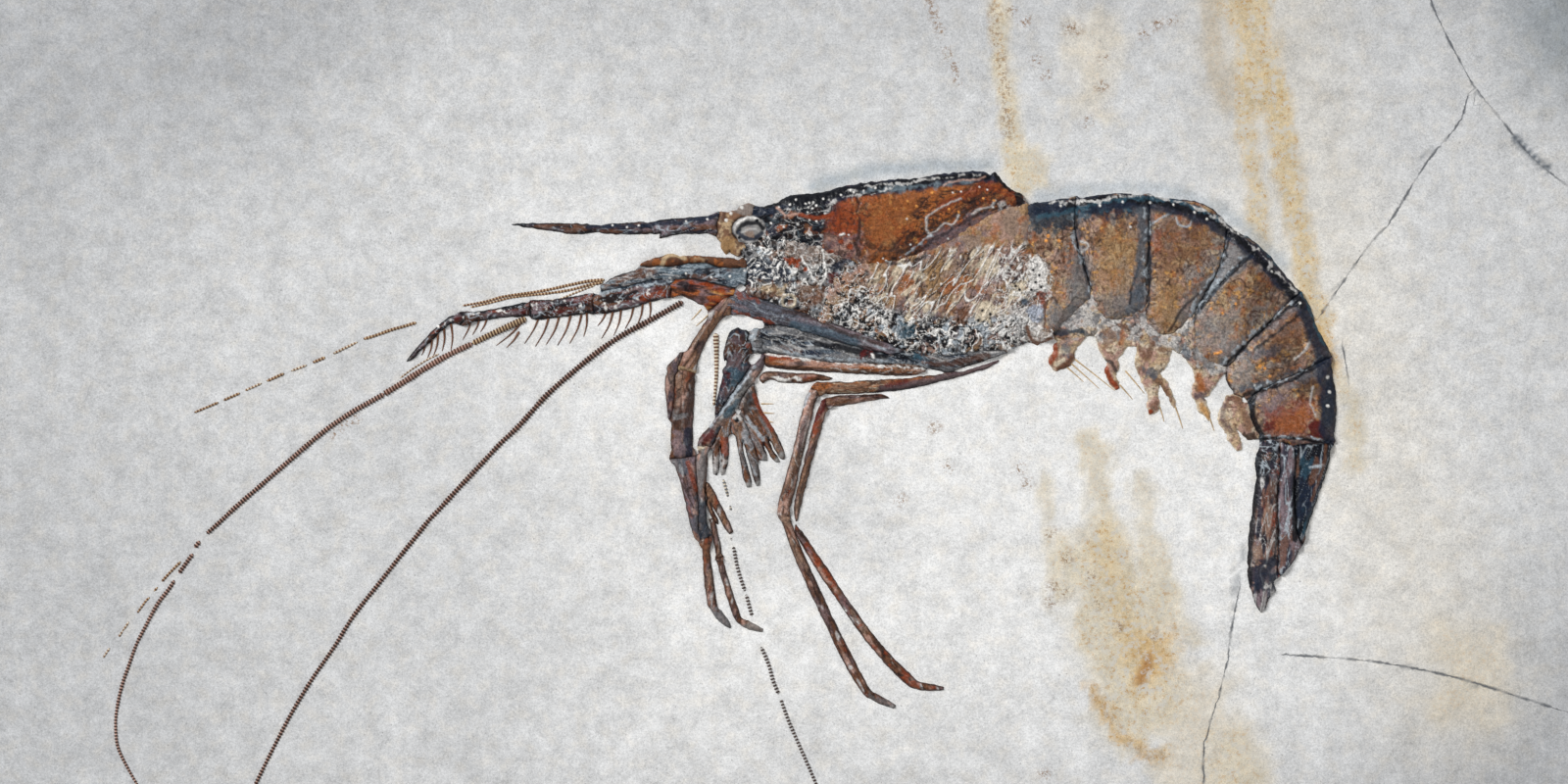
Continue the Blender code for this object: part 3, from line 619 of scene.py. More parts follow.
def mesh_piece(
    name: str,
    points: np.ndarray,
    faces: Iterable[Sequence[int]],
    paint: np.ndarray,
    extra: dict[str, np.ndarray],
    material: bpy.types.Material,
) -> bpy.types.Object:
    """A smooth-shaded mesh object with colours and masks on its points.

    Args:
        name: Name of the object.
        points: Its points in metres.
        faces: The faces, as numbers of points.
        paint: Linear colour of each point.
        extra: Other masks of the points by name.
        material: The material of the whole object.

    Returns:
        The object, linked into the scene.
    """
    mesh = bpy.data.meshes.new(name)
    corners, starts, count = [], [], 0
    for group in faces:
        group = np.asarray(group)
        if group.ndim == 1:
            group = group[None, :]
        corners.append(group.reshape(-1))
        starts.append(count + np.arange(len(group)) * group.shape[1])
        count += group.size
    mesh.vertices.add(len(points))
    mesh.vertices.foreach_set("co", points.reshape(-1).astype(np.float32))
    mesh.loops.add(count)
    mesh.loops.foreach_set("vertex_index", np.concatenate(corners).astype(np.int32))
    starts = np.concatenate(starts).astype(np.int32)
    mesh.polygons.add(len(starts))
    mesh.polygons.foreach_set("loop_start", starts)
    mesh.update(calc_edges=True)
    mesh.validate()
    mesh.polygons.foreach_set("use_smooth", np.ones(len(mesh.polygons), bool))
    colours = np.ones((len(points), 4), np.float32)
    colours[:, :3] = paint
    mesh.attributes.new("paint", "FLOAT_COLOR", "POINT").data.foreach_set(
        "color", colours.reshape(-1)
    )
    for key, values in extra.items():
        mesh.attributes.new(key, "FLOAT", "POINT").data.foreach_set(
            "value", np.asarray(values, np.float32)
        )
    mesh.materials.append(material)
    made = bpy.data.objects.new(name, mesh)
    bpy.context.scene.collection.objects.link(made)
    return made


def cells_without_pinches(keep: np.ndarray) -> np.ndarray:
    """A mask of grid cells in which no two cells touch at a corner alone.

    Args:
        keep: Which cells of the grid are wanted.

    Returns:
        The mask, with such pinches filled.
    """
    keep = keep.copy()
    for _ in range(8):
        a, b, c, d = keep[:-1, :-1], keep[:-1, 1:], keep[1:, :-1], keep[1:, 1:]
        falling = a & d & ~b & ~c
        rising = b & c & ~a & ~d
        if not (falling.any() or rising.any()):
            break
        keep[:-1, 1:] |= falling
        keep[:-1, :-1] |= rising
    return keep


def closed_relief(cells: np.ndarray) -> tuple[np.ndarray, list[np.ndarray], np.ndarray]:
    """Faces that close a relief over the kept cells of a grid.

    Args:
        cells: Which cells of the grid are kept, rows first.

    Returns:
        The grid points in use, the groups of faces over the used points and their copies
        below the rim, and the used points on the rim, in the order of their copies.
    """
    width = cells.shape[1] + 1
    rows, columns = np.nonzero(cells)
    first = rows * width + columns
    quads = np.stack([first, first + width, first + width + 1, first + 1], axis=1)
    used, quads = np.unique(quads, return_inverse=True)
    quads = quads.reshape(-1, 4)
    sides = np.concatenate([quads[:, [k, (k + 1) % 4]] for k in range(4)])
    codes = sides[:, 0].astype(np.int64) * len(used) + sides[:, 1]
    backs = sides[:, 1].astype(np.int64) * len(used) + sides[:, 0]
    rim = sides[~np.isin(codes, backs)]
    follow = dict(zip(rim[:, 0].tolist(), rim[:, 1].tolist()))
    loops = [np.array(loop) for loop in loops_through(follow)]
    rim_points = np.concatenate(loops)
    copy = np.full(len(used), -1)
    copy[rim_points] = len(used) + np.arange(len(rim_points))
    faces: list[np.ndarray] = [quads]
    for loop in loops:
        after = np.roll(loop, -1)
        faces.append(np.stack([after, loop, copy[loop], copy[after]], axis=1))
        faces.append(copy[loop])
    return used, faces, rim_points


@dataclass(frozen=True)
class Relief:
    """How a plate stands up from the stone; lengths in millimetres, sizes in grid steps."""

    rim: float
    crown: float = 0.0
    reach: float = 1.5
    spread: float = 0.0
    crumple: float = 0.04
    crumple_size: float = 7.0
    ragged: float = 0.6
    steep: float = 1.7

    def height(self, depth: np.ndarray, crumple: np.ndarray) -> np.ndarray:
        """Height over the stone for each depth in from the edge.

        Args:
            depth: Distance in from the edge, negative outside it.
            crumple: Height of the crumple, before it fades towards the edge.

        Returns:
            The height in millimetres, negative below the stone's surface.
        """
        inside = np.maximum(depth, 0.0)
        rise = self.rim * (1.0 - np.exp(-inside * self.steep / self.rim))
        rise += self.crown * ramp(0.0, self.reach, inside)
        rise += crumple * ramp(0.0, 0.35, inside)
        return np.where(depth < 0.0, depth * self.steep, rise)


@dataclass(frozen=True)
class Border:
    """A tint that follows the edge of a plate."""

    tint: Tint
    width: float  # millimetres
    strength: float = 0.85


@dataclass(frozen=True)
class Seam:
    """Plates that close up against each other, over gaps up to a reach in grid steps."""

    nodes: tuple[str, ...]
    reach: float = 9.0
    level: bool = False  # the plates run into each other without a crease


@dataclass
class Plate:
    """One plate of the fossil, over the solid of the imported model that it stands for."""

    node: str
    relief: Relief
    skin: "Skin"
    ground: Tint
    layers: Sequence[Layer] = ()
    border: Optional[Border] = None
    pitch: float = PLATE_PITCH
    outline: tuple[Spot, ...] = ()
    rings: list[np.ndarray] = field(default_factory=list)
    touching: list[tuple[np.ndarray, Seam]] = field(default_factory=list)

    def settle(self, solid: bpy.types.Object) -> None:
        """Takes the plate's outline from its solid, unless it has a finer one of its own."""
        rings = [np.array(self.outline, float)] if self.outline else flat_rings(solid)
        self.rings = [softened(ring) for ring in rings]

    def grid(self) -> tuple[np.ndarray, tuple[int, int]]:
        """The places of the plate's grid, and its number of rows and columns.

        Returns:
            The places row by row, and the numbers.
        """
        spots = np.vstack(self.rings)
        low = spots.min(axis=0) - GRID_MARGIN
        high = spots.max(axis=0) + GRID_MARGIN
        columns = np.arange(low[0], high[0], self.pitch)
        rows = np.arange(low[1], high[1], self.pitch)
        across, down = np.meshgrid(columns, rows)
        return np.stack([across.ravel(), down.ravel()], axis=1), across.shape

    def depths(self, spots: np.ndarray) -> tuple[np.ndarray, np.ndarray]:
        """Distance in from the plate's edge in millimetres, and nearness to a level seam.

        Args:
            spots: Places on the drawing grid.

        Returns:
            Both values at each place.
        """
        pushed = Noise.named("outline").warp(spots, 5.0, self.relief.ragged, 90)
        own = np.full(len(spots), -FAR)
        for ring in self.rings:
            near = close_to(spots, ring, RING_MARGIN)
            own[near] = np.maximum(own[near], signed_distance(pushed[near], ring))
        closed = own.copy()
        calm = np.zeros(len(spots))
        for ring, seam in self.touching:
            near = close_to(spots, ring, SEAM_MARGIN)
            away = -signed_distance(pushed[near], ring)
            gap = away - own[near]
            fill = np.maximum(gap, 0.0) / 2.0 + SEAM_OVERLAP
            fill = ramp(seam.reach * 1.3, seam.reach, gap) * fill
            closed[near] = np.maximum(closed[near], own[near] + fill)
            if seam.level:
                calm[near] = np.maximum(calm[near], ramp(seam.reach + 8.0, seam.reach - 2.0, away))
        return np.maximum(closed / STEPS_PER_MM, own / STEPS_PER_MM + self.relief.spread), calm

    def painted(
        self, spots: np.ndarray, depth: np.ndarray, noise: Noise
    ) -> tuple[np.ndarray, np.ndarray, np.ndarray]:
        """Colour, added height and shine at each place.

        Args:
            spots: Places on the plate.
            depth: Distance in from the edge.
            noise: The plate's own noise.

        Returns:
            Linear colours, heights in millimetres and shine from 0 to 1.
        """
        paint = np.tile(self.ground.linear, (len(spots), 1))
        lift = np.zeros(len(spots))
        shine = np.zeros(len(spots))
        bordered = self.border is None
        for salt, layer in enumerate(self.layers):
            if isinstance(layer, Mark) and not bordered:
                paint = self.bordered(spots, depth, noise, paint)
                bordered = True
            if isinstance(layer, Scatter):
                cover = layer.cover(spots, noise, salt + 3)
            else:
                cover = layer.cover(spots, noise)
                shine = np.maximum(shine * (1.0 - cover * (layer.shine == 0.0)), cover * layer.shine)
            lift += cover * layer.lift
            if layer.tint is not None:
                paint += (layer.tint.linear - paint) * cover[:, None]
        if not bordered:
            paint = self.bordered(spots, depth, noise, paint)
        return paint, lift, shine

    def bordered(
        self, spots: np.ndarray, depth: np.ndarray, noise: Noise, paint: np.ndarray
    ) -> np.ndarray:
        """The colours with the plate's edge tinted.

        Args:
            spots: Places on the drawing grid.
            depth: Distance in from the edge in millimetres.
            noise: Makes the edges uneven.
            paint: Colour at each place.

        Returns:
            The new colour at each place.
        """
        uneven = self.border.width * (0.35 + 1.3 * noise.fractal(spots, 11.0, 77, 2))
        cover = ramp(1.0, 0.35, depth / uneven) * self.border.strength
        return paint + (self.border.tint.linear - paint) * cover[:, None]

    def build(self) -> bpy.types.Object:
        """Makes the plate, riding on the model in place of its solid.

        Returns:
            The piece, linked into the scene.
        """
        noise = Noise.named(self.node)
        spots, shape = self.grid()
        depth, calm = self.depths(spots)
        keep = (depth > -EDGE_DROP).reshape(shape)
        cells = keep[:-1, :-1] & keep[:-1, 1:] & keep[1:, :-1] & keep[1:, 1:]
        used, faces, rim = closed_relief(cells_without_pinches(cells))
        spots, depth = spots[used], depth[used] + calm[used]
        paint, lift, shine = self.painted(spots, depth, noise)
        relief = self.relief
        crumple = noise.fractal(spots, relief.crumple_size, 40, 3) - 0.5
        crumple += 0.35 * (noise.fractal(spots, relief.crumple_size * 0.35, 41, 2) - 0.5)
        height = relief.height(depth, crumple * 2.0 * relief.crumple + lift)
        height = np.maximum(height, -SUNK / MILLIMETRE)
        points = world(spots, STONE_TOP + height * MILLIMETRE)
        below = points[rim].copy()
        below[:, 2] = STONE_TOP - SUNK * 1.4
        both = np.concatenate([np.arange(len(points)), rim])
        made = mesh_piece(
            f"{self.node}_relief", np.vstack([points, below]), faces, paint[both],
            {"shine": shine[both]}, self.skin.material(),
        )
        return seated(made, self.skin.slot, self.node)


def seated(piece: bpy.types.Object, slot: str, *nodes: str) -> bpy.types.Object:
    """The piece, riding on the model in place of its solids.

    Args:
        piece: The new piece.
        slot: A name for its finish; not used.
        nodes: Names of the solids that it stands for.

    Returns:
        The same piece.
    """
    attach(piece, "root")
    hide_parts(*nodes)
    LOG.info("%s: %d faces for %s", piece.name, len(piece.data.polygons), ", ".join(nodes))
    return piece


MIX_INPUTS = (0, 6, 7)  # share and colours of a mix node
MIX_OUTPUT = 2  # its mixed colour


class Nodes:
    """A shader tree and short ways to add to it."""

    def __init__(self, tree: bpy.types.NodeTree) -> None:
        """Takes the tree to add to."""
        self.tree = tree

    def add(self, kind: str, **settings: object) -> bpy.types.Node:
        """A new node; settings name its properties.

        Args:
            kind: Type of the node.
            settings: Values of its properties.

        Returns:
            The node.
        """
        node = self.tree.nodes.new(kind)
        for name, value in settings.items():
            setattr(node, name, value)
        return node

    def put(self, socket: bpy.types.NodeSocket, value: object) -> None:
        """Links a socket to the input, or sets the input to a value.

        Args:
            socket: The input to fill.
            value: A socket to link, or else a plain value.
        """
        if isinstance(value, bpy.types.NodeSocket):
            self.tree.links.new(value, socket)
        else:
            socket.default_value = value

    def math(self, operation: str, *values: object, clamp: bool = False) -> bpy.types.NodeSocket:
        """The result of one sum.

        Args:
            operation: Name of the sum.
            values: Sockets or numbers that go in.
            clamp: Whether the result stays between 0 and 1.

        Returns:
            The socket with the result.
        """
        node = self.add("ShaderNodeMath", operation=operation, use_clamp=clamp)
        for socket, value in zip(node.inputs, values):
            self.put(socket, value)
        return node.outputs[0]

    def times(self, first: object, second: object) -> bpy.types.NodeSocket:
        """The product of two values."""
        return self.math("MULTIPLY", first, second)

    def plus(self, first: object, second: object) -> bpy.types.NodeSocket:
        """The sum of two values."""
        return self.math("ADD", first, second)

    def less(self, first: object, second: object) -> bpy.types.NodeSocket:
        """The difference of two values."""
        return self.math("SUBTRACT", first, second)

    def stretch(self, value: object, *bounds: float) -> bpy.types.NodeSocket:
        """A value carried smoothly from one range to another, or else to 0 and 1.

        Args:
            value: What is carried over.
            bounds: Start and end of the range from which it comes, then of the one to which it goes.

        Returns:
            The socket with the result.
        """
        node = self.add("ShaderNodeMapRange", interpolation_type="SMOOTHSTEP")
        for socket, item in zip(node.inputs, (value, *bounds)):
            self.put(socket, item)
        return node.outputs[0]

    def mix(
        self, share: object, first: object, second: object, blend: str = "MIX"
    ) -> bpy.types.NodeSocket:
        """A mix of two colours.

        Args:
            share: Share of the second colour.
            first: The first colour.
            second: The second colour.
            blend: How they are blended.

        Returns:
            The socket with the colour.
        """
        node = self.add("ShaderNodeMix", data_type="RGBA", blend_type=blend)
        for socket, item in zip(MIX_INPUTS, (share, first, second)):
            self.put(node.inputs[socket], item)
        return node.outputs[MIX_OUTPUT]

    def dyed(self, colour: object, dye: object) -> bpy.types.NodeSocket:
        """A colour darkened by a dye."""
        return self.mix(1.0, colour, dye, "MULTIPLY")

    def grey(self, value: object) -> bpy.types.NodeSocket:
        """A value as a grey.

        Args:
            value: Socket with the value.

        Returns:
            The socket with the grey.
        """
        node = self.add("ShaderNodeCombineColor")
        for socket in node.inputs[:3]:
            self.put(socket, value)
        return node.outputs[0]

    def carried(self, name: str, output: str = "Fac") -> bpy.types.NodeSocket:
        """A mask or a colour that the mesh carries on its points."""
        return self.add("ShaderNodeAttribute", attribute_name=name).outputs[output]

    def bump(self, shader: bpy.types.Node, height: object, strength: float, distance: float) -> None:
        """Gives a shader a bump; the distance is in metres.

        Args:
            shader: The shader.
            height: Socket with the height.
            strength: Strength of the bump.
            distance: What a height of 1 stands for.
        """
        node = self.add("ShaderNodeBump")
        node.inputs["Strength"].default_value = strength
        node.inputs["Distance"].default_value = distance
        self.put(node.inputs["Height"], height)
        self.put(shader.inputs["Normal"], node.outputs[0])

    def noise(
        self, place: object, scale: float, detail: float = 2.0, rough: float = 0.5
    ) -> bpy.types.NodeSocket:
        """The height of a noise with so many blobs to a millimetre.

        Args:
            place: Socket with the place.
            scale: Blobs to a millimetre.
            detail: Number of finer layers.
            rough: Strength of each finer layer.

        Returns:
            The socket with the height.
        """
        node = self.add("ShaderNodeTexNoise")
        self.put(node.inputs["Vector"], place)
        node.inputs["Scale"].default_value = scale
        node.inputs["Detail"].default_value = detail
        node.inputs["Roughness"].default_value = rough
        return node.outputs["Fac"]

    def cells(self, place: object, scale: float, feature: str = "F1") -> bpy.types.Node:
        """A pattern of cells with so many to a millimetre.

        Args:
            place: Socket with the place.
            scale: Cells to a millimetre.
            feature: What is measured in them.

        Returns:
            The node of the cells.
        """
        node = self.add("ShaderNodeTexVoronoi", feature=feature)
        self.put(node.inputs["Vector"], place)
        node.inputs["Scale"].default_value = scale
        return node

    def place(self) -> bpy.types.NodeSocket:
        """Places on the object in millimetres.

        Returns:
            The socket with the place.
        """
        spot = self.add("ShaderNodeTexCoord").outputs["Object"]
        node = self.add("ShaderNodeVectorMath", operation="SCALE")
        self.put(node.inputs[0], spot)
        node.inputs["Scale"].default_value = 1.0 / MILLIMETRE
        return node.outputs[0]


class ShaderGroup:
    """A node group of shared effects, built once and used by name."""

    name = ""
    inputs: dict[str, tuple[str, object]] = {}
    outputs: dict[str, str] = {}

    def build(self, nodes: Nodes, given: bpy.types.Node, result: bpy.types.Node) -> None:
        """Fills the group.

        Args:
            nodes: The group's own tree.
            given: The node with its inputs.
            result: The node that takes its outputs.
        """
        raise NotImplementedError

    def tree(self) -> bpy.types.NodeTree:
        """The group's tree, made at its first use.

        Returns:
            The tree.
        """
        found = bpy.data.node_groups.get(self.name)
        if found:
            return found
        tree = bpy.data.node_groups.new(self.name, "ShaderNodeTree")
        for name, (kind, value) in self.inputs.items():
            socket = tree.interface.new_socket(name, in_out="INPUT", socket_type=kind)
            if value is not None:
                socket.default_value = value
        for name, kind in self.outputs.items():
            tree.interface.new_socket(name, in_out="OUTPUT", socket_type=kind)
        nodes = Nodes(tree)
        self.build(nodes, nodes.add("NodeGroupInput"), nodes.add("NodeGroupOutput"))
        return tree

    def use(self, nodes: Nodes, **values: object) -> bpy.types.Node:
        """Adds the group to a tree; values name its inputs.

        Args:
            nodes: The tree to which the group is added.
            values: What goes into its inputs.

        Returns:
            The node of the group.
        """
        node = nodes.add("ShaderNodeGroup", node_tree=self.tree())
        for name, value in values.items():
            nodes.put(node.inputs[name.replace("_", " ").capitalize()], value)
        return node


def fresh_material(name: str) -> tuple[bpy.types.Material, Nodes, bpy.types.Node]:
    """A new material, its tree and its shader.

    Args:
        name: Name of the material.

    Returns:
        The three of them.
    """
    made = bpy.data.materials.new(name)
    made.use_nodes = True
    return made, Nodes(made.node_tree), made.node_tree.nodes["Principled BSDF"]


COLOUR, VALUE, VECTOR = "NodeSocketColor", "NodeSocketFloat", "NodeSocketVector"


class ShellStain(ShaderGroup):
    """Mineral mottling, dark pits and pale crystals over a painted colour."""

    name = "Shell stain"
    inputs = {
        "Place": (VECTOR, None),
        "Paint": (COLOUR, (0.5, 0.5, 0.5, 1)),
        "Contrast": (VALUE, 0.5),
        "Pits": (VALUE, 0.3),
        "Crystals": (VALUE, 0.2),
    }
    outputs = {"Colour": COLOUR}
    pit_shade = (0.22, 0.2, 0.2, 1)
    crystal_white = (0.72, 0.70, 0.68, 1)

    def build(self, nodes: Nodes, given: bpy.types.Node, result: bpy.types.Node) -> None:
        """Fills the group.

        Args:
            nodes: The group's own tree.
            given: The node with its inputs.
            result: The node that takes its outputs.
        """
        place, paint = given.outputs["Place"], given.outputs["Paint"]
        coarse = nodes.noise(place, 2.6, 3.0, 0.6)
        fine = nodes.noise(place, 7.5, 2.0, 0.6)
        both = nodes.plus(nodes.times(coarse, 0.55), nodes.times(fine, 0.45))
        spread = nodes.times(nodes.less(both, 0.5), given.outputs["Contrast"])
        gain = nodes.math("MAXIMUM", nodes.plus(nodes.times(spread, 6.5), 1.0), 0.12)
        stained = nodes.dyed(paint, nodes.grey(gain))
        pit = nodes.cells(place, 4.5)
        pits = nodes.times(nodes.stretch(pit.outputs["Distance"], 0.30, 0.12), given.outputs["Pits"])
        stained = nodes.mix(pits, stained, nodes.dyed(stained, self.pit_shade))
        crystal = nodes.cells(place, 3.4)
        mask = nodes.stretch(crystal.outputs["Distance"], 0.22, 0.10)
        chosen = nodes.stretch(nodes.noise(place, 1.3), 0.50, 0.62)
        mask = nodes.times(nodes.times(mask, chosen), given.outputs["Crystals"])
        nodes.put(result.inputs["Colour"], nodes.mix(mask, stained, self.crystal_white))


class ShellGlaze(ShaderGroup):
    """Uneven gloss and fine crazing of mineral shell."""

    name = "Shell glaze"
    inputs = {
        "Place": (VECTOR, None),
        "Dull": (VALUE, 0.5),
        "Polish": (VALUE, 0.0),
        "Crazing": (VALUE, 0.5),
    }
    outputs = {"Roughness": VALUE, "Height": VALUE}

    def build(self, nodes: Nodes, given: bpy.types.Node, result: bpy.types.Node) -> None:
        """Fills the group.

        Args:
            nodes: The group's own tree.
            given: The node with its inputs.
            result: The node that takes its outputs.
        """
        place = given.outputs["Place"]
        patches = nodes.stretch(nodes.noise(place, 1.9, 3.0), 0.35, 0.65, -0.14, 0.12)
        rough = nodes.plus(given.outputs["Dull"], patches)
        rough = nodes.less(rough, nodes.times(given.outputs["Polish"], 0.25))
        nodes.put(result.inputs["Roughness"], nodes.math("MAXIMUM", rough, 0.12))
        crack = nodes.cells(place, 1.8, "DISTANCE_TO_EDGE").outputs["Distance"]
        cracks = nodes.times(nodes.stretch(crack, 0.0, 0.09), given.outputs["Crazing"])
        grain = nodes.noise(place, 9.0, 3.0, 0.6)
        height = nodes.plus(nodes.times(grain, 0.6), nodes.times(nodes.noise(place, 3.0), 1.1))
        nodes.put(result.inputs["Height"], nodes.plus(height, nodes.times(cracks, 0.35)))


@dataclass(frozen=True)
class Skin:
    """A finish of mineralised shell."""

    name: str
    slot: str
    dull: float = 0.42
    contrast: float = 0.45
    pits: float = 0.35
    crystals: float = 0.15
    crazing: float = 0.5
    bump: float = 0.00004  # metres
    coat: float = 0.06
    coat_roughness: float = 0.2
    shine: float = 0.2

    def material(self) -> bpy.types.Material:
        """The finish's material, made once.

        Returns:
            The material.
        """
        found = bpy.data.materials.get(self.name)
        if found:
            return found
        made, nodes, shader = fresh_material(self.name)
        place = nodes.place()
        stain = ShellStain().use(
            nodes, place=place, paint=nodes.carried("paint", "Color"), contrast=self.contrast,
            pits=self.pits, crystals=self.crystals,
        )
        glaze = ShellGlaze().use(
            nodes, place=place, dull=self.dull, polish=nodes.carried("shine"), crazing=self.crazing
        )
        nodes.put(shader.inputs["Base Color"], stain.outputs["Colour"])
        nodes.put(shader.inputs["Roughness"], glaze.outputs["Roughness"])
        nodes.bump(shader, glaze.outputs["Height"], 1.0, self.bump)
        shader.inputs["Coat Weight"].default_value = self.coat
        shader.inputs["Coat Roughness"].default_value = self.coat_roughness
        shader.inputs["Specular IOR Level"].default_value = self.shine
        return made


@dataclass(frozen=True)
class Strand:
    """A stretch of a feeler or a spine; radii and beads in grid steps."""

    route: tuple[Spot, ...]
    radii: tuple[float, float]
    bead: float = 0.0
    depth: float = 0.18
    dark: Tint = Tint.UMBER
    pale: Tint = Tint.ROSE
    dark_share: float = 0.55
    sink: float = 0.0
    cut: float = 0.0  # share of the strand where beads are missing

    def tube(self, noise: Noise, sides: int) -> tuple[np.ndarray, np.ndarray, np.ndarray]:
        """The strand's points, quads and colours.

        Args:
            noise: Makes the beads uneven.
            sides: Number of points round the strand.

        Returns:
            Points in metres, faces as numbers of points, and linear colours.
        """
        step = self.bead / 6.0 if self.bead else 1.6
        middle = flowing(self.route, step)
        count = len(middle)
        travel = travelled(middle)
        share = travel / travel[-1]
        ahead = np.gradient(middle, axis=0)
        ahead /= np.hypot(*ahead.T)[:, None]
        across = np.stack([-ahead[:, 1], ahead[:, 0]], axis=1)
        radius = self.radii[0] + (self.radii[1] - self.radii[0]) * share
        radius *= 0.9 + 0.2 * noise.smooth(middle, 9.0, 3)
        wave = np.zeros(count)
        if self.bead:
            wave = np.cos(travel / self.bead * 2.0 * math.pi)
            radius *= 1.0 + self.depth * wave
        radius *= np.clip(np.minimum(travel, travel[-1] - travel) / 1.2, 0.12, 1.0)
        gone = ramp(0.10, -0.10, noise.fractal(middle, 14.0, 8, 2) - self.cut) if self.cut else 0.0
        angle = np.arange(sides) / sides * 2.0 * math.pi
        side = middle[:, None, :] + across[:, None, :] * (radius[:, None] * np.cos(angle))[..., None]
        flat = radius * GRID_STEP * 0.62
        height = STONE_TOP + flat[:, None] * (np.sin(angle) + 0.25) - self.sink * MILLIMETRE
        height = height - np.atleast_1d(gone * flat * 2.2)[:, None]
        points = world(side.reshape(-1, 2), height.reshape(-1))
        ring = np.arange(sides)
        start = np.arange(count - 1)[:, None] * sides
        after = (ring + 1) % sides
        quads = np.stack(
            [start + ring, start + after, start + sides + after, start + sides + ring], axis=2
        ).reshape(-1, 4)
        mix = ramp(1.0 - 2.0 * self.dark_share - 0.25, 1.0 - 2.0 * self.dark_share + 0.25, wave)
        if not self.bead:
            mix = np.ones(count)
        tone = 0.75 + 0.5 * noise.fractal(middle, 7.0, 5, 2)
        colour = self.pale.linear + (self.dark.linear - self.pale.linear) * mix[:, None]
        colour = np.repeat(np.clip(colour * tone[:, None], 0, 1), sides, axis=0)
        return points, quads, colour


def strung(
    name: str, strands: Iterable[Strand], seed: str, sides: int, shine: float, skin: Skin
) -> bpy.types.Object:
    """One piece made of strands with closed ends.

    Args:
        name: Name of the piece.
        strands: Its strands.
        seed: The name that makes the strands uneven in their own way.
        sides: Number of points round each strand.
        shine: How polished they are, from 0 to 1.
        skin: Their finish.

    Returns:
        The piece, linked into the scene.
    """
    noise = Noise.named(seed)
    points, faces, colours, count = [], [], [], 0
    for strand in strands:
        made, quads, colour = strand.tube(noise, sides)
        faces += [quads + count, np.arange(sides)[::-1] + count]
        faces.append(np.arange(len(made) - sides, len(made)) + count)
        points.append(made)
        colours.append(colour)
        count += len(made)
    return mesh_piece(
        name, np.vstack(points), faces, np.vstack(colours), {"shine": np.full(count, shine)},
        skin.material(),
    )


@dataclass
class Feeler:
    """Strands that stand for one solid."""

    node: str
    strands: Sequence[Strand]
    skin: Skin
    sides: int = 10
    shine: float = 0.3

    def build(self) -> bpy.types.Object:
        """Makes the feeler, riding on the model in place of its solid.

        Returns:
            The piece, linked into the scene.
        """
        piece = strung(
            f"{self.node}_beads", self.strands, self.node, self.sides, self.shine, self.skin
        )
        return seated(piece, self.skin.slot, self.node)


@dataclass
class Comb:
    """A row of curved spines along a joint of the long mouth leg."""

    node: str
    spines: Sequence[tuple[Spot, Spot]]
    skin: Skin
    bend: float = 1.8
    radius: float = 1.35
    tip_radius: float = 0.35
    tint: Tint = Tint.BROWN
    sides: int = 8
    shine: float = 0.2

    def spine(self, root: Spot, tip: Spot) -> Strand:
        """One spine, bent a little between its root and its tip.

        Args:
            root: Where the spine starts.
            tip: Where it ends.

        Returns:
            The spine.
        """
        middle = (
            (root[0] + tip[0]) / 2 + self.bend * (tip[1] - root[1]) / 30,
            (root[1] + tip[1]) / 2 + self.bend * 0.3,
        )
        return Strand((root, middle, tip), (self.radius, self.tip_radius), dark=self.tint)

    def build(self) -> bpy.types.Object:
        """Makes the spines in one piece, riding on the model.

        Returns:
            The piece, linked into the scene.
        """
        strands = [self.spine(root, tip) for root, tip in self.spines]
        piece = strung(
            f"{self.node}_bristles", strands, self.node, self.sides, self.shine, self.skin
        )
        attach(piece, "root")
        LOG.info("%s: %d faces", piece.name, len(piece.data.polygons))
        return piece


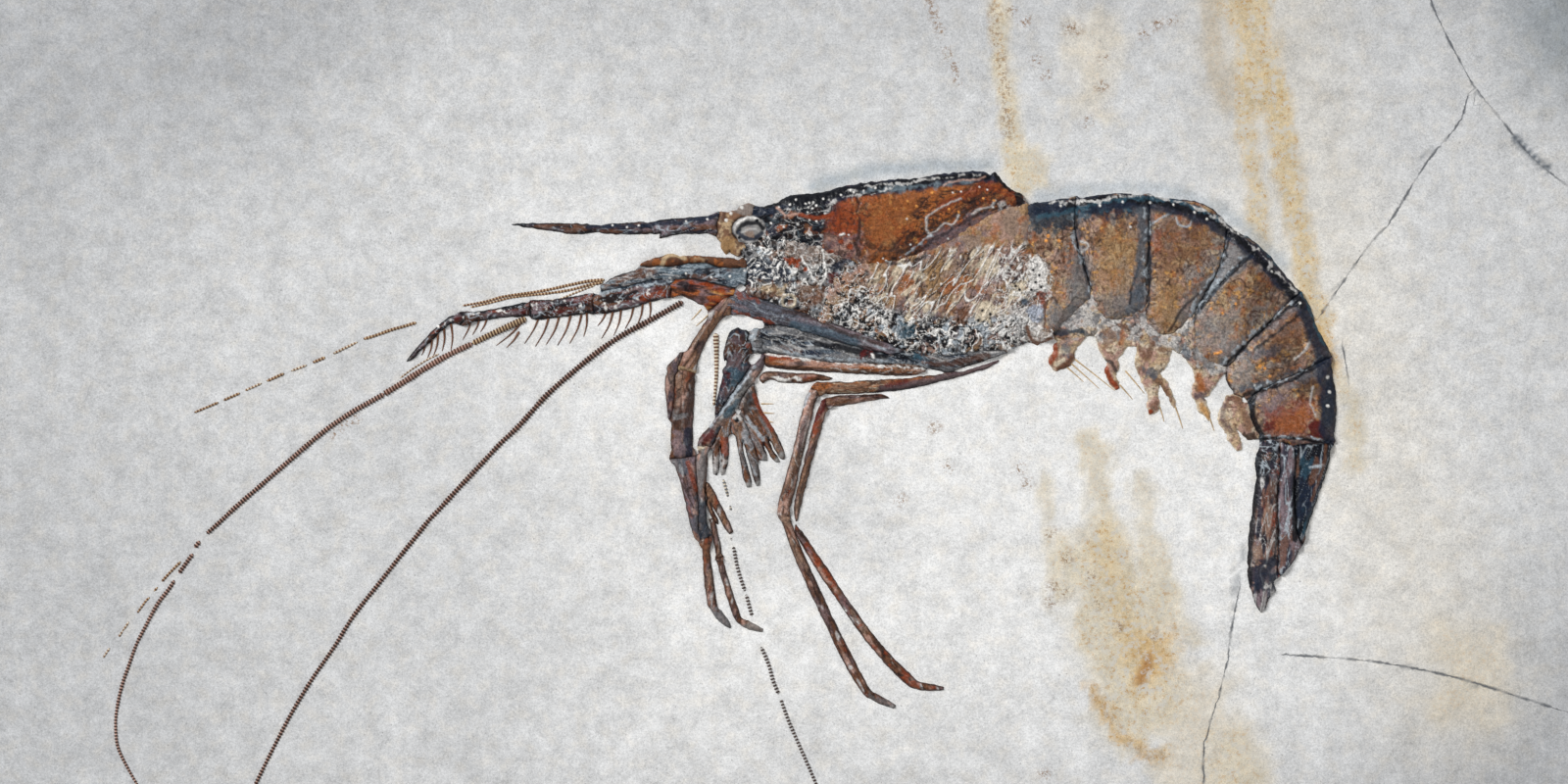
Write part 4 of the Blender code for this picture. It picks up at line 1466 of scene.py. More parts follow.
class StoneGrain(ShaderGroup):
    """Salt and pepper grain, soft clouds and fine cracks of pale limestone."""

    name = "Stone grain"
    inputs = {
        "Place": (VECTOR, None),
        "Paint": (COLOUR, (0.7, 0.7, 0.7, 1)),
        "Crack": (VALUE, 0.0),
        "Near": (VALUE, 0.0),
        "Specks": (VALUE, 0.0),
    }
    outputs = {"Colour": COLOUR, "Roughness": VALUE, "Height": VALUE}
    warm_shade = (1.0, 0.93, 0.82, 1)
    speck_grey = (0.22, 0.21, 0.21, 1)
    bare_stone = (0.66, 0.65, 0.61, 1)
    rust_grain = (0.50, 0.29, 0.10, 1)
    speck_brown = (0.26, 0.14, 0.06, 1)
    crack_shade = (0.10, 0.11, 0.125, 1)

    def build(self, nodes: Nodes, given: bpy.types.Node, result: bpy.types.Node) -> None:
        """Fills the group.

        Args:
            nodes: The group's own tree.
            given: The node with its inputs.
            result: The node that takes its outputs.
        """
        place = given.outputs["Place"]
        clouds = nodes.noise(place, 0.32, 4.0, 0.62)
        grain = nodes.noise(place, 3.4, 3.0, 0.7)
        tiny = nodes.noise(place, 7.0, 1.0, 0.5)
        blots = nodes.noise(place, 1.0, 3.0, 0.6)
        gain = 1.0
        for noise, share in ((clouds, 0.60), (blots, 0.42), (grain, 0.85), (tiny, 0.60)):
            gain = nodes.plus(gain, nodes.times(nodes.less(noise, 0.5), share))
        colour = nodes.dyed(given.outputs["Paint"], nodes.grey(gain))
        warm = nodes.stretch(nodes.noise(place, 0.5, 4.0), 0.45, 0.70, 0.0, 0.36)
        colour = nodes.mix(warm, colour, nodes.dyed(colour, self.warm_shade))
        speck = nodes.stretch(nodes.cells(place, 1.15).outputs["Distance"], 0.17, 0.07)
        chosen = nodes.stretch(nodes.noise(place, 0.55), 0.50, 0.68, 0.0, 0.55)
        parts = nodes.add("ShaderNodeSeparateColor")
        nodes.put(parts.inputs[0], given.outputs["Paint"])
        ochre = nodes.stretch(nodes.less(parts.outputs[0], parts.outputs[2]), 0.06, 0.26)
        bare = nodes.stretch(nodes.noise(place, 0.9, 5.0, 0.7), 0.49, 0.60, 0.0, 0.7)
        rusty = nodes.stretch(nodes.noise(place, 1.7, 6.0, 0.78), 0.545, 0.60, 0.0, 0.8)
        brown = nodes.stretch(nodes.noise(place, 2.3, 4.0, 0.75), 0.50, 0.57, 0.0, 0.9)
        for mask, where, tint in (
            (speck, chosen, self.speck_grey),
            (bare, ochre, self.bare_stone),
            (rusty, ochre, self.rust_grain),
            (brown, given.outputs["Specks"], self.speck_brown),
        ):
            colour = nodes.mix(nodes.times(mask, where), colour, tint)
        wobble = nodes.times(nodes.less(nodes.noise(place, 2.2, 3.0), 0.5), 2.4)
        away = nodes.math("ABSOLUTE", nodes.plus(given.outputs["Crack"], wobble))
        width = nodes.stretch(nodes.noise(place, 0.6, 3.0), 0.35, 0.65, 0.5, 2.1)
        crack = nodes.math("SUBTRACT", 1.0, nodes.math("DIVIDE", away, width), clamp=True)
        crack = nodes.times(nodes.math("POWER", crack, 0.6), given.outputs["Near"])
        faded = nodes.stretch(nodes.noise(place, 0.4, 3.0), 0.38, 0.56, 0.40, 1.0)
        crack = nodes.times(crack, faded)
        nodes.put(result.inputs["Colour"], nodes.mix(crack, colour, self.crack_shade))
        nodes.put(result.inputs["Roughness"], nodes.plus(nodes.times(grain, 0.15), 0.78))
        height = nodes.plus(nodes.times(grain, 0.8), nodes.times(tiny, 0.5))
        nodes.put(result.inputs["Height"], nodes.less(height, nodes.times(crack, 1.5)))


@dataclass
class Slab:
    """The plate of limestone, with broken edges and a flat underside."""

    marks: Sequence[Mark]
    specks: Sequence[Mark]
    cracks: Sequence[tuple[Spot, ...]]
    ground: Tint = Tint.STONE
    columns: int = 370
    rows: int = 206
    side_rows: int = 14
    edge_break: float = 0.0016  # metres, as the next five
    edge_lean: float = 0.0005
    side_rough: float = 0.0011
    swell: float = 0.00006
    ripple: float = 0.00005
    below_top: float = 0.00003
    grain_height: float = 0.00006
    shine: float = 0.25

    def material(self) -> bpy.types.Material:
        """The limestone.

        Returns:
            The material.
        """
        made, nodes, shader = fresh_material("pale limestone")
        given = {key: nodes.carried(key) for key in ("crack", "near", "specks")}
        paint = nodes.carried("paint", "Color")
        grain = StoneGrain().use(nodes, place=nodes.place(), paint=paint, **given)
        nodes.put(shader.inputs["Base Color"], grain.outputs["Colour"])
        nodes.put(shader.inputs["Roughness"], grain.outputs["Roughness"])
        nodes.bump(shader, grain.outputs["Height"], 0.7, self.grain_height)
        shader.inputs["Specular IOR Level"].default_value = self.shine
        return made

    def sides(self, ring: np.ndarray) -> tuple[np.ndarray, ...]:
        """The ring in four sides that meet at its corners, each evenly spaced.

        Args:
            ring: Outline of the plate.

        Returns:
            The four sides.
        """
        centre = ring.mean(axis=0)
        size = np.ptp(ring, axis=0)
        away = (ring - centre) / size
        ways = ((-1, 1), (1, 1), (1, -1), (-1, -1))
        cuts = [int(np.argmax(away @ np.array(way))) for way in ways]
        ring = np.roll(ring, -cuts[0], axis=0)
        cuts = sorted((cut - cuts[0]) % len(ring) for cut in cuts) + [len(ring)]
        ring = np.vstack([ring, ring[:1]])
        sides = []
        for number, (first, last) in enumerate(zip(cuts, cuts[1:])):
            count = self.columns if number % 2 == 0 else self.rows
            sides.append(evenly(ring[first : last + 1], count + 1))
        return tuple(sides)

    def spread(self, ring: np.ndarray) -> np.ndarray:
        """Places that fill the ring in rows and columns, as a Coons patch.

        Args:
            ring: Outline of the plate.

        Returns:
            The places, row by row.
        """
        bottom, right, top, left = self.sides(ring)
        top, left = top[::-1], left[::-1]
        u = np.linspace(0.0, 1.0, self.columns + 1)[None, :, None]
        v = np.linspace(0.0, 1.0, self.rows + 1)[:, None, None]
        ruled = bottom[None] * (1 - v) + top[None] * v + left[:, None] * (1 - u) + right[:, None] * u
        corners = (
            bottom[0] * (1 - u) * (1 - v) + bottom[-1] * u * (1 - v) + top[0] * (1 - u) * v
            + top[-1] * u * v
        )
        return ruled - corners

    def build(self, solid: bpy.types.Object) -> bpy.types.Object:
        """Makes the plate over its solid.

        Args:
            solid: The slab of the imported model.

        Returns:
            The new piece, riding on the model in place of the solid.
        """
        noise = Noise.named("limestone")
        ring = softened(flat_rings(solid)[0], 80.0, 4)
        after = np.roll(ring, -1, axis=0)
        if (ring[:, 0] * after[:, 1] - ring[:, 1] * after[:, 0]).sum() > 0:
            ring = ring[::-1]
        grid = self.spread(ring)
        spots = grid.reshape(-1, 2)
        depth = route_distance(spots, ring[::3], closed=True) * GRID_STEP
        bite = self.edge_break * (0.25 + 1.5 * noise.fractal(spots, 70.0, 2, 3))
        drop = bite * np.clip(1.0 - depth / (bite * 1.6), 0.0, 1.0) ** 1.5
        wave = (noise.fractal(spots, 240.0, 3, 3) - 0.5) * self.swell
        wave += (noise.fractal(spots, 18.0, 4, 2) - 0.5) * self.ripple
        height = STONE_TOP - drop + wave - self.below_top
        points = world(spots, height)
        index = np.arange(len(spots)).reshape(grid.shape[:2])
        quads = np.stack(
            [index[:-1, :-1], index[:-1, 1:], index[1:, 1:], index[1:, :-1]], axis=2
        ).reshape(-1, 4)
        edge = np.concatenate(
            [index[0, :-1], index[:-1, -1], index[-1, :0:-1], index[:0:-1, 0]]
        )
        inward = ring.mean(axis=0) - spots[edge]
        inward /= np.hypot(*inward.T)[:, None]
        walls, faces = [], [quads]
        above = edge
        for row in range(1, self.side_rows + 1):
            share = row / self.side_rows
            level = height[edge] * (1.0 - share)
            travel = np.arange(len(edge)) * 4.0
            place = np.stack([travel, np.full(len(edge), level.mean() / GRID_STEP)], 1)
            place[:, 0] = np.minimum(travel, len(edge) * 4.0 - travel)
            rough = self.side_rough * noise.fractal(place, 42.0, 9, 4)
            rough += self.edge_lean * np.abs(noise.fractal(place * (0.3, 2.0), 26.0, 10, 2) - 0.5)
            rough *= math.sin(math.pi * min(share, 0.97)) ** 0.5
            moved = spots[edge] + inward * rough[:, None] / GRID_STEP
            walls.append(world(moved, level))
            below = len(spots) + (row - 1) * len(edge) + np.arange(len(edge))
            faces.append(np.stack([above, below, np.roll(below, -1), np.roll(above, -1)], axis=1))
            above = below
        faces.append(above[::-1])
        points = np.vstack([points, *walls])
        where = np.vstack([spots, *([spots[edge]] * self.side_rows)])
        paint, specks, crack, near = self.stained(where, noise)
        made = mesh_piece(
            "limestone_plate", points, faces, paint,
            {"specks": specks, "crack": crack, "near": near}, self.material(),
        )
        return seated(made, "limestone", "limestone_slab")

    def stained(self, spots: np.ndarray, noise: Noise) -> tuple[np.ndarray, ...]:
        """Colour, brown specks, and the distance to a crack and its nearness at each place; the colour takes
        in painted light, shade and shadows as well as stains.

        Args:
            spots: Places on the drawing grid.
            noise: Makes the edges uneven.

        Returns:
            The four values at each place, in that order.
        """
        paint = np.tile(self.ground.linear, (len(spots), 1))
        for mark in self.marks:
            cover = mark.cover(spots, noise)
            paint += (mark.tint.linear - paint) * cover[:, None]
        paint *= (0.94 + 0.12 * noise.fractal(spots, 60.0, 21, 4))[:, None]
        specks = np.zeros(len(spots))
        for mark in self.specks:
            specks = np.maximum(specks, mark.cover(spots, noise))
        crack = np.full(len(spots), 50.0)
        for route in self.cracks:
            curve = flowing(route, 12.0)
            away = route_distance(spots, curve)
            nearest = np.argmin(
                ((spots[:, None, :] - curve[None, ::4]) ** 2).sum(axis=2), axis=1
            ) * 4
            tangent = np.gradient(curve, axis=0)[nearest]
            offset = spots - curve[nearest]
            side = np.sign(tangent[:, 0] * offset[:, 1] - tangent[:, 1] * offset[:, 0])
            closer = away < np.abs(crack)
            crack[closer] = (away * np.where(side == 0, 1, side))[closer]
        near = ramp(11.0, 6.0, np.abs(crack))
        return paint, specks, crack, near


@dataclass(frozen=True)
class Lamp:
    """A square soft light."""

    name: str
    spot: tuple[float, float, float]
    size: float
    power: float
    colour: tuple[float, float, float] = (1.0, 1.0, 1.0)

    def build(self, target: tuple[float, float, float]) -> bpy.types.Object:
        """Makes the lamp, aimed at a target.

        Args:
            target: Where it is aimed, in metres.

        Returns:
            The lamp.
        """
        data = bpy.data.lights.new(self.name, "AREA")
        data.size = self.size
        data.energy = self.power
        data.color = self.colour
        lamp = bpy.data.objects.new(self.name, data)
        lamp.location = self.spot
        aim = np.array(target) - np.array(self.spot)
        lamp.rotation_euler = (
            math.atan2(math.hypot(aim[0], aim[1]), -aim[2]), 0.0, math.atan2(-aim[0], aim[1])
        )
        bpy.context.scene.collection.objects.link(lamp)
        return lamp


@dataclass
class Studio:
    """A plain pale floor, soft light and a camera straight above."""

    lens: float = 100.0
    sensor: float = 36.0
    view_width: float = 0.208
    sky: float = 0.2
    floor_reach: float = 1.6
    floor_gap: float = 0.0002
    floor_tint: tuple[float, float, float, float] = (0.62, 0.61, 0.60, 1.0)
    lamps: Sequence[Lamp] = (
        Lamp("key", (-0.85, 0.62, 0.80), 0.40, 17.0),
        Lamp("fill", (1.0, -0.35, 0.75), 0.8, 5.0),
    )

    def build(self) -> None:
        """Makes the floor, the light and the camera."""
        self.floor()
        for lamp in self.lamps:
            lamp.build((0.0, 0.0, STONE_TOP))
        scene = bpy.context.scene
        surround = bpy.data.worlds.new("soft room")
        surround.use_nodes = True
        sky = surround.node_tree.nodes["Background"].inputs["Color"]
        sky.default_value = (self.sky, self.sky, self.sky, 1.0)
        scene.world = surround
        scene.view_settings.view_transform = "Standard"
        scene.view_settings.look = "None"
        lens = bpy.data.cameras.new("camera")
        lens.lens = self.lens
        lens.sensor_width = self.sensor
        lens.clip_start = 0.01
        camera = bpy.data.objects.new("camera", lens)
        camera.location = (0.0, 0.0, STONE_TOP + self.view_width * self.lens / self.sensor)
        scene.collection.objects.link(camera)
        scene.camera = camera

    def floor(self) -> bpy.types.Object:
        """The pale floor that the plate lies on.

        Returns:
            The floor, kept out of the part.
        """
        mesh = bpy.data.meshes.new("floor")
        corners = [
            (x * self.floor_reach, y * self.floor_reach, -self.floor_gap)
            for x, y in ((-1, -1), (1, -1), (1, 1), (-1, 1))
        ]
        mesh.from_pydata(corners, [], [(0, 1, 2, 3)])
        paint, _, shader = fresh_material("pale floor")
        shader.inputs["Base Color"].default_value = self.floor_tint
        shader.inputs["Roughness"].default_value = 0.8
        mesh.materials.append(paint)
        floor = bpy.data.objects.new("floor", mesh)
        bpy.context.scene.collection.objects.link(floor)
        return floor


SHELL = Skin("amber shell", "rust_shell", dull=0.42, contrast=0.5, pits=0.4, crystals=0.1)
TAUPE_SHELL = Skin("taupe shell", "taupe_shell", dull=0.42, contrast=0.58, pits=0.4, crystals=0.16)
CRUMPLED = Skin("crumpled shell", "cream_shell", dull=0.42, contrast=0.5, pits=0.4, crystals=0.25)
SLATE_SHELL = Skin("slate shell", "slate_shell", dull=0.42, contrast=0.55, pits=0.4, crystals=0.25)
TAN_SHELL = Skin("tan shell", "tan_shell", dull=0.45, contrast=0.32, pits=0.15, crystals=0.1)
LEG_SHELL = Skin("leg shell", "leg_shell", dull=0.46, contrast=0.58, pits=0.4, crystals=0.34)
BEADS = Skin("feeler beads", "feeler_shell", dull=0.55, contrast=0.25, pits=0.1, crystals=0.0, crazing=0.0)

LIMB = Relief(rim=0.42, crown=0.18, reach=0.7, spread=0.03, crumple=0.06, crumple_size=6.0, ragged=0.8)
SMALL_LIMB = Relief(rim=0.36, crown=0.1, reach=0.4, spread=0.03, crumple=0.03, crumple_size=5.0)
HEAD = Relief(rim=0.55, crown=0.85, reach=3.0, spread=0.16, crumple=0.09, crumple_size=9.0, ragged=1.2)
FLANK = Relief(rim=0.5, crown=0.55, reach=2.4, spread=0.16, crumple=0.16, crumple_size=6.5, ragged=1.6)
RING = Relief(rim=0.5, crown=0.6, reach=2.2, spread=0.16, crumple=0.07, crumple_size=9.0, ragged=1.0)
FLAP = Relief(rim=0.24, crown=0.12, reach=1.0, spread=0.03, crumple=0.06, crumple_size=5.0, ragged=1.8)

THREAD, PEBBLE = Pattern.THREAD, Pattern.PEBBLE

OUTLINES: dict[str, tuple[Spot, ...]] = {
    "gill_region": (
        (889, 270), (906, 270), (926, 264), (942, 259), (958, 253), (974, 245), (990, 234), (1005, 224),
        (1021, 216), (1030, 212), (1046, 213), (1048, 222), (1047, 235), (1049, 250), (1054, 256),
        (1062, 263), (1069, 274), (1074, 287), (1076, 297), (1068, 303), (1065, 316), (1066, 333),
        (1071, 340), (1071, 344), (1065, 349), (1056, 351), (1048, 348), (1043, 351), (1034, 355),
        (1024, 357), (1014, 356), (1000, 356), (986, 358), (974, 361), (958, 361), (946, 361), (936, 356),
        (924, 355), (914, 356), (913, 350), (900, 346), (885, 340), (870, 333), (852, 328), (840, 325),
        (842, 312), (846, 300), (853, 288), (862, 280), (874, 274),
    ),
    "arm_1": (
        (750, 299), (756, 301), (765, 304), (775, 307), (785, 310), (795, 313), (805, 316), (815, 319),
        (825, 321), (835, 324), (842, 328), (850, 332), (858, 336), (868, 339), (878, 343), (888, 347),
        (900, 351), (912, 354), (920, 357), (912, 359), (900, 360), (888, 357), (876, 354), (862, 350),
        (848, 346), (835, 342), (822, 338), (810, 333), (798, 330), (788, 330), (776, 327), (765, 324),
        (755, 320), (746, 317), (742, 310),
    ),
    "arm_2": (
        (767, 337), (772, 334), (777, 336), (782, 332), (790, 333), (800, 334), (812, 336), (822, 339),
        (832, 342), (842, 345), (852, 348), (862, 351), (874, 354), (886, 358), (900, 361), (915, 361),
        (926, 358), (936, 359), (944, 363), (956, 364), (972, 364), (986, 361), (1000, 359), (1014, 359),
        (1024, 359), (1015, 364), (1004, 368), (996, 371), (986, 374), (975, 377), (962, 379), (950, 377),
        (944, 374), (930, 371), (915, 370), (900, 371), (888, 369), (874, 369), (860, 370), (845, 369),
        (830, 367), (815, 364), (800, 362), (788, 360), (778, 359), (772, 360), (767, 357), (768, 350),
        (764, 346), (766, 341),
    ),
    "arm_3": (
        (780, 366), (781, 362), (785, 361), (795, 362), (808, 364), (822, 366), (838, 369), (855, 371),
        (870, 372), (888, 372), (900, 373), (915, 372), (930, 373), (942, 375), (944, 379), (938, 382),
        (925, 383), (905, 383), (890, 382), (870, 381), (850, 380), (835, 379), (820, 378), (805, 377),
        (792, 376), (783, 374), (780, 371),
    ),
    "arm_4": (
        (778, 381), (782, 379), (790, 379), (800, 380), (812, 381), (825, 381), (838, 382), (850, 386),
        (845, 388), (832, 388), (820, 391), (808, 391), (795, 390), (788, 387), (781, 388), (779, 391),
        (776, 389), (775, 385),
    ),
    "leg_4_thigh": (
        (831, 391), (836, 390), (850, 390), (870, 390), (890, 388), (910, 387), (926, 386), (940, 384),
        (955, 383), (970, 381), (985, 379), (1000, 374), (1012, 370), (1019, 367), (1018, 370), (1005, 377),
        (990, 381), (978, 385), (962, 388), (948, 392), (932, 396), (915, 398), (900, 400), (880, 401),
        (860, 402), (845, 402), (836, 402), (832, 400), (829, 396),
    ),
    "leg_5_thigh": (
        (845, 406), (855, 404), (870, 403), (885, 403), (898, 402), (904, 404), (907, 406), (898, 407),
        (886, 409), (875, 411), (862, 413), (852, 415), (844, 415), (842, 410),
    ),
    "leg_2_thigh": (
        (776, 365), (770, 372), (764, 380), (757, 390), (750, 400), (744, 408), (738, 417), (732, 426),
        (724, 435), (716, 444), (713, 449), (714, 453), (720, 454), (727, 453), (730, 447), (734, 440),
        (741, 430), (746, 422), (751, 415), (756, 407), (761, 399), (766, 392), (771, 386), (776, 380),
        (780, 373), (781, 367), (780, 364),
    ),
    "claw_palm": (
        (749, 336), (753, 334), (757, 337), (761, 337), (763, 343), (761, 348), (765, 350), (767, 357),
        (765, 363), (763, 370), (762, 377), (758, 383), (752, 391), (746, 400), (741, 407), (736, 414),
        (732, 421), (730, 419), (731, 411), (733, 402), (736, 392), (738, 382), (738, 376), (742, 372),
        (741, 366), (739, 369), (738, 360), (740, 352), (743, 344), (745, 338),
    ),
    "claw_1": (
        (736, 432), (742, 425), (745, 425), (744, 432), (743, 440), (743, 450), (744, 460), (743, 470),
        (741, 478), (739, 484), (736, 485), (735, 480), (736, 470), (736, 460), (735, 453), (734, 462),
        (734, 472), (733, 480), (731, 485), (728, 484), (727, 476), (727, 466), (728, 456), (730, 448),
        (733, 440),
    ),
    "claw_2": (
        (747, 428), (751, 424), (756, 426), (759, 432), (763, 441), (766, 450), (769, 459), (771, 468),
        (774, 477), (776, 487), (775, 495), (772, 496), (769, 489), (767, 480), (764, 470), (761, 460),
        (758, 450), (757, 456), (759, 464), (762, 473), (764, 482), (767, 490), (766, 497), (762, 497),
        (759, 489), (757, 479), (755, 468), (753, 457), (751, 446), (748, 437),
    ),
    "claw_3": (
        (760, 402), (764, 396), (768, 394), (771, 399), (773, 407), (776, 416), (781, 424), (786, 432),
        (791, 441), (796, 450), (799, 458), (801, 465), (800, 469), (796, 468), (792, 461), (788, 453),
        (784, 446), (786, 454), (790, 462), (795, 468), (796, 471), (792, 472), (787, 467), (783, 460),
        (779, 452), (780, 458), (783, 465), (783, 470), (779, 470), (775, 463), (771, 454), (767, 445),
        (763, 436), (760, 428), (757, 420), (756, 412), (757, 406),
    ),
    "maxilliped_hand": (
        (473, 321), (490, 318), (505, 315), (520, 312), (534, 309), (541, 309), (542, 322), (530, 323),
        (515, 324), (500, 326), (486, 328), (473, 330),
    ),
    "maxilliped_shank": (
        (541, 307), (548, 306), (556, 307), (570, 305), (585, 303), (598, 300), (605, 300), (606, 319),
        (592, 321), (578, 323), (562, 325), (550, 327), (542, 325),
    ),
    "leg_2_foot": (
        (716, 549), (717, 565), (718, 580), (719, 595), (721, 610), (722, 618), (725, 621), (727, 626),
        (732, 632), (739, 638), (745, 641), (746, 638), (742, 631), (737, 625), (732, 620), (731, 615),
        (729, 600), (727, 585), (725, 570), (724, 555), (723, 548), (719, 546),
    ),
    "leg_3_shin": (
        (724, 530), (726, 542), (729, 555), (731, 569), (737, 568), (735, 555), (732, 542), (729, 529),
    ),
    "leg_3_foot": (
        (731, 570), (734, 582), (738, 596), (743, 613), (749, 630), (752, 635), (759, 640), (768, 644),
        (778, 645), (779, 642), (770, 637), (762, 633), (756, 631), (754, 624), (749, 610), (744, 594),
        (740, 580), (737, 569),
    ),
    "leg_3_finger": (
        (720, 492), (724, 493), (731, 506), (738, 520), (744, 532), (748, 543), (745, 545), (741, 541),
        (735, 530), (729, 520), (725, 513), (727, 520), (733, 531), (733, 535), (729, 533), (724, 523),
        (720, 512), (722, 508), (719, 499),
    ),
    "leg_4_shin": (
        (820, 413), (816, 430), (812, 448), (808, 465), (803, 484), (798, 501), (794, 514), (793, 524),
        (798, 528), (805, 526), (807, 516), (811, 500), (814, 485), (818, 468), (822, 450), (827, 431),
        (831, 412), (835, 401), (834, 396), (828, 398), (823, 404),
    ),
    "leg_4_foot": (
        (795, 527), (801, 540), (806, 556), (812, 572), (820, 590), (828, 607), (835, 622), (842, 636),
        (849, 651), (857, 668), (866, 685), (875, 700), (883, 711), (888, 713), (900, 719), (912, 723),
        (914, 720), (905, 714), (894, 708), (889, 706), (884, 697), (876, 683), (869, 669), (862, 655),
        (855, 641), (848, 627), (842, 613), (836, 600), (829, 585), (822, 570), (816, 556), (811, 543),
        (806, 530), (802, 523), (797, 522),
    ),
    "leg_5_shin": (
        (834, 420), (829, 437), (825, 454), (821, 470), (817, 487), (813, 502), (810, 517), (812, 532),
        (814, 531), (816, 520), (820, 503), (824, 488), (828, 472), (833, 455), (837, 440), (841, 425),
        (845, 413), (842, 409), (838, 411),
    ),
    "leg_5_foot": (
        (812, 535), (820, 545), (828, 557), (837, 570), (846, 583), (855, 597), (864, 611), (873, 623),
        (882, 636), (892, 649), (903, 662), (914, 674), (925, 684), (933, 692), (937, 696), (950, 698),
        (963, 701), (963, 704), (950, 705), (938, 704), (930, 702), (924, 697), (914, 688), (903, 677),
        (892, 664), (882, 652), (872, 638), (862, 624), (853, 610), (844, 597), (835, 584), (827, 571),
        (820, 559), (814, 549), (811, 541),
    ),
    "pleopod_1": (
        (1066, 326), (1078, 326), (1090, 322), (1099, 315), (1107, 306), (1113, 296), (1120, 308),
        (1126, 318), (1120, 337), (1112, 343), (1104, 346), (1102, 353), (1096, 358), (1097, 366),
        (1092, 373), (1084, 377), (1076, 378), (1069, 372), (1070, 364), (1076, 358), (1074, 352),
        (1079, 347), (1073, 343), (1072, 338),
    ),
    "pleopod_2": (
        (1120, 320), (1132, 324), (1142, 326), (1154, 322), (1164, 312), (1168, 326), (1164, 340),
        (1153, 345), (1151, 354), (1146, 361), (1140, 366), (1143, 372), (1141, 380), (1137, 384),
        (1142, 391), (1143, 396), (1139, 398), (1133, 392), (1128, 384), (1127, 376), (1130, 369),
        (1126, 365), (1121, 357), (1119, 346), (1120, 338),
    ),
    "pleopod_3": (
        (1158, 326), (1165, 312), (1172, 324), (1178, 334), (1186, 341), (1196, 342), (1208, 334),
        (1214, 326), (1218, 340), (1214, 352), (1206, 358), (1196, 356), (1194, 364), (1190, 373),
        (1184, 381), (1190, 388), (1196, 398), (1200, 412), (1198, 416), (1194, 409), (1188, 398),
        (1182, 392), (1181, 404), (1184, 416), (1180, 421), (1173, 423), (1169, 414), (1172, 404),
        (1168, 395), (1163, 386), (1160, 378), (1158, 368), (1160, 356), (1156, 348), (1155, 338),
    ),
    "pleopod_4": (
        (1202, 350), (1208, 336), (1216, 326), (1222, 340), (1228, 358), (1238, 368), (1250, 372),
        (1252, 380), (1244, 388), (1239, 395), (1235, 402), (1228, 407), (1233, 414), (1236, 424),
        (1234, 430), (1229, 424), (1222, 420), (1220, 410), (1216, 403), (1218, 394), (1220, 382),
        (1218, 376), (1212, 369), (1206, 360), (1204, 352),
    ),
    "pleopod_5": (
        (1252, 403), (1260, 404), (1268, 409), (1273, 413), (1275, 424), (1278, 434), (1284, 444),
        (1281, 448), (1271, 448), (1266, 441), (1262, 437), (1264, 446), (1268, 458), (1262, 460),
        (1255, 452), (1250, 440), (1244, 432), (1243, 422), (1248, 412),
    ),
}

BACK = (
    line(
        Tint.NAVY, 7.0, (1050, 214), (1096, 211), (1130, 207), (1165, 206), (1200, 212), (1235, 226),
        (1262, 244), (1288, 266), (1312, 292), (1330, 310), (1340, 336), (1349, 362), (1355, 400),
        (1354, 446), soft=4.0, ragged=5.0, strength=0.92,
    ),
    line(
        Tint.INK, 3.4, (1092, 208), (1140, 203), (1190, 208), (1232, 222), (1258, 240), (1284, 264),
        (1308, 290), (1328, 312), soft=2.5, ragged=2.5, strength=0.9, broken=0.3,
    ),
    line(
        Tint.TEAL, 2.0, (1060, 222), (1100, 214), (1150, 202), (1200, 205), (1240, 222), (1270, 236),
        (1296, 260), (1322, 288), (1338, 318), (1350, 350), ragged=2.0, strength=0.8, lift=0.05, broken=0.5,
    ),
    # Painted highlights: a broken pale line and glints along the dark back.
    line(
        Tint.PEARL, 0.5, (1060, 208), (1110, 206), (1160, 199), (1200, 204), (1236, 220), (1262, 238),
        (1290, 264), (1322, 298), ragged=3.0, strength=0.9, lift=0.06, broken=0.6,
    ),
    *glints(
        (1252, 232), (1197, 209), (1104, 206), (1132, 203), (1263, 238), (1284, 254), (1153, 232),
        (1173, 207), (1326, 309), (1218, 217), (1231, 224), (1297, 277), (1122, 210), (1145, 206),
        (1082, 210), radius=0.9,
    ),
)


def joint(*spots: Spot, width: float = 3.0, light: float = 3.5) -> tuple[Mark, ...]:
    """A dark crease between two rings, with a raised pale line beside it that is a painted highlight.

    Args:
        spots: Route of the crease.
        width: Half of its breadth in grid steps.
        light: How far to the left the painted highlight is.

    Returns:
        The three marks.
    """
    beside = tuple((x - light, y - light * 0.5) for x, y in spots)
    return (
        line(Tint.SLATE, width, *spots, soft=4, ragged=4.5, strength=0.48, broken=0.35),
        line(Tint.INK, width * 0.3, *spots, soft=1.2, ragged=2.4, strength=0.95, lift=-0.14),
        line(Tint.HAZE, 0.4, *beside, ragged=3.6, strength=0.85, lift=0.08, broken=0.6),
    )


JOINTS = (
    *joint((1099, 214), (1098, 243), (1106, 270), (1113, 299), (1110, 318)),
    line(Tint.PEARL, 0.6, (1102, 246), (1110, 252), (1104, 258), ragged=1.5, strength=0.85, lift=0.08),
    line(
        Tint.SLATE, 4.5, (1164, 208), (1165, 240), (1163, 275), (1160, 305), soft=4, ragged=3, strength=0.7,
        broken=0.3,
    ),
    *joint((1173, 207), (1173, 242), (1171, 272), (1173, 303), (1166, 324), width=2.4),
    *joint((1253, 240), (1248, 266), (1233, 294), (1220, 318), (1217, 345), width=2.6),
    *joint((1278, 260), (1257, 279), (1241, 294), (1226, 314), width=3.0),
    *joint((1327, 306), (1306, 321), (1290, 334), (1271, 352), (1254, 369), (1246, 378), width=4.2),
    line(
        Tint.INK, 1.0, (1334, 314), (1314, 330), (1294, 345), (1276, 360), ragged=2.0, strength=0.85,
        broken=0.3,
    ),
    *joint((1352, 368), (1332, 380), (1309, 391), (1286, 399), (1276, 410), width=4.2),
    *joint((1288, 449), (1318, 447), (1358, 452), width=3.4),
)


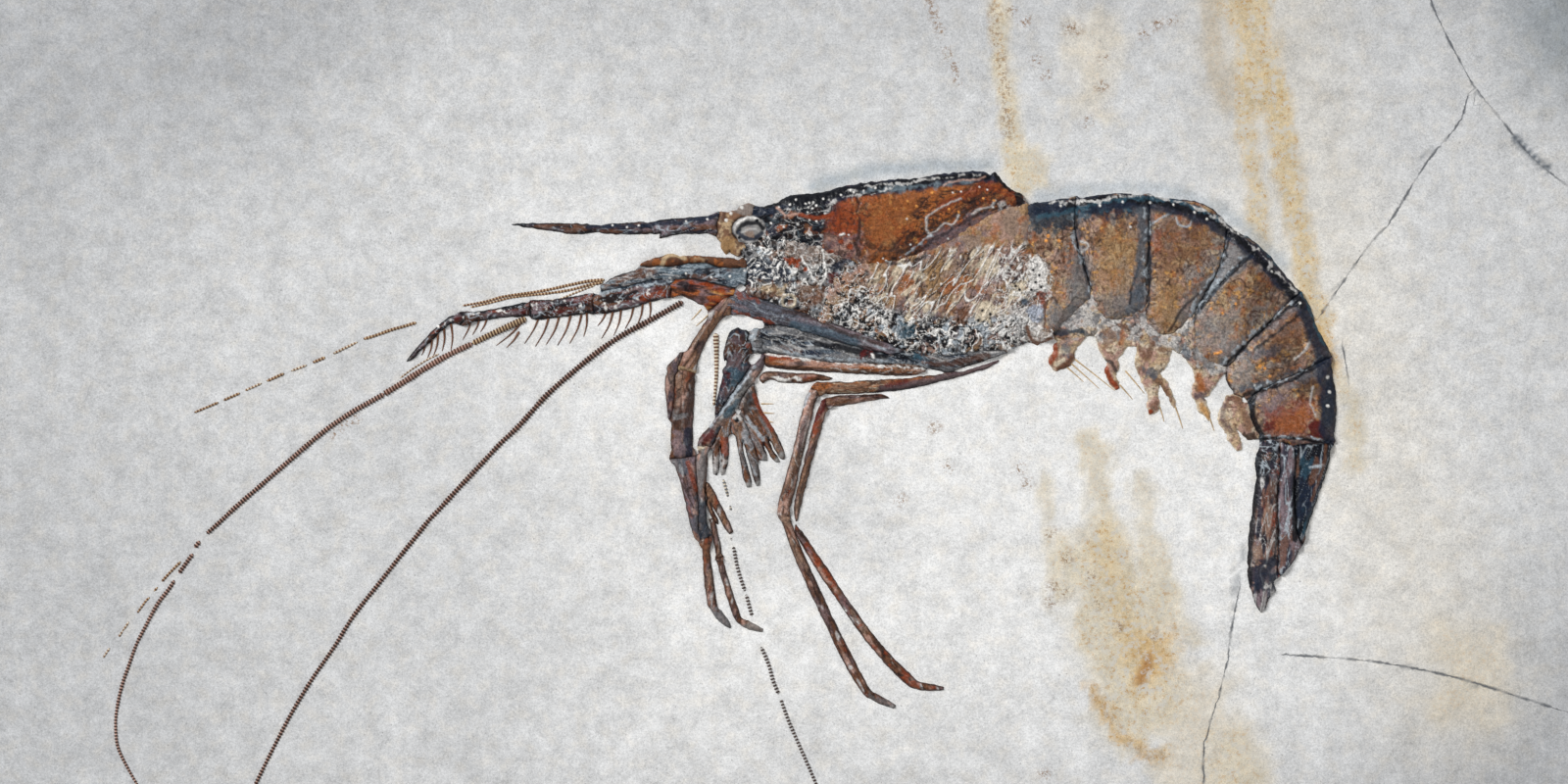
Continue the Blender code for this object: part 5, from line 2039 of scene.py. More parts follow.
def carapace_layers() -> list[Layer]:
    """Stains and painted highlights of the upper shield, from the ground up.

    Returns:
        The stains.
    """
    front = ((764, 212), (800, 198), (846, 190), (848, 206), (838, 236), (840, 262), (770, 250))
    veined = ((940, 204), (1036, 176), (1042, 212), (985, 236), (930, 264), (905, 268))
    return [
        Scatter(Tint.BROWN, 0.4, 26, 0.55),
        Scatter(Tint.RUST, 0.32, 14, 0.6),
        Scatter(Tint.OCHRE, 0.16, 12, 0.5),
        Scatter(Tint.BARK, 0.2, 9, 0.7, THREAD),
        Scatter(Tint.UMBER, 0.14, 6, 0.7),
        Scatter(Tint.GOLD, 0.05, 5, 0.6, lift=0.03),
        patch(Tint.RUST, (842, 206), (872, 196), (880, 232), (862, 242), (844, 236), soft=8, strength=0.85),
        patch(Tint.MAUVE, (838, 244), (874, 242), (880, 266), (842, 268), soft=7, strength=0.65),
        Scatter(
            Tint.ROSE, 0.25, 7, 0.7, area=((838, 240), (880, 238), (884, 270), (840, 270)), fade=4, lift=0.04,
        ),
        *dots(Tint.RUST, 2.6, (847, 258), (867, 252), (858, 246), soft=2, ragged=1.8),
        Scatter(
            Tint.BARK, 0.22, 7, 0.8, THREAD, area=((838, 200), (884, 192), (884, 268), (846, 262)), fade=6,
            lift=-0.05,
        ),
        patch(Tint.ORANGE, (882, 200), (944, 192), (990, 188), (960, 226), (890, 256), soft=9, strength=0.5),
        *inside(
            veined, 5,
            *along(
                28,
                Scatter(Tint.BARK, 0.42, 8, 0.85, THREAD, stretch=2.5, lift=-0.06),
                Scatter(Tint.INK, 0.18, 6, 0.85, THREAD, stretch=2.5),
            ),
        ),
        *inside(
            front, 14,
            Scatter(Tint.NAVY, 0.72, 9, 0.95),
            Scatter(Tint.INK, 0.6, 9, 0.95, lean=12, stretch=1.6),
        ),
        Scatter(Tint.STEEL, 0.1, 7, 0.6, THREAD, lean=12, stretch=2.0, area=front, fade=6),
        # Pale raised flecks on the dark front, partly mineral and partly painted highlight.
        Scatter(
            Tint.PEARL, 0.1, 8, 0.95, THREAD, lean=20, stretch=1.8, area=front, fade=5, lift=0.08, crisp=0.03,
        ),
        line(
            Tint.NAVY, 7.0, (766, 216), (800, 206), (820, 202), (850, 198), (880, 192), (900, 190),
            (930, 187), (960, 183), (1000, 180), (1012, 181), soft=3.5, ragged=3.5, strength=0.95,
        ),
        line(
            Tint.INK, 5.5, (786, 208), (830, 201), (872, 194), (905, 190), (940, 186), soft=3, ragged=4.5,
            strength=0.95, broken=0.25,
        ),
        line(
            Tint.STEEL, 2.0, (880, 196), (910, 193), (950, 189), (990, 183), soft=3, ragged=4.0, strength=0.7,
            broken=0.5,
        ),
        line(
            Tint.INK, 2.4, (925, 186), (960, 182), (990, 179), (1008, 180), soft=2, ragged=2.5, strength=0.9,
        ),
        # Painted highlights: broken pale lines along the dark upper margin.
        line(
            Tint.PEARL, 0.6, (850, 200), (880, 192), (900, 188), (930, 186), (966, 181), (1000, 178),
            ragged=2.6, strength=0.85, lift=0.06, broken=0.6,
        ),
        line(
            Tint.PEARL, 0.5, (846, 208), (862, 200), (890, 197), (912, 190), ragged=2.6, strength=0.85,
            lift=0.06, broken=0.6,
        ),
        *glints(
            (822, 208), (826, 207), (830, 207), (833, 210), (825, 212), (829, 213), (840, 203), (858, 199),
            (871, 196), (893, 192), (806, 209), (795, 212), (787, 228), (800, 232), (814, 229), (833, 226),
            (842, 218), (826, 240), (812, 242), (800, 243), radius=0.8,
        ),
        line(Tint.ROSE, 0.8, (793, 212), (802, 220), (814, 219), (824, 222), strength=0.9, lift=0.08),
        line(Tint.RUST, 1.6, (816, 220), (836, 222), (850, 218), strength=0.9, ragged=2.0),
        *dots(Tint.BROWN, 2.4, (823, 231)),
        patch(
            Tint.MAUVE, (978, 226), (1018, 214), (1024, 246), (985, 258), (950, 264), (940, 256), soft=8,
            strength=0.75,
        ),
        patch(Tint.HAZE, (1020, 214), (1048, 212), (1052, 246), (1024, 250), soft=4, strength=0.75),
        Scatter(Tint.PEARL, 0.3, 6, 0.8, area=((1018, 208), (1050, 208), (1054, 250), (1020, 250)), fade=3),
        Scatter(
            Tint.INK, 0.16, 6, 0.8, THREAD, area=((1010, 205), (1050, 205), (1054, 250), (1012, 250)), fade=3,
        ),
        line(Tint.BROWN, 2.0, (1041, 225), (1046, 248), strength=0.7),
        line(Tint.INK, 3.2, (1016, 177), (1028, 190), (1038, 199), (1041, 208), soft=1.5, strength=0.95),
        line(
            Tint.RUST, 4.0, (960, 212), (985, 200), (1010, 190), (1030, 200), soft=3, strength=0.5,
            broken=0.4,
        ),
        line(Tint.INK, 1.5, (1052, 214), (1051, 252), strength=0.85),
        line(
            Tint.BARK, 1.5, (876, 204), (873, 218), (878, 232), (873, 246), (877, 260), ragged=3.6,
            strength=0.85, lift=-0.1, broken=0.45,
        ),
        line(
            Tint.BARK, 1.3, (885, 250), (900, 256), (925, 250), (950, 236), (985, 217), (1010, 205),
            ragged=2.5, strength=0.7, lift=-0.05, broken=0.5,
        ),
        line(
            Tint.INK, 1.2, (930, 262), (952, 246), (985, 226), (1015, 210), ragged=2.0, strength=0.7,
            lift=-0.06, broken=0.4,
        ),
        line(
            Tint.ROSE, 0.45, (963, 190), (968, 187), (985, 184), (997, 184), (1005, 180), strength=0.8,
            lift=0.06,
        ),
        line(
            Tint.PEARL, 0.35, (944, 223), (948, 220), (958, 213), (975, 205), (980, 203), strength=0.85,
            lift=0.08, ragged=1.6,
        ),
        line(Tint.PEARL, 0.35, (945, 223), (946, 236), (950, 240), strength=0.85, lift=0.08, ragged=1.4),
        line(
            Tint.HAZE, 0.35, (918, 262), (928, 257), (938, 250), (946, 242), (952, 240), strength=0.8,
            lift=0.08, ragged=1.6, broken=0.3,
        ),
        line(
            Tint.PEARL, 0.35, (950, 238), (957, 234), (963, 229), (972, 229), (976, 223), (977, 220),
            strength=0.85, lift=0.08, ragged=1.6,
        ),
        line(
            Tint.PEARL, 0.35, (991, 219), (1000, 214), (1010, 211), (1015, 205), strength=0.8, lift=0.08,
            ragged=1.4,
        ),
        *glints(
            (951, 197), (926, 206), (935, 211), (968, 214), (978, 217), (1014, 205), (1003, 203),
            tint=Tint.AMBER_GLINT, radius=1.0,
        ),
        *glints(
            (980, 196), (999, 191), (1007, 194), (972, 197), (1013, 212), (967, 244), (969, 248), (929, 250),
            (930, 265), (925, 224), (846, 204), (868, 194), (881, 195), (824, 217), (826, 225), (812, 204),
            (866, 240), (901, 264), radius=0.6,
        ),
        # Painted highlight on a raised, polished fleck.
        Mark(Tint.WHITE, ((857, 240), (861, 239)), 0.7, 1.4, lift=0.12, shine=1.0),
    ]


def gill_layers() -> list[Layer]:
    """Stains and painted highlights of the crumpled lower flank.

    Returns:
        The stains, from the ground up.
    """
    lower = ((868, 300), (905, 320), (960, 326), (1040, 326), (1050, 352), (990, 366), (900, 366), (846, 335))
    upper = ((893, 266), (1045, 250), (1052, 330), (935, 334), (880, 300))
    front = ((840, 284), (880, 274), (905, 320), (880, 345), (838, 326))
    return [
        Scatter(Tint.ROSE, 0.35, 20, 0.6),
        Scatter(Tint.CLAY, 0.3, 16, 0.6),
        Scatter(Tint.MAUVE, 0.22, 12, 0.6),
        Scatter(Tint.OCHRE, 0.28, 12, 0.7),
        Scatter(Tint.ORANGE, 0.1, 9, 0.6),
        patch(Tint.ORANGE, (918, 278), (937, 279), (936, 298), (920, 296), soft=5, strength=0.8),
        patch(Tint.ORANGE, (968, 280), (983, 282), (980, 303), (966, 300), soft=5, strength=0.75),
        patch(Tint.OCHRE, (942, 274), (960, 274), (960, 302), (942, 300), soft=5, strength=0.8),
        *dots(Tint.ORANGE, 4.0, (968, 314), (900, 298), (1010, 272), soft=3, strength=0.7, ragged=2.0),
        *inside(
            upper, 12,
            *along(
                58,
                Scatter(Tint.BARK, 0.24, 8, 0.85, THREAD, stretch=3.5, lift=-0.1, crisp=0.04),
                Scatter(Tint.INK, 0.1, 6, 0.9, THREAD, stretch=4.0, lift=-0.1, crisp=0.03),
            ),
        ),
        *along(
            58,
            Scatter(Tint.CREAM, 0.2, 8, 0.8, stretch=3.0, area=upper, fade=8),
            # White raised threads, partly mineral and partly painted highlight.
            Scatter(Tint.WHITE, 0.17, 9, 0.95, THREAD, stretch=3.6, area=upper, lift=0.14, crisp=0.025),
        ),
        *inside(
            lower, 8.0,
            Scatter(Tint.SLATE, 0.5, 9, 0.75),
            Scatter(Tint.INK, 0.46, 11, 0.96, PEBBLE, lift=-0.14, crisp=0.04),
            Scatter(Tint.HAZE, 0.24, 8, 0.85, lift=0.05),
            # White raised threads, partly mineral and partly painted highlight.
            Scatter(Tint.WHITE, 0.28, 11, 0.98, THREAD, lift=0.18, crisp=0.03),
            Scatter(Tint.INK, 0.16, 8, 0.95, THREAD, lift=-0.1, crisp=0.03),
        ),
        *inside(
            front, 8.0,
            Scatter(Tint.INK, 0.3, 7, 0.9, PEBBLE, lift=-0.12, crisp=0.04),
            # White raised threads, partly mineral and partly painted highlight.
            Scatter(Tint.WHITE, 0.22, 8, 0.9, THREAD, lift=0.14, crisp=0.03),
        ),
        *patches(
            Tint.CREAM, ((994, 311), (1012, 309), (1010, 331), (996, 328)),
            ((1030, 289), (1045, 287), (1046, 303), (1031, 304)), strength=0.85,
        ),
        patch(Tint.WHITE, (1048, 258), (1066, 270), (1070, 302), (1050, 304), strength=0.85),
        patch(Tint.PEARL, (1028, 314), (1070, 312), (1068, 346), (1036, 350), strength=0.6),
        # White raised threads, partly mineral and partly painted highlight.
        Scatter(
            Tint.WHITE, 0.3, 7, 0.9, THREAD, area=((1020, 262), (1072, 262), (1074, 350), (1010, 352)),
            fade=4, lift=0.12,
        ),
        patch(Tint.PALE_BLUE, (1050, 309), (1066, 311), (1065, 326), (1050, 324), strength=0.75),
        *dots(Tint.SLATE, 3.0, (1045, 308), soft=2),
        *dots(
            Tint.INK, 1.3, (1002, 317), (1010, 321), (998, 327), (1054, 276), (1060, 281), (1056, 288),
            (1062, 293), (1052, 296), (1058, 300), (1040, 296), (1036, 292),
        ),
        patch(Tint.BROWN, (973, 318), (990, 316), (984, 335), (975, 333), soft=2, strength=0.85),
        patch(Tint.BROWN, (1030, 272), (1048, 274), (1042, 280), soft=2, strength=0.8),
        patch(Tint.RUST, (1056, 302), (1069, 300), (1067, 314), soft=2, strength=0.85),
        Scatter(
            Tint.INK, 0.14, 7, 0.85, THREAD, area=((1030, 250), (1076, 256), (1076, 350), (1030, 350)),
            fade=4, lift=-0.08,
        ),
        line(Tint.BROWN, 1.0, (1066, 311), (1066, 335), strength=0.9),
        line(Tint.BROWN, 1.6, (1047, 334), (1052, 346), (1061, 351), (1071, 345), strength=0.9, lift=0.08),
        patch(Tint.TEAL, (919, 330), (937, 332), (934, 345), (920, 343), strength=0.8),
        line(
            Tint.INK, 1.4, (880, 264), (905, 268), (930, 266), (945, 262), ragged=2, strength=0.7, lift=-0.1,
            broken=0.4,
        ),
        *glints(
            (905, 300), (935, 300), (960, 290), (1000, 300), (1020, 310), (925, 318), (900, 330), (880, 320),
            (893, 345), (940, 345), (960, 352), (985, 345), (1010, 350), radius=0.8,
        ),
    ]


def mouth_layers() -> list[Layer]:
    """Stains and painted highlights of the crumpled mouthparts.

    Returns:
        The stains, from the ground up.
    """
    return [
        Scatter(Tint.GREY, 0.35, 12, 0.7),
        Scatter(Tint.CLAY, 0.25, 12, 0.7),
        Scatter(Tint.INK, 0.42, 8, 0.92, PEBBLE, lift=-0.14, crisp=0.04),
        Scatter(Tint.HAZE, 0.14, 8, 0.8),
        patch(Tint.NAVY, (756, 264), (804, 266), (806, 288), (760, 291), soft=5, strength=0.85),
        # White raised threads, partly mineral and partly painted highlight.
        Scatter(Tint.WHITE, 0.25, 8, 0.96, THREAD, lift=0.16, crisp=0.03),
        patch(Tint.TAUPE, (795, 248), (862, 246), (866, 266), (812, 266), soft=7, strength=0.6),
        *inside(
            ((795, 246), (866, 242), (866, 272), (800, 272)), 4,
            *along(
                -20,
                Scatter(Tint.BARK, 0.2, 7, 0.8, THREAD, stretch=2),
                Scatter(Tint.PEARL, 0.2, 7, 0.8, THREAD, stretch=2, lift=0.08),
            ),
        ),
        patch(Tint.RUST, (802, 264), (815, 265), (814, 271), (803, 270), soft=2),
        *dots(Tint.RUST, 2.0, (822, 275)),
        patch(Tint.BURGUNDY, (845, 281), (866, 280), (868, 288), (848, 289), soft=2.5, strength=0.9),
        patch(Tint.BROWN, (755, 287), (763, 287), (761, 295), (756, 295), soft=2),
        patch(Tint.SAND, (775, 291), (800, 292), (799, 299), (779, 299), soft=3, strength=0.7),
        Scatter(
            Tint.BROWN, 0.25, 8, 0.8,
            area=((752, 286), (850, 288), (866, 336), (800, 322), (752, 300)),
            fade=4,
        ),
        patch(Tint.CLAY, (812, 292), (836, 290), (838, 306), (818, 308), soft=3, strength=0.6),
        line(
            Tint.CREAM, 0.9, (798, 304), (804, 301), (811, 304), (811, 311), (804, 314), (799, 311),
            (798, 304), lift=0.14,
        ),
        line(Tint.NAVY, 3.0, (850, 274), (865, 266), (880, 263), strength=0.85, broken=0.4),
        patch(Tint.BROWN, (828, 303), (838, 304), (837, 312), (829, 311), soft=2, strength=0.85),
        patch(Tint.BROWN, (848, 325), (866, 326), (864, 335), (850, 333), soft=2.5, strength=0.85),
        # White raised lines, partly mineral and partly painted highlight.
        *lines(
            Tint.WHITE, 0.5, ((818, 262), (828, 280), (836, 290)), ((838, 256), (842, 275), (838, 292)),
            ragged=2.0, lift=0.12,
        ),
        *glints(
            (842, 280), (830, 296), (846, 298), (818, 290), (806, 284), (790, 278), (780, 283), (770, 276),
            radius=0.9,
        ),
    ]


def limb_layers(lean: float, *extra: Layer, ground: Tint = Tint.BROWN) -> list[Layer]:
    """Stains along a limb that leans by some degrees.

    Args:
        lean: Lean of the limb in degrees.
        extra: What lies on top.
        ground: Tint of its ground.

    Returns:
        The stains, from the ground up.
    """
    return [
        *along(
            lean,
            Scatter(ground, 0.4, 12, 0.7, stretch=3.0),
            Scatter(Tint.RUST, 0.1, 9, 0.6, stretch=3.0),
            Scatter(Tint.MAUVE, 0.26, 10, 0.6, stretch=3.0),
            Scatter(Tint.TAUPE, 0.22, 8, 0.6, stretch=4.0),
            Scatter(Tint.BARK, 0.26, 7, 0.85, THREAD, stretch=5.0),
            Scatter(Tint.INK, 0.1, 6, 0.85, THREAD, stretch=5.0),
            Scatter(Tint.ROSE, 0.12, 7, 0.75, stretch=3.0, lift=0.03),
            Scatter(Tint.PEARL, 0.04, 6, 0.8, stretch=3.0, lift=0.03),
        ),
        *extra,
    ]


def speckled(lean: float, *extra: Layer) -> list[Layer]:
    """Dark navy stains with pale flecks along a limb that leans by some degrees.

    Args:
        lean: Lean of the limb in degrees.
        extra: What lies on top.

    Returns:
        The stains, from the ground up.
    """
    return [
        *along(
            lean,
            Scatter(Tint.NAVY, 0.5, 9, 0.9, stretch=2.5),
            Scatter(Tint.INK, 0.32, 7, 0.92, stretch=3.0, lift=-0.04),
            Scatter(Tint.BROWN, 0.12, 9, 0.7, stretch=2.5),
            Scatter(Tint.HAZE, 0.15, 7, 0.9, THREAD, stretch=2.5, lift=0.05, crisp=0.04),
        ),
        *extra,
    ]


def ring_layers(lean: float, *extra: Layer) -> list[Layer]:
    """Stains of a ring of the tail part, streaked along a lean, with the dark back and painted highlights.

    Args:
        lean: Lean of the streaks in degrees.
        extra: What lies on top.

    Returns:
        The stains, from the ground up.
    """
    return [
        Scatter(Tint.OCHRE, 0.5, 26, 0.7),
        Scatter(Tint.CLAY, 0.3, 14, 0.7),
        Scatter(Tint.ROSE, 0.28, 12, 0.55),
        Scatter(Tint.BROWN, 0.16, 11, 0.6),
        Scatter(Tint.GREY, 0.22, 13, 0.6, lean=lean, stretch=1.5),
        Scatter(Tint.SAND, 0.14, 9, 0.6),
        Scatter(Tint.BARK, 0.19, 9, 0.8, THREAD, lean=lean, stretch=2.2, crisp=0.03),
        Scatter(Tint.ORANGE, 0.12, 8, 0.6),
        Scatter(Tint.UMBER, 0.08, 5, 0.8),
        Scatter(Tint.GOLD, 0.05, 5, 0.8, lift=0.03),
        *extra, *JOINTS, *BACK,
    ]


def head_plates() -> list[Plate]:
    """The shield, the flank, the mouthparts and what stands out in front.

    Returns:
        The plates.
    """
    dark = Border(Tint.INK, 0.3, 0.85)
    return [
        Plate("carapace", HEAD, SHELL, Tint.ORANGE, carapace_layers(), Border(Tint.NAVY, 0.5, 0.7), 0.75),
        Plate("gill_region", FLANK, CRUMPLED, Tint.TAUPE, gill_layers(), Border(Tint.BARK, 0.35, 0.6), 0.75),
        Plate("mouthparts", FLANK, CRUMPLED, Tint.LEAD, mouth_layers(), Border(Tint.INK, 0.3, 0.6), 0.75),
        Plate("rostrum", LIMB, SLATE_SHELL, Tint.MAUVE, speckled(
            3,
            Scatter(Tint.BROWN, 0.3, 8, 0.8, lean=3, stretch=2.5),
            line(
                Tint.NAVY, 1.8, (600, 232), (640, 231), (690, 227), (730, 221), (770, 212), soft=2, ragged=2,
                strength=0.9,
            ),
            *glints((625, 230), (640, 232), (652, 230), (700, 226), (722, 224), (742, 220), radius=0.7),
        ), dark),
        Plate(
            "eye",
            Relief(rim=0.42, crown=0.25, reach=1.2, spread=0.03, crumple=0.02),
            TAN_SHELL, Tint.GREY,
            [
                Scatter(Tint.LEAD, 0.4, 6, 0.7),
                line(
                    Tint.PEARL, 0.6, (750, 238), (750, 230), (757, 224), (768, 222), (778, 226), (782, 234),
                    (776, 244), (764, 247), (753, 243), ragged=1.0, strength=0.75, lift=0.05, broken=0.25,
                ),
                line(
                    Tint.INK, 1.8, (753, 237), (756, 231), (764, 228), (773, 228), (778, 233), strength=0.95,
                    lift=-0.08,
                ),
                line(
                    Tint.NAVY, 1.8, (754, 237), (760, 243), (770, 243), (777, 238), strength=0.9, lift=-0.06,
                ),
                patch(
                    Tint.TAUPE, (759, 234), (768, 234), (768, 240), (760, 240), soft=2, strength=0.8,
                    lift=0.03,
                ),
                line(
                    Tint.PEARL, 0.5, (757, 238), (764, 234), (772, 234), ragged=0.8, strength=0.8, lift=0.04,
                ),
                line(
                    Tint.WHITE, 0.5, (752, 228), (758, 224), (768, 222), (776, 225), strength=0.9, lift=0.06,
                ),
                *dots(Tint.INK, 1.6, (755, 242), (776, 243), (772, 225), ragged=1.5),
            ],
            dark,
        ),
        Plate("eyestalk", SMALL_LIMB, TAN_SHELL, Tint.CLAY, [
            Scatter(Tint.SAND, 0.35, 8, 0.8),
            Scatter(Tint.UMBER, 0.3, 7, 0.75),
            patch(Tint.GREY, (752, 209), (768, 209), (768, 221), (753, 221), soft=2, strength=0.6),
            *glints((757, 212), (741, 225), (746, 218), radius=1.4),
            patch(Tint.OCHRE, (734, 243), (752, 244), (750, 261), (736, 260), soft=2, strength=0.8),
        ], Border(Tint.UMBER, 0.25, 0.85)),
        Plate("antennal_scale", LIMB, SLATE_SHELL, Tint.SLATE, speckled(
            8,
            Scatter(Tint.STEEL, 0.45, 9, 0.75, lean=8, stretch=4),
            Scatter(Tint.HAZE, 0.16, 8, 0.85, THREAD, lean=10, stretch=4, lift=0.04),
            *along(
                12,
                Scatter(
                    Tint.BROWN, 0.45, 7, 0.8, THREAD, stretch=5,
                    area=((600, 276), (668, 270), (668, 298), (600, 300)), fade=6,
                ),
                Scatter(
                    Tint.PEARL, 0.26, 7, 0.85, THREAD, stretch=4,
                    area=((600, 276), (690, 268), (690, 298), (600, 300)), fade=6, lift=0.04,
                ),
            ),
            *glints((700, 279), (726, 283), (745, 282), (684, 284), (760, 276), radius=0.9),
        ), dark),
        Plate("antenna_peduncle", LIMB, TAN_SHELL, Tint.BROWN, [
            Scatter(Tint.ORANGE, 0.4, 8, 0.8),
            Scatter(Tint.BARK, 0.2, 6, 0.8, THREAD, lean=5, stretch=3),
            line(Tint.SAND, 1.8, (675, 271), (680, 262), (690, 260), (699, 264), strength=0.9, lift=0.08),
            patch(Tint.UMBER, (682, 265), (694, 265), (694, 271), (684, 272), soft=2, strength=0.7),
            patch(Tint.SAND, (705, 263), (720, 264), (719, 271), (706, 270), soft=3, strength=0.6),
        ], dark),
    ]


def mouth_leg_plates() -> list[Plate]:
    """The five joints of the long mouth leg.

    Returns:
        The plates.
    """
    dark = Border(Tint.INK, 0.36, 0.9)
    red = [
        *along(
            8,
            Scatter(Tint.BURGUNDY, 0.3, 10, 0.8, stretch=3),
            Scatter(Tint.MAUVE, 0.32, 8, 0.8, stretch=3),
            Scatter(Tint.INK, 0.3, 8, 0.9, stretch=3),
            Scatter(Tint.RUST, 0.1, 7, 0.7, stretch=3),
        ),
        Scatter(Tint.HAZE, 0.14, 7, 0.9, THREAD, lean=20, stretch=1.5, lift=0.05, crisp=0.03),
        Scatter(Tint.WHITE, 0.05, 5, 0.9, lean=8, lift=0.05),
    ]
    return [
        Plate("maxilliped_tip", LIMB, LEG_SHELL, Tint.UMBER, [*red, *glints((447, 333), (460, 327))], dark),
        Plate("maxilliped_hand", LIMB, LEG_SHELL, Tint.UMBER, red, dark),
        Plate("maxilliped_shank", LIMB, LEG_SHELL, Tint.UMBER, red, dark),
        Plate("maxilliped_thigh", LIMB, LEG_SHELL, Tint.BROWN, [
            *red,
            line(
                Tint.MIDNIGHT, 3.2, (605, 297), (640, 290), (690, 287), soft=3, ragged=2.5, strength=0.9,
                broken=0.3,
            ),
            line(
                Tint.HAZE, 0.8, (612, 300), (650, 292), (690, 288), ragged=2.0, strength=0.8, lift=0.05,
                broken=0.6,
            ),
        ], dark),
        Plate("maxilliped_base", LIMB, SHELL, Tint.RUST, [
            *along(
                -8,
                Scatter(Tint.ORANGE, 0.4, 10, 0.7, stretch=4),
                Scatter(Tint.MAUVE, 0.3, 9, 0.8, stretch=3),
                Scatter(Tint.BARK, 0.26, 7, 0.85, THREAD, stretch=4),
                Scatter(Tint.INK, 0.1, 6, 0.85, stretch=4),
                Scatter(Tint.GOLD, 0.08, 6, 0.7, stretch=4),
            ),
        ], Border(Tint.BARK, 0.3, 0.85)),
    ]


def leg_plates() -> list[Plate]:
    """The walking legs, joint by joint.

    Returns:
        The plates.
    """
    dark = Border(Tint.BARK, 0.24, 0.85)
    steep = limb_layers(80)
    return [
        Plate("leg_1_thigh", LIMB, LEG_SHELL, Tint.CLAY, limb_layers(
            60,
            line(Tint.SAND, 3, (694, 377), (708, 381), strength=0.7),
        ), dark),
        Plate("leg_1_shin", LIMB, LEG_SHELL, Tint.BROWN, limb_layers(
            86,
            Scatter(Tint.BARK, 0.4, 9, 0.75, lean=86, stretch=4),
            line(Tint.NAVY, 3.0, (702, 440), (703, 470), soft=3, ragged=2, strength=0.9),
            patch(Tint.LEAD, (689, 421), (699, 421), (699, 427), (689, 427), soft=2, strength=0.7),
            patch(Tint.MAUVE, (687, 440), (697, 440), (697, 466), (687, 466), soft=3, strength=0.7),
        ), dark),
        Plate("leg_1_foot", LIMB, LEG_SHELL, Tint.MAUVE, limb_layers(
            -75,
            Scatter(Tint.SLATE, 0.4, 12, 0.6),
            line(Tint.RUST, 1.8, (702, 472), (706, 485), (710, 500), strength=0.7),
        ), dark),
        Plate("leg_1_spur", SMALL_LIMB, LEG_SHELL, Tint.PLUM, limb_layers(85), dark),
        Plate("leg_2_thigh", LIMB, LEG_SHELL, Tint.GREY, limb_layers(
            53,
            Scatter(Tint.MIDNIGHT, 0.34, 8, 0.85, lean=53, stretch=4),
            line(
                Tint.HAZE, 0.9, (772, 372), (762, 384), (751, 400), (738, 418), (724, 436), ragged=1.5,
                strength=0.8, lift=0.05, broken=0.4,
            ),
            line(Tint.TEAL, 3.0, (752, 410), (742, 424), soft=2, ragged=2, strength=0.7),
            patch(Tint.BURGUNDY, (716, 444), (728, 440), (730, 449), (718, 453), soft=2, strength=0.8),
            patch(Tint.PLUM, (760, 356), (781, 356), (781, 374), (762, 376), soft=4, strength=0.85),
        ), dark),
        Plate("leg_2_shin", LIMB, LEG_SHELL, Tint.TAUPE, [
            *steep,
            Scatter(Tint.LEAD, 0.35, 9, 0.75, lean=80, stretch=4),
            patch(Tint.CREAM, (711, 452), (722, 452), (720, 459), (711, 459), soft=2, strength=0.85),
            patch(Tint.MIDNIGHT, (708, 508), (728, 508), (728, 552), (710, 552), soft=6, strength=0.85),
        ], dark),
        Plate("leg_2_foot", SMALL_LIMB, LEG_SHELL, Tint.BROWN, [
            *steep,
            patch(Tint.LEAD, (720, 622), (748, 622), (750, 645), (722, 645), soft=3, strength=0.8),
        ], dark),
        Plate("leg_3_shin", SMALL_LIMB, LEG_SHELL, Tint.BROWN, steep, dark),
        Plate("leg_3_foot", SMALL_LIMB, LEG_SHELL, Tint.BROWN, [
            *steep,
            patch(Tint.GREY, (752, 634), (780, 634), (780, 648), (752, 646), soft=2, strength=0.6),
        ], dark),
        Plate("leg_3_finger", SMALL_LIMB, LEG_SHELL, Tint.CLAY, steep, dark),
        Plate("leg_4_thigh", LIMB, LEG_SHELL, Tint.CLAY, [
            *along(
                5,
                Scatter(Tint.ORANGE, 0.55, 12, 0.85, stretch=5),
                Scatter(Tint.BARK, 0.24, 7, 0.8, THREAD, stretch=5),
                Scatter(Tint.CREAM, 0.08, 7, 0.8, THREAD, stretch=5),
            ),
            line(
                Tint.PLUM, 4.0, (900, 398), (940, 391), (975, 383), (1016, 369), soft=3, ragged=2,
                strength=0.85,
            ),
            line(Tint.INK, 1.0, (890, 401), (930, 396), (975, 386), ragged=1.5, strength=0.8),
            line(Tint.BURGUNDY, 2.0, (905, 393), (925, 389), strength=0.7),
        ], Border(Tint.BARK, 0.22, 0.8)),
        Plate("leg_4_shin", LIMB, LEG_SHELL, Tint.CLAY, limb_layers(
            75,
            *along(
                75,
                Scatter(Tint.ROSE, 0.45, 9, 0.8, stretch=4),
                Scatter(Tint.PEARL, 0.1, 7, 0.8, THREAD, stretch=4),
            ),
            line(Tint.HAZE, 0.9, (826, 402), (820, 416), ragged=1.5, strength=0.8),
        ), dark),
        Plate("leg_4_foot", SMALL_LIMB, LEG_SHELL, Tint.BROWN, limb_layers(
            -65,
            *dots(Tint.PEARL, 1.8, (868, 681)),
            patch(Tint.LEAD, (884, 708), (920, 716), (918, 728), (886, 716), soft=2, strength=0.5),
        ), dark),
        Plate("leg_5_thigh", SMALL_LIMB, LEG_SHELL, Tint.BROWN, limb_layers(5), Border(Tint.BARK, 0.2, 0.8)),
        Plate("leg_5_shin", LIMB, LEG_SHELL, Tint.CLAY, limb_layers(
            70,
            patch(Tint.BURGUNDY, (836, 408), (843, 408), (838, 428), (832, 430), soft=2, strength=0.85),
            patch(Tint.RUST, (830, 430), (839, 430), (835, 444), (829, 446), soft=2, strength=0.7),
        ), dark),
        Plate("leg_5_foot", SMALL_LIMB, LEG_SHELL, Tint.BROWN, limb_layers(
            -55,
            Scatter(Tint.RUST, 0.3, 9, 0.7),
            *glints((863, 623), radius=0.8),
        ), dark),
    ]


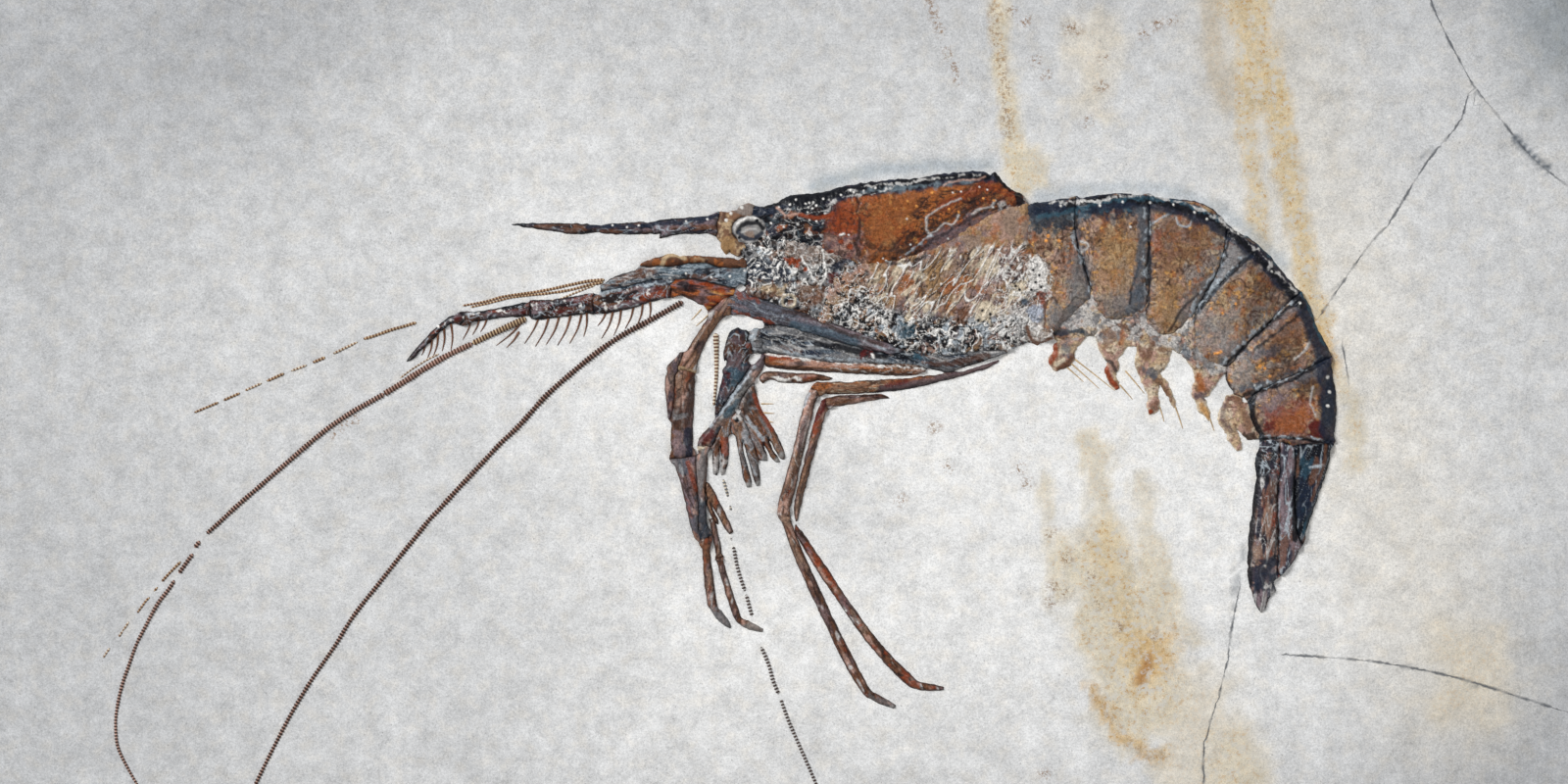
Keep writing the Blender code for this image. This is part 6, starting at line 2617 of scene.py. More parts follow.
def arm_plates() -> list[Plate]:
    """The arms under the flank, and the claws.

    Returns:
        The plates.
    """
    dark = Border(Tint.INK, 0.28, 0.85)
    return [
        Plate("arm_1", LIMB, LEG_SHELL, Tint.MAUVE, [
            *along(
                -17,
                Scatter(Tint.SLATE, 0.45, 12, 0.75, stretch=6),
                Scatter(Tint.BARK, 0.2, 7, 0.7, THREAD, stretch=7),
                Scatter(Tint.INK, 0.1, 6, 0.8, THREAD, stretch=6),
                Scatter(Tint.HAZE, 0.1, 7, 0.8, THREAD, stretch=6),
            ),
            patch(Tint.RUST, (752, 301), (772, 305), (772, 309), (756, 306), soft=2, strength=0.6),
            line(
                Tint.RUST, 1.5, (748, 317), (760, 321), (775, 326), (790, 330), ragged=2, strength=0.75,
                broken=0.5,
            ),
            line(Tint.TEAL, 4, (810, 332), (850, 341), (872, 348), soft=4, strength=0.7),
            line(Tint.BARK, 1.6, (800, 318), (830, 325), (860, 339), (900, 352), ragged=1.5, strength=0.7),
        ], dark),
        Plate("arm_2", LIMB, LEG_SHELL, Tint.SLATE, [
            *speckled(-14, Scatter(Tint.LEAD, 0.55, 9, 0.85, lean=-14, stretch=5)),
            *along(
                -14,
                Scatter(Tint.INK, 0.2, 8, 0.9, THREAD, stretch=5),
                Scatter(Tint.PEARL, 0.1, 7, 0.85, THREAD, stretch=4, lift=0.05),
            ),
            patch(Tint.HAZE, (764, 336), (774, 334), (770, 358), (765, 356), soft=2, strength=0.7),
            line(Tint.INK, 2.2, (832, 351), (860, 355), (884, 361), (905, 364), strength=0.9, ragged=1.6),
            line(
                Tint.HAZE, 1.0, (800, 359), (830, 365), (870, 368), (900, 369), (945, 373), ragged=1.5,
                strength=0.8, lift=0.06, broken=0.5,
            ),
            patch(Tint.BURGUNDY, (876, 359), (890, 360), (889, 366), (878, 365), soft=2, strength=0.85),
            line(Tint.WHITE, 0.7, (890, 361), (891, 365), lift=0.04),
            patch(Tint.TEAL, (931, 359), (940, 360), (938, 370), (932, 369), strength=0.9),
            line(Tint.UMBER, 2.6, (950, 371), (980, 369), (1008, 363), ragged=2, strength=0.75, broken=0.4),
        ], dark),
        Plate("arm_3", LIMB, LEG_SHELL, Tint.CLAY, [
            *along(
                -5,
                Scatter(Tint.ORANGE, 0.4, 10, 0.75, stretch=6),
                Scatter(Tint.ROSE, 0.25, 9, 0.7, stretch=5),
                Scatter(Tint.MAUVE, 0.25, 10, 0.65, stretch=5),
                Scatter(Tint.BARK, 0.28, 7, 0.8, THREAD, stretch=6),
            ),
            patch(Tint.RUST, (782, 363), (806, 364), (806, 369), (784, 369), soft=2.5, strength=0.85),
            Scatter(
                Tint.PEARL, 0.16, 6, 0.8, THREAD, lean=-5, stretch=3,
                area=((850, 370), (944, 372), (944, 384), (850, 382)), fade=4,
            ),
            line(
                Tint.WHITE, 0.5, (781, 362), (810, 364), (840, 368), (900, 373), (944, 376), ragged=1.8,
                strength=0.9, lift=0.05, broken=0.4,
            ),
            line(Tint.BARK, 0.9, (785, 374), (830, 378), (880, 381), (930, 382), ragged=1.5, strength=0.8),
        ], Border(Tint.BARK, 0.18, 0.7)),
        Plate("arm_4", SMALL_LIMB, LEG_SHELL, Tint.BROWN, limb_layers(
            0,
            line(
                Tint.WHITE, 0.9, (787, 384), (800, 387), (812, 385), (818, 390), ragged=1.5, strength=0.8,
                broken=0.4,
            ),
        ), Border(Tint.BARK, 0.2, 0.8)),
        Plate("claw_palm", LIMB, LEG_SHELL, Tint.UMBER, [
            *speckled(70, Scatter(Tint.PLUM, 0.35, 9, 0.75)),
            Scatter(
                Tint.BURGUNDY, 0.3, 9, 0.7, area=((730, 380), (744, 380), (742, 410), (728, 424)), fade=4,
            ),
            patch(Tint.TEAL, (745, 373), (763, 375), (758, 388), (744, 396), soft=5, strength=0.75),
            *dots(Tint.RUST, 2.2, (764, 353), soft=2.5, ragged=1.5, strength=0.6),
        ], dark),
        *(Plate(f"claw_{number}", SMALL_LIMB, LEG_SHELL, Tint.BROWN, [
            *along(
                lean,
                Scatter(Tint.CLAY, 0.4, 9, 0.7, stretch=3),
                Scatter(Tint.RUST, 0.12, 9, 0.5, stretch=3),
                Scatter(Tint.TAUPE, 0.25, 8, 0.6, stretch=4),
                Scatter(Tint.LEAD, 0.3, 8, 0.7, stretch=4),
                Scatter(Tint.BARK, 0.25, 6, 0.85, THREAD, stretch=5),
                Scatter(Tint.HAZE, 0.07, 6, 0.8, THREAD, stretch=4),
            ),
            *extra,
        ], Border(Tint.INK, 0.2, 0.9)) for number, lean, extra in CLAW_MARKS),
    ]


CLAW_MARKS = (
    (
        1, 88,
        (
            *patches(
                Tint.PEARL, ((727, 462), (735, 462), (734, 486), (727, 486)),
                ((735, 470), (742, 470), (740, 486), (735, 486)), soft=2, strength=0.6,
            ),
            patch(Tint.RUST, (736, 448), (743, 448), (743, 466), (736, 466), soft=2, strength=0.7),
        ),
    ),
    (
        2, -72,
        (
            *dots(Tint.INK, 2.6, (752, 428), ragged=1.0),
            line(Tint.PEARL, 1.2, (749, 426), (753, 423), (756, 428), strength=0.9),
            *dots(Tint.GREY, 2.4, (764, 495), (774, 494), soft=2),
            patch(Tint.HAZE, (757, 430), (764, 440), (766, 455), (760, 452), soft=2, strength=0.55),
        ),
    ),
    (
        3, -60,
        (
            *dots(Tint.GREY, 2.6, (781, 467), (794, 469), (798, 464), soft=2),
            patch(Tint.INK, (758, 404), (768, 400), (770, 412), (760, 420), soft=2.5, strength=0.8),
            line(Tint.RUST, 2.0, (770, 404), (776, 418), (788, 438), soft=2, ragged=1.0, strength=0.8),
            line(Tint.HAZE, 1.0, (762, 424), (770, 438), (778, 450), ragged=1.5, strength=0.7),
        ),
    ),
)


def tail_plates() -> list[Plate]:
    """The rings, the tail fan and the swimming legs under them.

    Returns:
        The plates.
    """
    dark = Border(Tint.INK, 0.32, 0.9)
    crest = ((1284, 444), (1322, 446), (1320, 476), (1284, 484))
    foot = ((1276, 575), (1320, 560), (1318, 600), (1276, 602))
    return [
        Plate("abdomen_1", RING, TAUPE_SHELL, Tint.TAUPE, ring_layers(
            80,
            patch(Tint.MIDNIGHT, (1050, 204), (1100, 203), (1098, 230), (1056, 236), soft=9, strength=0.9),
            Scatter(
                Tint.STEEL, 0.25, 8, 0.7, area=((1050, 206), (1100, 204), (1098, 232), (1054, 236)), fade=4,
            ),
            patch(Tint.LEAD, (1091, 262), (1112, 262), (1113, 310), (1090, 320), soft=6, strength=0.75),
            patch(Tint.LEAD, (1068, 316), (1100, 312), (1088, 332), (1070, 334), soft=4, strength=0.7),
            patch(Tint.WHITE, (1100, 248), (1113, 249), (1112, 256), (1102, 257), soft=2, strength=0.7),
            *glints((1067, 246), (1069, 241), (1080, 246), tint=Tint.AMBER_GLINT, radius=1.5),
        ), Border(Tint.NAVY, 0.26, 0.85)),
        Plate("abdomen_2", RING, TAUPE_SHELL, Tint.TAUPE, ring_layers(
            88,
            patch(Tint.OCHRE, (1120, 250), (1158, 240), (1158, 300), (1125, 310), soft=12, strength=0.5),
            patch(Tint.NAVY, (1095, 204), (1160, 198), (1160, 217), (1100, 222), soft=8, strength=0.9),
            Scatter(
                Tint.TEAL, 0.25, 8, 0.7, area=((1096, 204), (1160, 196), (1160, 220), (1100, 224)), fade=4,
            ),
            patch(Tint.LEAD, (1160, 212), (1171, 214), (1172, 268), (1162, 266), soft=5, strength=0.5),
            patch(Tint.LEAD, (1120, 300), (1160, 300), (1160, 326), (1126, 324), soft=6, strength=0.6),
            patch(Tint.SLATE, (1152, 296), (1170, 290), (1168, 316), (1150, 322), soft=4, strength=0.7),
            line(Tint.INK, 1.3, (1172, 214), (1173, 250), (1170, 290), strength=0.9, lift=-0.1),
            line(Tint.INK, 1.0, (1152, 310), (1155, 292), (1163, 268), ragged=1.6, strength=0.8),
        ), Border(Tint.NAVY, 0.26, 0.85)),
        Plate("abdomen_3", RING, TAUPE_SHELL, Tint.TAUPE, ring_layers(
            70,
            patch(Tint.BROWN, (1180, 225), (1240, 235), (1225, 270), (1180, 260), soft=10, strength=0.6),
            patch(Tint.RUST, (1174, 238), (1186, 236), (1185, 256), (1176, 258), soft=5, strength=0.4),
            patch(Tint.OCHRE, (1175, 295), (1205, 290), (1200, 335), (1178, 330), soft=8, strength=0.6),
            patch(Tint.LEAD, (1207, 304), (1235, 280), (1224, 326), (1202, 342), soft=6, strength=0.6),
            line(Tint.INK, 1.0, (1193, 338), (1204, 318), (1222, 300), ragged=1.5, strength=0.8, lift=-0.05),
            patch(Tint.INK, (1184, 203), (1200, 203), (1199, 213), (1186, 213), soft=2, strength=0.95),
            *lines(
                Tint.HAZE, 0.45, ((1173, 229), (1185, 223), (1195, 217), (1199, 214)),
                ((1199, 222), (1203, 230), (1209, 232), (1213, 230), (1216, 224), (1222, 217)),
                strength=0.85, lift=0.06, ragged=1.6,
            ),
        ), Border(Tint.NAVY, 0.26, 0.9)),
        Plate("abdomen_4", RING, TAUPE_SHELL, Tint.TAUPE, ring_layers(
            48,
            patch(
                Tint.LEAD, (1252, 245), (1282, 256), (1262, 272), (1228, 310), (1222, 310), (1248, 270),
                soft=4, strength=0.85,
            ),
            line(
                Tint.INK, 1.3, (1278, 258), (1265, 269), (1255, 279), (1245, 291), (1235, 302), (1226, 313),
                strength=0.95, lift=-0.12,
            ),
            patch(
                Tint.BARK, (1276, 268), (1312, 290), (1290, 320), (1270, 330), (1276, 300), soft=8,
                strength=0.55,
            ),
            patch(Tint.GREY, (1222, 318), (1262, 316), (1258, 360), (1226, 360), soft=9, strength=0.5),
            patch(Tint.LEAD, (1246, 356), (1274, 342), (1262, 364), (1240, 372), soft=5, strength=0.5),
            line(
                Tint.PEARL, 0.8, (1262, 356), (1272, 348), (1282, 340), ragged=1.5, strength=0.85, lift=0.06,
                broken=0.3,
            ),
            line(Tint.HAZE, 0.8, (1262, 247), (1271, 240), strength=0.8),
            line(Tint.HAZE, 0.8, (1250, 252), (1247, 268), (1236, 292), ragged=1.5, strength=0.7, broken=0.3),
            # Painted highlight, amber, on a raised, polished fleck.
            Mark(Tint.AMBER_GLINT, ((1239, 361), (1245, 359)), 0.9, 1.6, lift=0.06, shine=1.0),
            *glints((1247, 320), (1235, 315), (1260, 310), tint=Tint.AMBER_GLINT, radius=1.0),
        ), Border(Tint.INK, 0.28, 0.92)),
        Plate("abdomen_5", RING, TAUPE_SHELL, Tint.TAUPE, ring_layers(
            30,
            patch(Tint.BROWN, (1290, 325), (1330, 320), (1330, 350), (1295, 355), soft=8, strength=0.7),
            patch(Tint.SLATE, (1268, 355), (1302, 354), (1300, 364), (1268, 367), soft=5, strength=0.7),
            patch(Tint.BARK, (1296, 354), (1330, 348), (1318, 372), (1298, 376), soft=6, strength=0.55),
            patch(Tint.GREY, (1254, 376), (1280, 368), (1280, 396), (1262, 396), soft=5, strength=0.6),
            line(Tint.PEARL, 0.7, (1320, 366), (1330, 358), (1338, 343), strength=0.8, lift=0.06, ragged=1.5),
            patch(
                Tint.SLATE, (1266, 396), (1300, 388), (1326, 376), (1322, 384), (1290, 402), soft=4,
                strength=0.8,
            ),
            line(
                Tint.INK, 1.8, (1270, 402), (1300, 396), (1330, 380), (1345, 370), soft=2, ragged=2,
                strength=0.9,
            ),
            *glints((1285, 373), (1295, 384), (1290, 376), tint=Tint.AMBER_GLINT, radius=1.2),
            *glints((1293, 391), (1315, 391), (1280, 393), (1306, 388), radius=0.9),
        ), Border(Tint.INK, 0.28, 0.9)),
        Plate("abdomen_6", RING, SHELL, Tint.TAUPE, [
            *ring_layers(
                88,
                patch(Tint.MAUVE, (1283, 405), (1312, 403), (1310, 426), (1286, 428), soft=8, strength=0.75),
                patch(Tint.RUST, (1290, 422), (1336, 406), (1336, 448), (1292, 448), soft=7, strength=0.6),
                patch(Tint.ORANGE, (1300, 428), (1330, 420), (1326, 444), (1304, 446), soft=6, strength=0.5),
                patch(
                    Tint.BURGUNDY, (1335, 430), (1352, 428), (1352, 446), (1336, 448), soft=3, strength=0.95,
                ),
                patch(
                    Tint.BURGUNDY, (1290, 430), (1300, 430), (1299, 440), (1291, 440), soft=3, strength=0.8,
                ),
                patch(Tint.BARK, (1318, 376), (1350, 372), (1350, 408), (1320, 402), soft=8, strength=0.7),
                line(Tint.INK, 5.0, (1358, 388), (1357, 405), (1354, 430), soft=2.5, ragged=2, strength=0.95),
                line(Tint.INK, 3.0, (1277, 406), (1278, 425), (1287, 447), soft=2, strength=0.95),
                line(
                    Tint.PEARL, 0.5, (1338, 395), (1336, 410), (1341, 424), strength=0.7, lift=0.05,
                    ragged=1.5,
                ),
            ),
            *glints((1356, 400), (1354, 414), (1354, 385), radius=1.4),
        ], dark),
        Plate("tail_left_fan", RING, SHELL, Tint.MAUVE, [
            Scatter(Tint.SLATE, 0.4, 12, 0.7, lean=83, stretch=4),
            patch(Tint.BROWN, (1280, 490), (1303, 488), (1302, 574), (1280, 580), soft=7, strength=0.8),
            *along(
                83,
                Scatter(Tint.RUST, 0.25, 10, 0.7, stretch=2),
                Scatter(Tint.ROSE, 0.14, 8, 0.75, stretch=4, lift=0.03),
                Scatter(Tint.TAUPE, 0.25, 10, 0.7, stretch=4),
                Scatter(Tint.NAVY, 0.2, 9, 0.9, stretch=5, lift=-0.05),
                Scatter(Tint.INK, 0.12, 7, 0.9, THREAD, stretch=5, lift=-0.05),
                Scatter(Tint.PEARL, 0.14, 8, 0.9, THREAD, stretch=5, lift=0.05, crisp=0.03),
            ),
            *inside(
                crest, 4,
                Scatter(Tint.NAVY, 0.6, 9, 0.9),
                Scatter(Tint.INK, 0.3, 8, 0.9, THREAD),
                Scatter(Tint.HAZE, 0.3, 8, 0.9, THREAD, lift=0.08, crisp=0.04),
            ),
            Scatter(Tint.NAVY, 0.5, 8, 0.9, area=foot, fade=4),
            line(
                Tint.INK, 3.0, (1286, 462), (1282, 480), (1279, 520), (1275, 560), (1273, 596), soft=2,
                ragged=2, strength=0.92,
            ),
            line(Tint.INK, 1.2, (1302, 480), (1304, 520), (1300, 570), ragged=2.0, strength=0.75, broken=0.4),
        ], dark),
        Plate("tail_spike", LIMB, SLATE_SHELL, Tint.MAUVE, [
            *along(
                83,
                Scatter(Tint.BROWN, 0.35, 9, 0.7, stretch=4),
                Scatter(Tint.NAVY, 0.3, 8, 0.85, stretch=5),
                Scatter(Tint.HAZE, 0.22, 8, 0.85, THREAD, stretch=4, lift=0.04, crisp=0.04),
            ),
            line(Tint.INK, 2.6, (1322, 488), (1321, 515), (1321, 550), strength=0.95),
        ], dark),
        Plate("tail_right_fan", LIMB, SLATE_SHELL, Tint.NAVY, [
            *along(
                75,
                Scatter(Tint.INK, 0.5, 12, 0.9, stretch=3),
                Scatter(Tint.TEAL, 0.15, 9, 0.6, stretch=3),
                Scatter(Tint.HAZE, 0.07, 7, 0.9, THREAD, stretch=4, lift=0.04),
                Scatter(Tint.BROWN, 0.12, 9, 0.7, stretch=4),
            ),
            line(Tint.HAZE, 0.8, (1336, 477), (1350, 475), strength=0.9, lift=0.05),
            line(Tint.BROWN, 1.2, (1352, 455), (1350, 475), (1338, 510), strength=0.7),
        ], dark),
        *(Plate(f"pleopod_{number}", FLAP, CRUMPLED, Tint.ROSE, [
            Scatter(Tint.TAUPE, 0.3, 14, 0.7),
            Scatter(Tint.SAND, 0.4, 9, 0.8),
            Scatter(Tint.CREAM, 0.25, 8, 0.7),
            Scatter(Tint.BROWN, 0.16, 8, 0.75),
            Scatter(Tint.BARK, 0.08, 7, 0.8, THREAD),
            *inside(
                SKIRT, 4,
                Scatter(Tint.PEARL, 0.55, 10, 0.85),
                Scatter(Tint.LEAD, 0.3, 8, 0.8),
                Scatter(Tint.INK, 0.12, 7, 0.85, THREAD),
            ),
            *extra,
        ], Border(Tint.CREAM, 0.22, 0.55)) for number, extra in enumerate(PLEOPOD_MARKS, 1)),
    ]


SKIRT = (
    (1060, 316), (1116, 296), (1165, 318), (1216, 330), (1250, 378), (1236, 382), (1200, 356), (1154, 346),
    (1110, 347), (1068, 347),
)

PLEOPOD_MARKS = (
    (
        line(Tint.MIDNIGHT, 2.6, (1076, 340), (1090, 339), (1104, 338), ragged=2, strength=0.85, broken=0.3),
        line(Tint.RUST, 2.2, (1071, 370), (1077, 360), (1076, 352), soft=2, strength=0.9),
        line(Tint.BROWN, 2.4, (1080, 376), (1089, 372), (1094, 364), soft=2, strength=0.9),
        line(Tint.CREAM, 1.6, (1078, 372), (1085, 367), strength=0.9),
        patch(Tint.SLATE, (1082, 352), (1094, 352), (1093, 361), (1084, 361), soft=2, strength=0.7),
    ),
    (
        line(Tint.RUST, 2.2, (1129, 376), (1132, 386), (1140, 396), soft=1.5, strength=0.95),
        line(Tint.INK, 1.6, (1127, 368), (1134, 370), (1138, 378), strength=0.8),
        patch(Tint.CLAY, (1126, 336), (1136, 334), (1134, 356), (1126, 354), soft=3, strength=0.7),
        line(Tint.ORANGE, 2.0, (1146, 338), (1144, 350), soft=2, strength=0.7),
    ),
    (
        line(Tint.BROWN, 2.6, (1176, 384), (1184, 392), (1194, 408), soft=2, strength=0.8),
        patch(Tint.SLATE, (1166, 376), (1184, 376), (1182, 386), (1168, 386), soft=2.5, strength=0.75),
        line(Tint.BROWN, 2.4, (1163, 356), (1170, 366), (1176, 352), soft=2, strength=0.7),
        *dots(Tint.RUST, 2.2, (1174, 420), soft=1.5),
    ),
    (
        line(Tint.ORANGE, 3.0, (1223, 384), (1226, 396), soft=3, strength=0.8),
        patch(Tint.PLUM, (1217, 400), (1230, 402), (1228, 410), (1219, 408), soft=2, strength=0.8),
        line(Tint.GOLD, 2.4, (1226, 414), (1234, 426), soft=2, strength=0.7),
        patch(Tint.SLATE, (1203, 352), (1214, 350), (1214, 366), (1206, 364), soft=3, strength=0.7),
    ),
    (
        patch(Tint.BARK, (1269, 440), (1282, 438), (1284, 448), (1270, 448), soft=2, strength=0.9),
        line(Tint.CLAY, 3.0, (1262, 408), (1270, 424), (1274, 436), soft=3, strength=0.8),
        line(Tint.PLUM, 2.0, (1248, 414), (1248, 428), (1256, 440), soft=2, strength=0.6),
    ),
)

SEAMS = (
    Seam(("rostrum", "eyestalk", "eye", "carapace"), 10),
    Seam(("eyestalk", "eye", "mouthparts", "carapace"), 12),
    Seam(("carapace", "gill_region", "mouthparts"), 10, level=True),
    Seam(("gill_region", "abdomen_1"), 9, level=True),
    Seam(("carapace", "abdomen_1"), 9),
    Seam(("antennal_scale", "mouthparts", "antenna_peduncle"), 9),
    Seam(("antennal_scale", "maxilliped_thigh"), 7),
    Seam(("antennal_scale", "maxilliped_base"), 13),
    Seam(("mouthparts", "maxilliped_base", "arm_1"), 10),
    Seam(("gill_region", "arm_1", "mouthparts"), 10),
    Seam(("gill_region", "arm_2"), 7),
    Seam(("arm_1", "arm_2"), 5),
    Seam(("abdomen_1", "abdomen_2"), 8),
    Seam(("abdomen_2", "abdomen_3"), 8),
    Seam(("abdomen_3", "abdomen_4"), 8),
    Seam(("abdomen_4", "abdomen_5"), 8),
    Seam(("abdomen_5", "abdomen_6"), 8),
    Seam(("abdomen_6", "tail_left_fan", "tail_spike", "tail_right_fan"), 8),
    Seam(("tail_left_fan", "tail_spike", "tail_right_fan"), 5),
    Seam(("maxilliped_tip", "maxilliped_hand"), 7),
    Seam(("maxilliped_hand", "maxilliped_shank"), 2),
    Seam(("maxilliped_shank", "maxilliped_thigh"), 4),
    Seam(("maxilliped_thigh", "maxilliped_base"), 9),
    Seam(("maxilliped_base", "leg_1_thigh", "arm_1"), 9),
    Seam(("leg_1_thigh", "leg_1_shin", "leg_1_spur"), 6),
    Seam(("leg_1_shin", "leg_1_foot"), 9),
    Seam(("leg_1_foot", "leg_2_shin"), 7),
    Seam(("leg_2_thigh", "leg_2_shin"), 7),
    Seam(("leg_2_shin", "leg_2_foot"), 9),
    Seam(("leg_3_foot", "leg_3_shin"), 3),
    Seam(("claw_palm", "leg_2_thigh"), 6),
    Seam(("leg_2_thigh", "claw_1", "claw_2", "claw_3"), 6),
    Seam(("arm_2", "claw_palm", "leg_2_thigh"), 5),
    Seam(("arm_2", "arm_3"), 4),
    Seam(("arm_2", "leg_4_thigh"), 3),
    Seam(("leg_4_thigh", "leg_4_shin"), 5),
    Seam(("leg_4_shin", "leg_4_foot"), 4),
    Seam(("leg_5_thigh", "leg_5_shin"), 5),
    Seam(("gill_region", "pleopod_1", "abdomen_1"), 6),
    Seam(("pleopod_1", "pleopod_2", "abdomen_2"), 6),
    Seam(("pleopod_2", "pleopod_3", "abdomen_2", "abdomen_3"), 6),
    Seam(("pleopod_3", "pleopod_4", "abdomen_3", "abdomen_4"), 6),
    Seam(("pleopod_5", "abdomen_5", "abdomen_6"), 5),
)

DASH = {"bead": 3.3, "dark": Tint.BROWN, "pale": Tint.SAND, "dark_share": 0.7}
WORN = {"bead": 3.4, "dark": Tint.CLAY, "pale": Tint.CREAM, "cut": 0.3}
WHIP = {"bead": 3.2, "depth": 0.25, "dark": Tint.BARK, "pale": Tint.ROSE, "dark_share": 0.7}

FEELERS = {
    "antenna_thread": [
        Strand(((448, 361), (436, 367), (420, 377), (408, 386)), (0.8, 0.7), **WORN),
        Strand(((425, 329), (412, 333), (398, 337), (384, 342), (371, 346)), (1.5, 1.4), **DASH),
        Strand(((365, 349), (352, 355), (340, 361)), (1.1, 1.1), **WORN),
        Strand(((332, 364.5), (319, 370)), (1.4, 1.3), **DASH),
        Strand(((313, 372.5), (297, 378.5)), (1.0, 1.0), **WORN),
        Strand(((290, 381), (272, 389)), (1.3, 1.2), **DASH),
        Strand(((267, 391), (250, 398.5)), (1.0, 1.0), **WORN),
        Strand(((245, 401), (228, 408.5)), (1.2, 1.1), **DASH),
        Strand(((223, 410.5), (198, 421)), (1.1, 0.9), **DASH),
    ],
    "antenna_far": [
        Strand(((537, 325), (508, 338), (482, 350.5)), (3.1, 2.9), 3.2, 0.2, Tint.UMBER, Tint.SAND, 0.62),
        Strand(
            ((482, 350.5), (456, 363), (432, 377), (410, 391), (392, 402)),
            (2.6, 2.9), 3.2, 0.2, Tint.UMBER, Tint.ROSE, 0.62,
        ),
        Strand(
            (
                (392, 402), (376, 411), (360, 420), (336, 436), (316, 452), (297.5, 468), (279, 484),
                (260.5, 500), (242, 516), (227.5, 529.5), (211, 544.5),
            ),
            (2.5, 2.0), **WHIP,
        ),
        Strand(((204, 552), (198.5, 559)), (2.0, 1.9), **WHIP),
        Strand(((197, 565), (191, 573), (182.5, 585)), (2.0, 1.9), **WHIP),
        Strand(
            (
                (178, 592), (173, 600), (160, 617.5), (148, 640), (139, 658), (131, 680), (124, 701),
                (119, 725), (118, 743), (120.5, 763), (131, 785), (145, 808), (163, 830),
            ),
            (1.8, 1.2), **WHIP,
        ),
    ],
    "antenna_far_branch": [
        Strand(((184.5, 573), (173.5, 584), (165, 593.5)), (1.1, 1.1), **DASH),
        Strand(((161, 599), (157, 603.5)), (1.0, 1.0), **DASH),
        Strand(((153, 609.5), (149, 613), (140, 625.5)), (1.0, 1.0), **DASH),
        Strand(((131.5, 634.5), (121, 650)), (0.9, 0.9), **WORN),
        Strand(((112, 661), (105, 671.5)), (0.9, 0.8), **WORN),
    ],
    "antenna_near": [
        Strand(
            (
                (697, 308), (661, 328), (635, 342), (610, 359), (584, 380), (559, 402), (542.5, 420),
                (528, 436), (511, 452), (496, 468), (481, 484), (466, 500), (451.5, 516), (436.5, 532),
                (424, 548), (411, 564), (386, 596), (361, 628), (341, 660), (319, 692), (299.5, 724),
                (282.5, 756), (262, 797.5), (248, 830),
            ),
            (2.7, 1.5), 3.3, 0.3, Tint.BARK, Tint.ROSE, 0.8,
        ),
    ],
    "antenna_hanging_top": [
        Strand(
            ((730.5, 340), (731, 360), (731, 380), (730, 396), (728.5, 414)),
            (2.6, 1.2), 3.6, 0.1, Tint.BROWN, Tint.CREAM, 0.5,
        ),
    ],
    "antenna_hanging_middle": [
        Strand(
            ((738, 489), (741, 500), (744, 511), (746, 521)), (1.3, 1.2), 3.5, 0.3, Tint.LEAD, Tint.CREAM,
            0.7, cut=0.5,
        ),
        Strand(
            ((746, 549), (749, 561), (752, 577), (756, 591), (761, 606), (765, 620), (767.5, 629)),
            (1.4, 1.6), 3.5, 0.4, Tint.BARK, Tint.PEARL, 0.68, cut=0.3,
        ),
    ],
    "antenna_hanging_end": [
        Strand(
            (
                (776.5, 660), (781.5, 671), (785.5, 682), (789, 695), (796, 712), (801, 726), (806, 739),
                (817, 764), (831, 796), (840, 818),
            ),
            (1.6, 1.3), 3.5, 0.4, Tint.BARK, Tint.PEARL, 0.68, cut=0.26,
        ),
    ],
    "antennules": [
        Strand(
            (
                (617, 285.5), (600, 287), (580, 291), (560, 295.5), (540, 298.8), (515, 302.3), (495, 307.7),
                (472, 312),
            ),
            (1.5, 1.0), **DASH,
        ),
        Strand(
            (
                (615.5, 288), (600, 291), (582, 295.8), (560, 299.2), (538, 301.5), (520, 304), (500, 309),
                (480, 313.5),
            ),
            (1.4, 0.9), **DASH,
        ),
        Strand(((607, 291), (587, 298.7), (578, 302.5), (568, 305.8), (540, 309.6)), (1.0, 0.7), **WORN),
    ],
}

COMBS = {
    "maxilliped_tip": [
        ((434, 350), (430, 363)), ((441, 344), (436, 366)), ((447, 339), (442, 364)),
        ((453, 334), (451, 359)), ((460, 329), (460, 358)),
    ],
    "maxilliped_hand": [
        ((482, 320.5), (472, 347)), ((490, 322), (482, 342)), ((497, 324), (490, 339)),
        ((535, 326), (506, 353)), ((530, 338), (516.5, 355)),
    ],
    "maxilliped_shank": [
        ((552, 317), (535, 351)), ((561, 320), (546, 354)), ((571.5, 320), (557, 352)),
        ((583, 319), (568.5, 353)), ((594, 318), (581, 351)), ((598.5, 316), (595.5, 344)),
    ],
    "maxilliped_thigh": [
        ((619, 317), (609.5, 333)), ((626, 316), (613.5, 346)), ((634, 314), (626, 343)),
        ((647, 311), (637.5, 336)), ((656, 308), (650, 332)), ((663, 306), (662.3, 326)),
    ],
}

SETAE = {
    "pleopod_1": [((1092, 370), (1122, 397)), ((1096, 366), (1138, 399)), ((1088, 374), (1106, 390))],
    "pleopod_2": [((1148, 378), (1168, 402)), ((1142, 392), (1156, 408))],
    "pleopod_3": [((1198, 412), (1207, 438)), ((1183, 414), (1188, 431)), ((1160, 372), (1172, 398))],
    "pleopod_4": [((1234, 426), (1239, 440))],
    "claw_3": [((776, 412), (790, 412)), ((778, 421), (791, 422)), ((783, 430), (790, 431))],
    "arm_1": [((716, 315), (705, 327)), ((724, 320), (710, 333))],
}

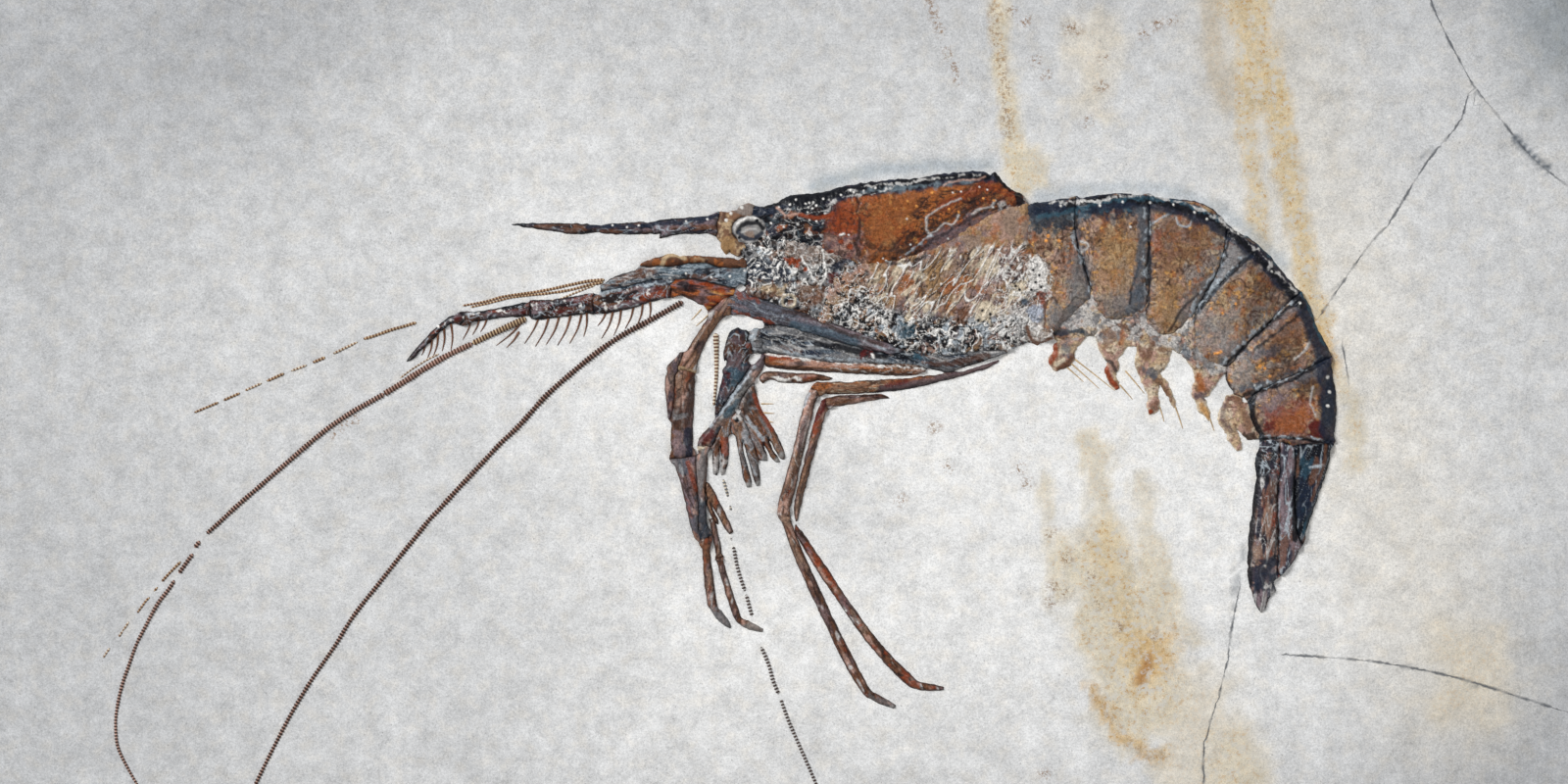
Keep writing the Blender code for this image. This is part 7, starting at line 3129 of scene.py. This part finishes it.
STONE_MARKS = [
    # Painted light and shade: these seven broad patches make the stone lighter in the middle and lower right
    # and darker towards the corners and edges.
    patch(
        Tint.CHALK, (620, 300), (1340, 330), (1400, 640), (720, 700), soft=260, strength=0.8, ragged=14,
        broken=0,
    ),
    patch(
        Tint.ASH, (-200, -120), (420, -120), (260, 110), (-200, 230), soft=190, strength=0.85, ragged=16,
        broken=0,
    ),
    patch(
        Tint.ASH, (300, -200), (1400, -200), (1400, -60), (300, -60), soft=200, strength=0.6, ragged=14,
        broken=0,
    ),
    patch(
        Tint.ASH, (-200, 300), (60, 300), (160, 900), (-200, 900), soft=240, strength=0.45, ragged=16,
        broken=0,
    ),
    patch(
        Tint.ASH, (1440, -120), (1800, -120), (1800, 160), (1580, 60), soft=120, strength=0.7, ragged=14,
        broken=0,
    ),
    patch(
        Tint.STEEL, (1540, -80), (1800, -80), (1800, 130), (1590, 50), soft=90, strength=0.5, ragged=14,
        broken=0,
    ),
    patch(
        Tint.ASH, (1540, 700), (1800, 560), (1800, 920), (1400, 920), soft=170, strength=0.75, ragged=16,
        broken=0,
    ),
    line(
        Tint.WHEAT, 50, (1290, -60), (1310, 120), (1360, 300), (1400, 470), (1480, 700), soft=80,
        strength=0.3, ragged=14,
    ),
    line(
        Tint.DUN, 9, (1228, -20), (1236, 50), (1250, 100), soft=14, strength=0.55, ragged=6, broken=0.5,
        grit=14, lean=80, stretch=5,
    ),
    line(
        Tint.HONEY, 20, (1262, -30), (1276, 40), (1290, 100), soft=16, strength=0.85, ragged=7, broken=0.35,
        grit=16, lean=75, stretch=5,
    ),
    line(
        Tint.HONEY, 8, (1266, 90), (1274, 150), (1284, 210), (1292, 250), soft=9, strength=0.8, ragged=5,
        broken=0.4, grit=12, lean=80, stretch=6,
    ),
    line(
        Tint.HONEY, 10, (1300, 80), (1308, 130), (1316, 180), (1326, 230), (1336, 285), (1348, 330), soft=9,
        strength=0.9, ragged=5, broken=0.35, grit=12, lean=78, stretch=6,
    ),
    line(Tint.AMBERINE, 5, (1342, 335), (1352, 352), (1360, 372), soft=7, strength=0.9, ragged=4),
    line(
        Tint.BUTTER, 7, (1366, 388), (1382, 420), (1384, 470), soft=10, strength=0.7, ragged=6, broken=0.4,
        grit=12,
    ),
    line(
        Tint.BUTTER, 8, (1016, -20), (1020, 50), (1028, 110), (1036, 160), (1044, 195), soft=10,
        strength=0.85, ragged=5, broken=0.4, grit=12, lean=80, stretch=4,
    ),
    patch(
        Tint.BUTTER, (1024, 150), (1062, 146), (1066, 190), (1034, 200), soft=10, strength=0.75, ragged=6,
        broken=0.3, grit=12,
    ),
    patch(
        Tint.WHEAT, (1092, 16), (1136, 20), (1130, 120), (1104, 110), soft=22, strength=0.55, ragged=10,
        broken=0.4, grit=16,
    ),
    patch(
        Tint.BUTTER, (1104, 450), (1136, 450), (1136, 540), (1116, 545), soft=14, strength=0.7, ragged=8,
        broken=0.5, grit=12, lean=85, stretch=4,
    ),
    line(
        Tint.BUTTER, 5, (1068, 490), (1072, 560), (1080, 610), soft=9, strength=0.65, ragged=6, broken=0.5,
        grit=12, lean=85, stretch=4,
    ),
    line(
        Tint.BUTTER, 8, (1164, 490), (1174, 560), (1192, 610), (1216, 650), soft=12, strength=0.6, ragged=7,
        broken=0.5, grit=12, lean=-70, stretch=4,
    ),
    patch(
        Tint.BUTTER, (1070, 560), (1150, 540), (1200, 650), (1196, 740), (1150, 760), (1100, 660), soft=26,
        strength=0.85, ragged=14, broken=0.35, grit=18, lean=-65, stretch=3,
    ),
    line(
        Tint.HONEY, 12, (1128, 556), (1138, 600), (1150, 650), (1166, 700), soft=16, strength=0.8, ragged=9,
        broken=0.45, grit=12, lean=-72, stretch=3,
    ),
    patch(
        Tint.AMBERINE, (1152, 648), (1196, 646), (1196, 694), (1160, 696), soft=16, strength=0.85, ragged=9,
        broken=0.5, grit=10,
    ),
    line(Tint.BRONZE, 3.5, (1172, 672), (1168, 684), (1162, 694), soft=6, strength=0.8, ragged=3),
    line(
        Tint.AMBERINE, 4, (1112, 700), (1120, 714), (1137, 742), (1152, 756), (1168, 768), (1186, 772),
        (1190, 764), soft=6, strength=0.8, ragged=5, broken=0.5, grit=8,
    ),
    patch(
        Tint.WHEAT, (1200, 680), (1250, 700), (1290, 830), (1180, 830), soft=26, strength=0.65, ragged=12,
        broken=0.3, grit=18,
    ),
    patch(
        Tint.BUTTER, (1240, 750), (1290, 760), (1296, 830), (1240, 830), soft=16, strength=0.6, ragged=8,
        broken=0.4, grit=14,
    ),
    patch(
        Tint.WHEAT, (1470, 640), (1530, 650), (1520, 730), (1470, 720), soft=30, strength=0.7, ragged=10,
        broken=0.3, grit=20,
    ),
    line(Tint.CHALK, 12, (736, 330), (736, 400), (724, 470), (735, 560), soft=14, strength=0.8, ragged=4),
    line(Tint.CHALK, 10, (776, 400), (830, 392), (900, 384), (1040, 372), soft=12, strength=0.9, ragged=4),
    line(Tint.CHALK, 10, (1060, 356), (1110, 360), (1200, 390), (1250, 440), soft=14, strength=0.7, ragged=4),
    line(Tint.CHALK, 6, (600, 326), (660, 335), (690, 350), (684, 400), soft=12, strength=0.6, ragged=4),
    # Painted shadows: bluish shade on the stone along the upper edge of the shield and of the tail rings.
    line(Tint.HAZE, 4, (830, 190), (870, 178), (930, 170), (1010, 168), soft=8, strength=0.75, ragged=3),
    line(
        Tint.HAZE, 4, (1060, 200), (1130, 192), (1200, 196), (1262, 226), (1310, 270), soft=8, strength=0.6,
        ragged=3,
    ),
    patch(
        Tint.ASH, (700, 480), (880, 480), (900, 560), (720, 560), soft=60, strength=0.25, ragged=14, broken=0,
    ),
    line(Tint.SLATE, 2.0, (1546, 141), (1560, 156), (1580, 172), soft=4, ragged=2, strength=0.95),
    line(Tint.SLATE, 0.8, (1452, 160), (1462, 152), soft=3, strength=0.6),
    line(Tint.SLATE, 0.6, (1362, 296), (1368, 290), soft=3, strength=0.6),
    line(Tint.SLATE, 0.6, (1434, 680), (1440, 682), soft=3, strength=0.5),
    line(Tint.SLATE, 0.8, (1496, 696), (1508, 700), soft=3, strength=0.5),
    line(
        Tint.SLATE, 1.5, (1268, 560), (1264, 580), (1262, 596), (1256, 630), soft=3, strength=0.5, ragged=3,
        broken=0.5,
    ),
]

BROWN_SPOTS = (
    (1032, 12), (1046, 22), (1090, 28), (1100, 30), (1126, 61), (1124, 89), (1110, 124), (1168, 35),
    (1182, 25), (1196, 20), (1056, 62), (1067, 76), (1048, 494), (1040, 478), (1089, 570), (1113, 589),
    (1088, 604), (1074, 598), (1120, 616), (1142, 640), (1073, 545), (1072, 614), (1178, 650), (1065, 790),
    (362, 427), (353, 433), (342, 441), (954, 436), (968, 477), (920, 510),
)

STONE_SPECKS = [
    *lines(
        None, 3.0, ((948, 0), (953, 14), (961, 35)), ((966, 52), (974, 70), (977, 84)), soft=4, strength=0.9,
    ),
    line(None, 5.0, (1014, 10), (1017, 40), (1024, 80), (1027, 110), (1029, 137), soft=5, strength=0.75),
    line(None, 3.0, (1112, 702), (1137, 740), (1168, 768), (1186, 772), soft=4, strength=0.5),
    *dots(None, 5.0, *BROWN_SPOTS, soft=4.0, ragged=1.0, strength=0.95),
]

CRACKS = [
    (
        (1460, -20), (1460, 0), (1476, 36), (1492, 66), (1504, 88), (1522, 110), (1550, 145), (1566, 163),
        (1599, 189), (1640, 214),
    ),
    ((1499, 94), (1489, 125), (1461, 159), (1443, 186), (1420, 224), (1395, 253), (1367, 293), (1349, 319)),
    ((1371, 357), (1376, 388)),
    ((1266, 596), (1258, 635), (1251, 681), (1242, 715), (1235, 738), (1228, 773), (1229, 800), (1228, 840)),
    ((1310, 668), (1400, 675), (1480, 690), (1540, 708), (1600, 727), (1660, 744)),
]


def main() -> None:
    """Builds the fossil on its stone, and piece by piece."""
    logging.basicConfig(level=logging.INFO, format="%(name)s: %(message)s")
    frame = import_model()
    solids = frame["nodes"]
    Slab(STONE_MARKS, STONE_SPECKS, CRACKS).build(solids["limestone_slab"])
    plates = [*head_plates(), *mouth_leg_plates(), *leg_plates(), *arm_plates(), *tail_plates()]
    shell = {plate.node: plate for plate in plates}
    for plate in shell.values():
        plate.outline = OUTLINES.get(plate.node, ())
        plate.settle(solids[plate.node])
    for seam in SEAMS:
        for node in seam.nodes:
            others = [shell[other].rings for other in seam.nodes if other != node]
            shell[node].touching += [(ring, seam) for rings in others for ring in rings]
    for plate in shell.values():
        plate.build()
    for node, strands in FEELERS.items():
        Feeler(node, strands, BEADS).build()
    for node, spines in COMBS.items():
        Comb(node, spines, LEG_SHELL).build()
    for node, bristles in SETAE.items():
        Comb(node, bristles, TAN_SHELL, bend=0.4, radius=0.9, tint=Tint.SAND).build()
    Studio().build()


if __name__ == "__main__":
    main()
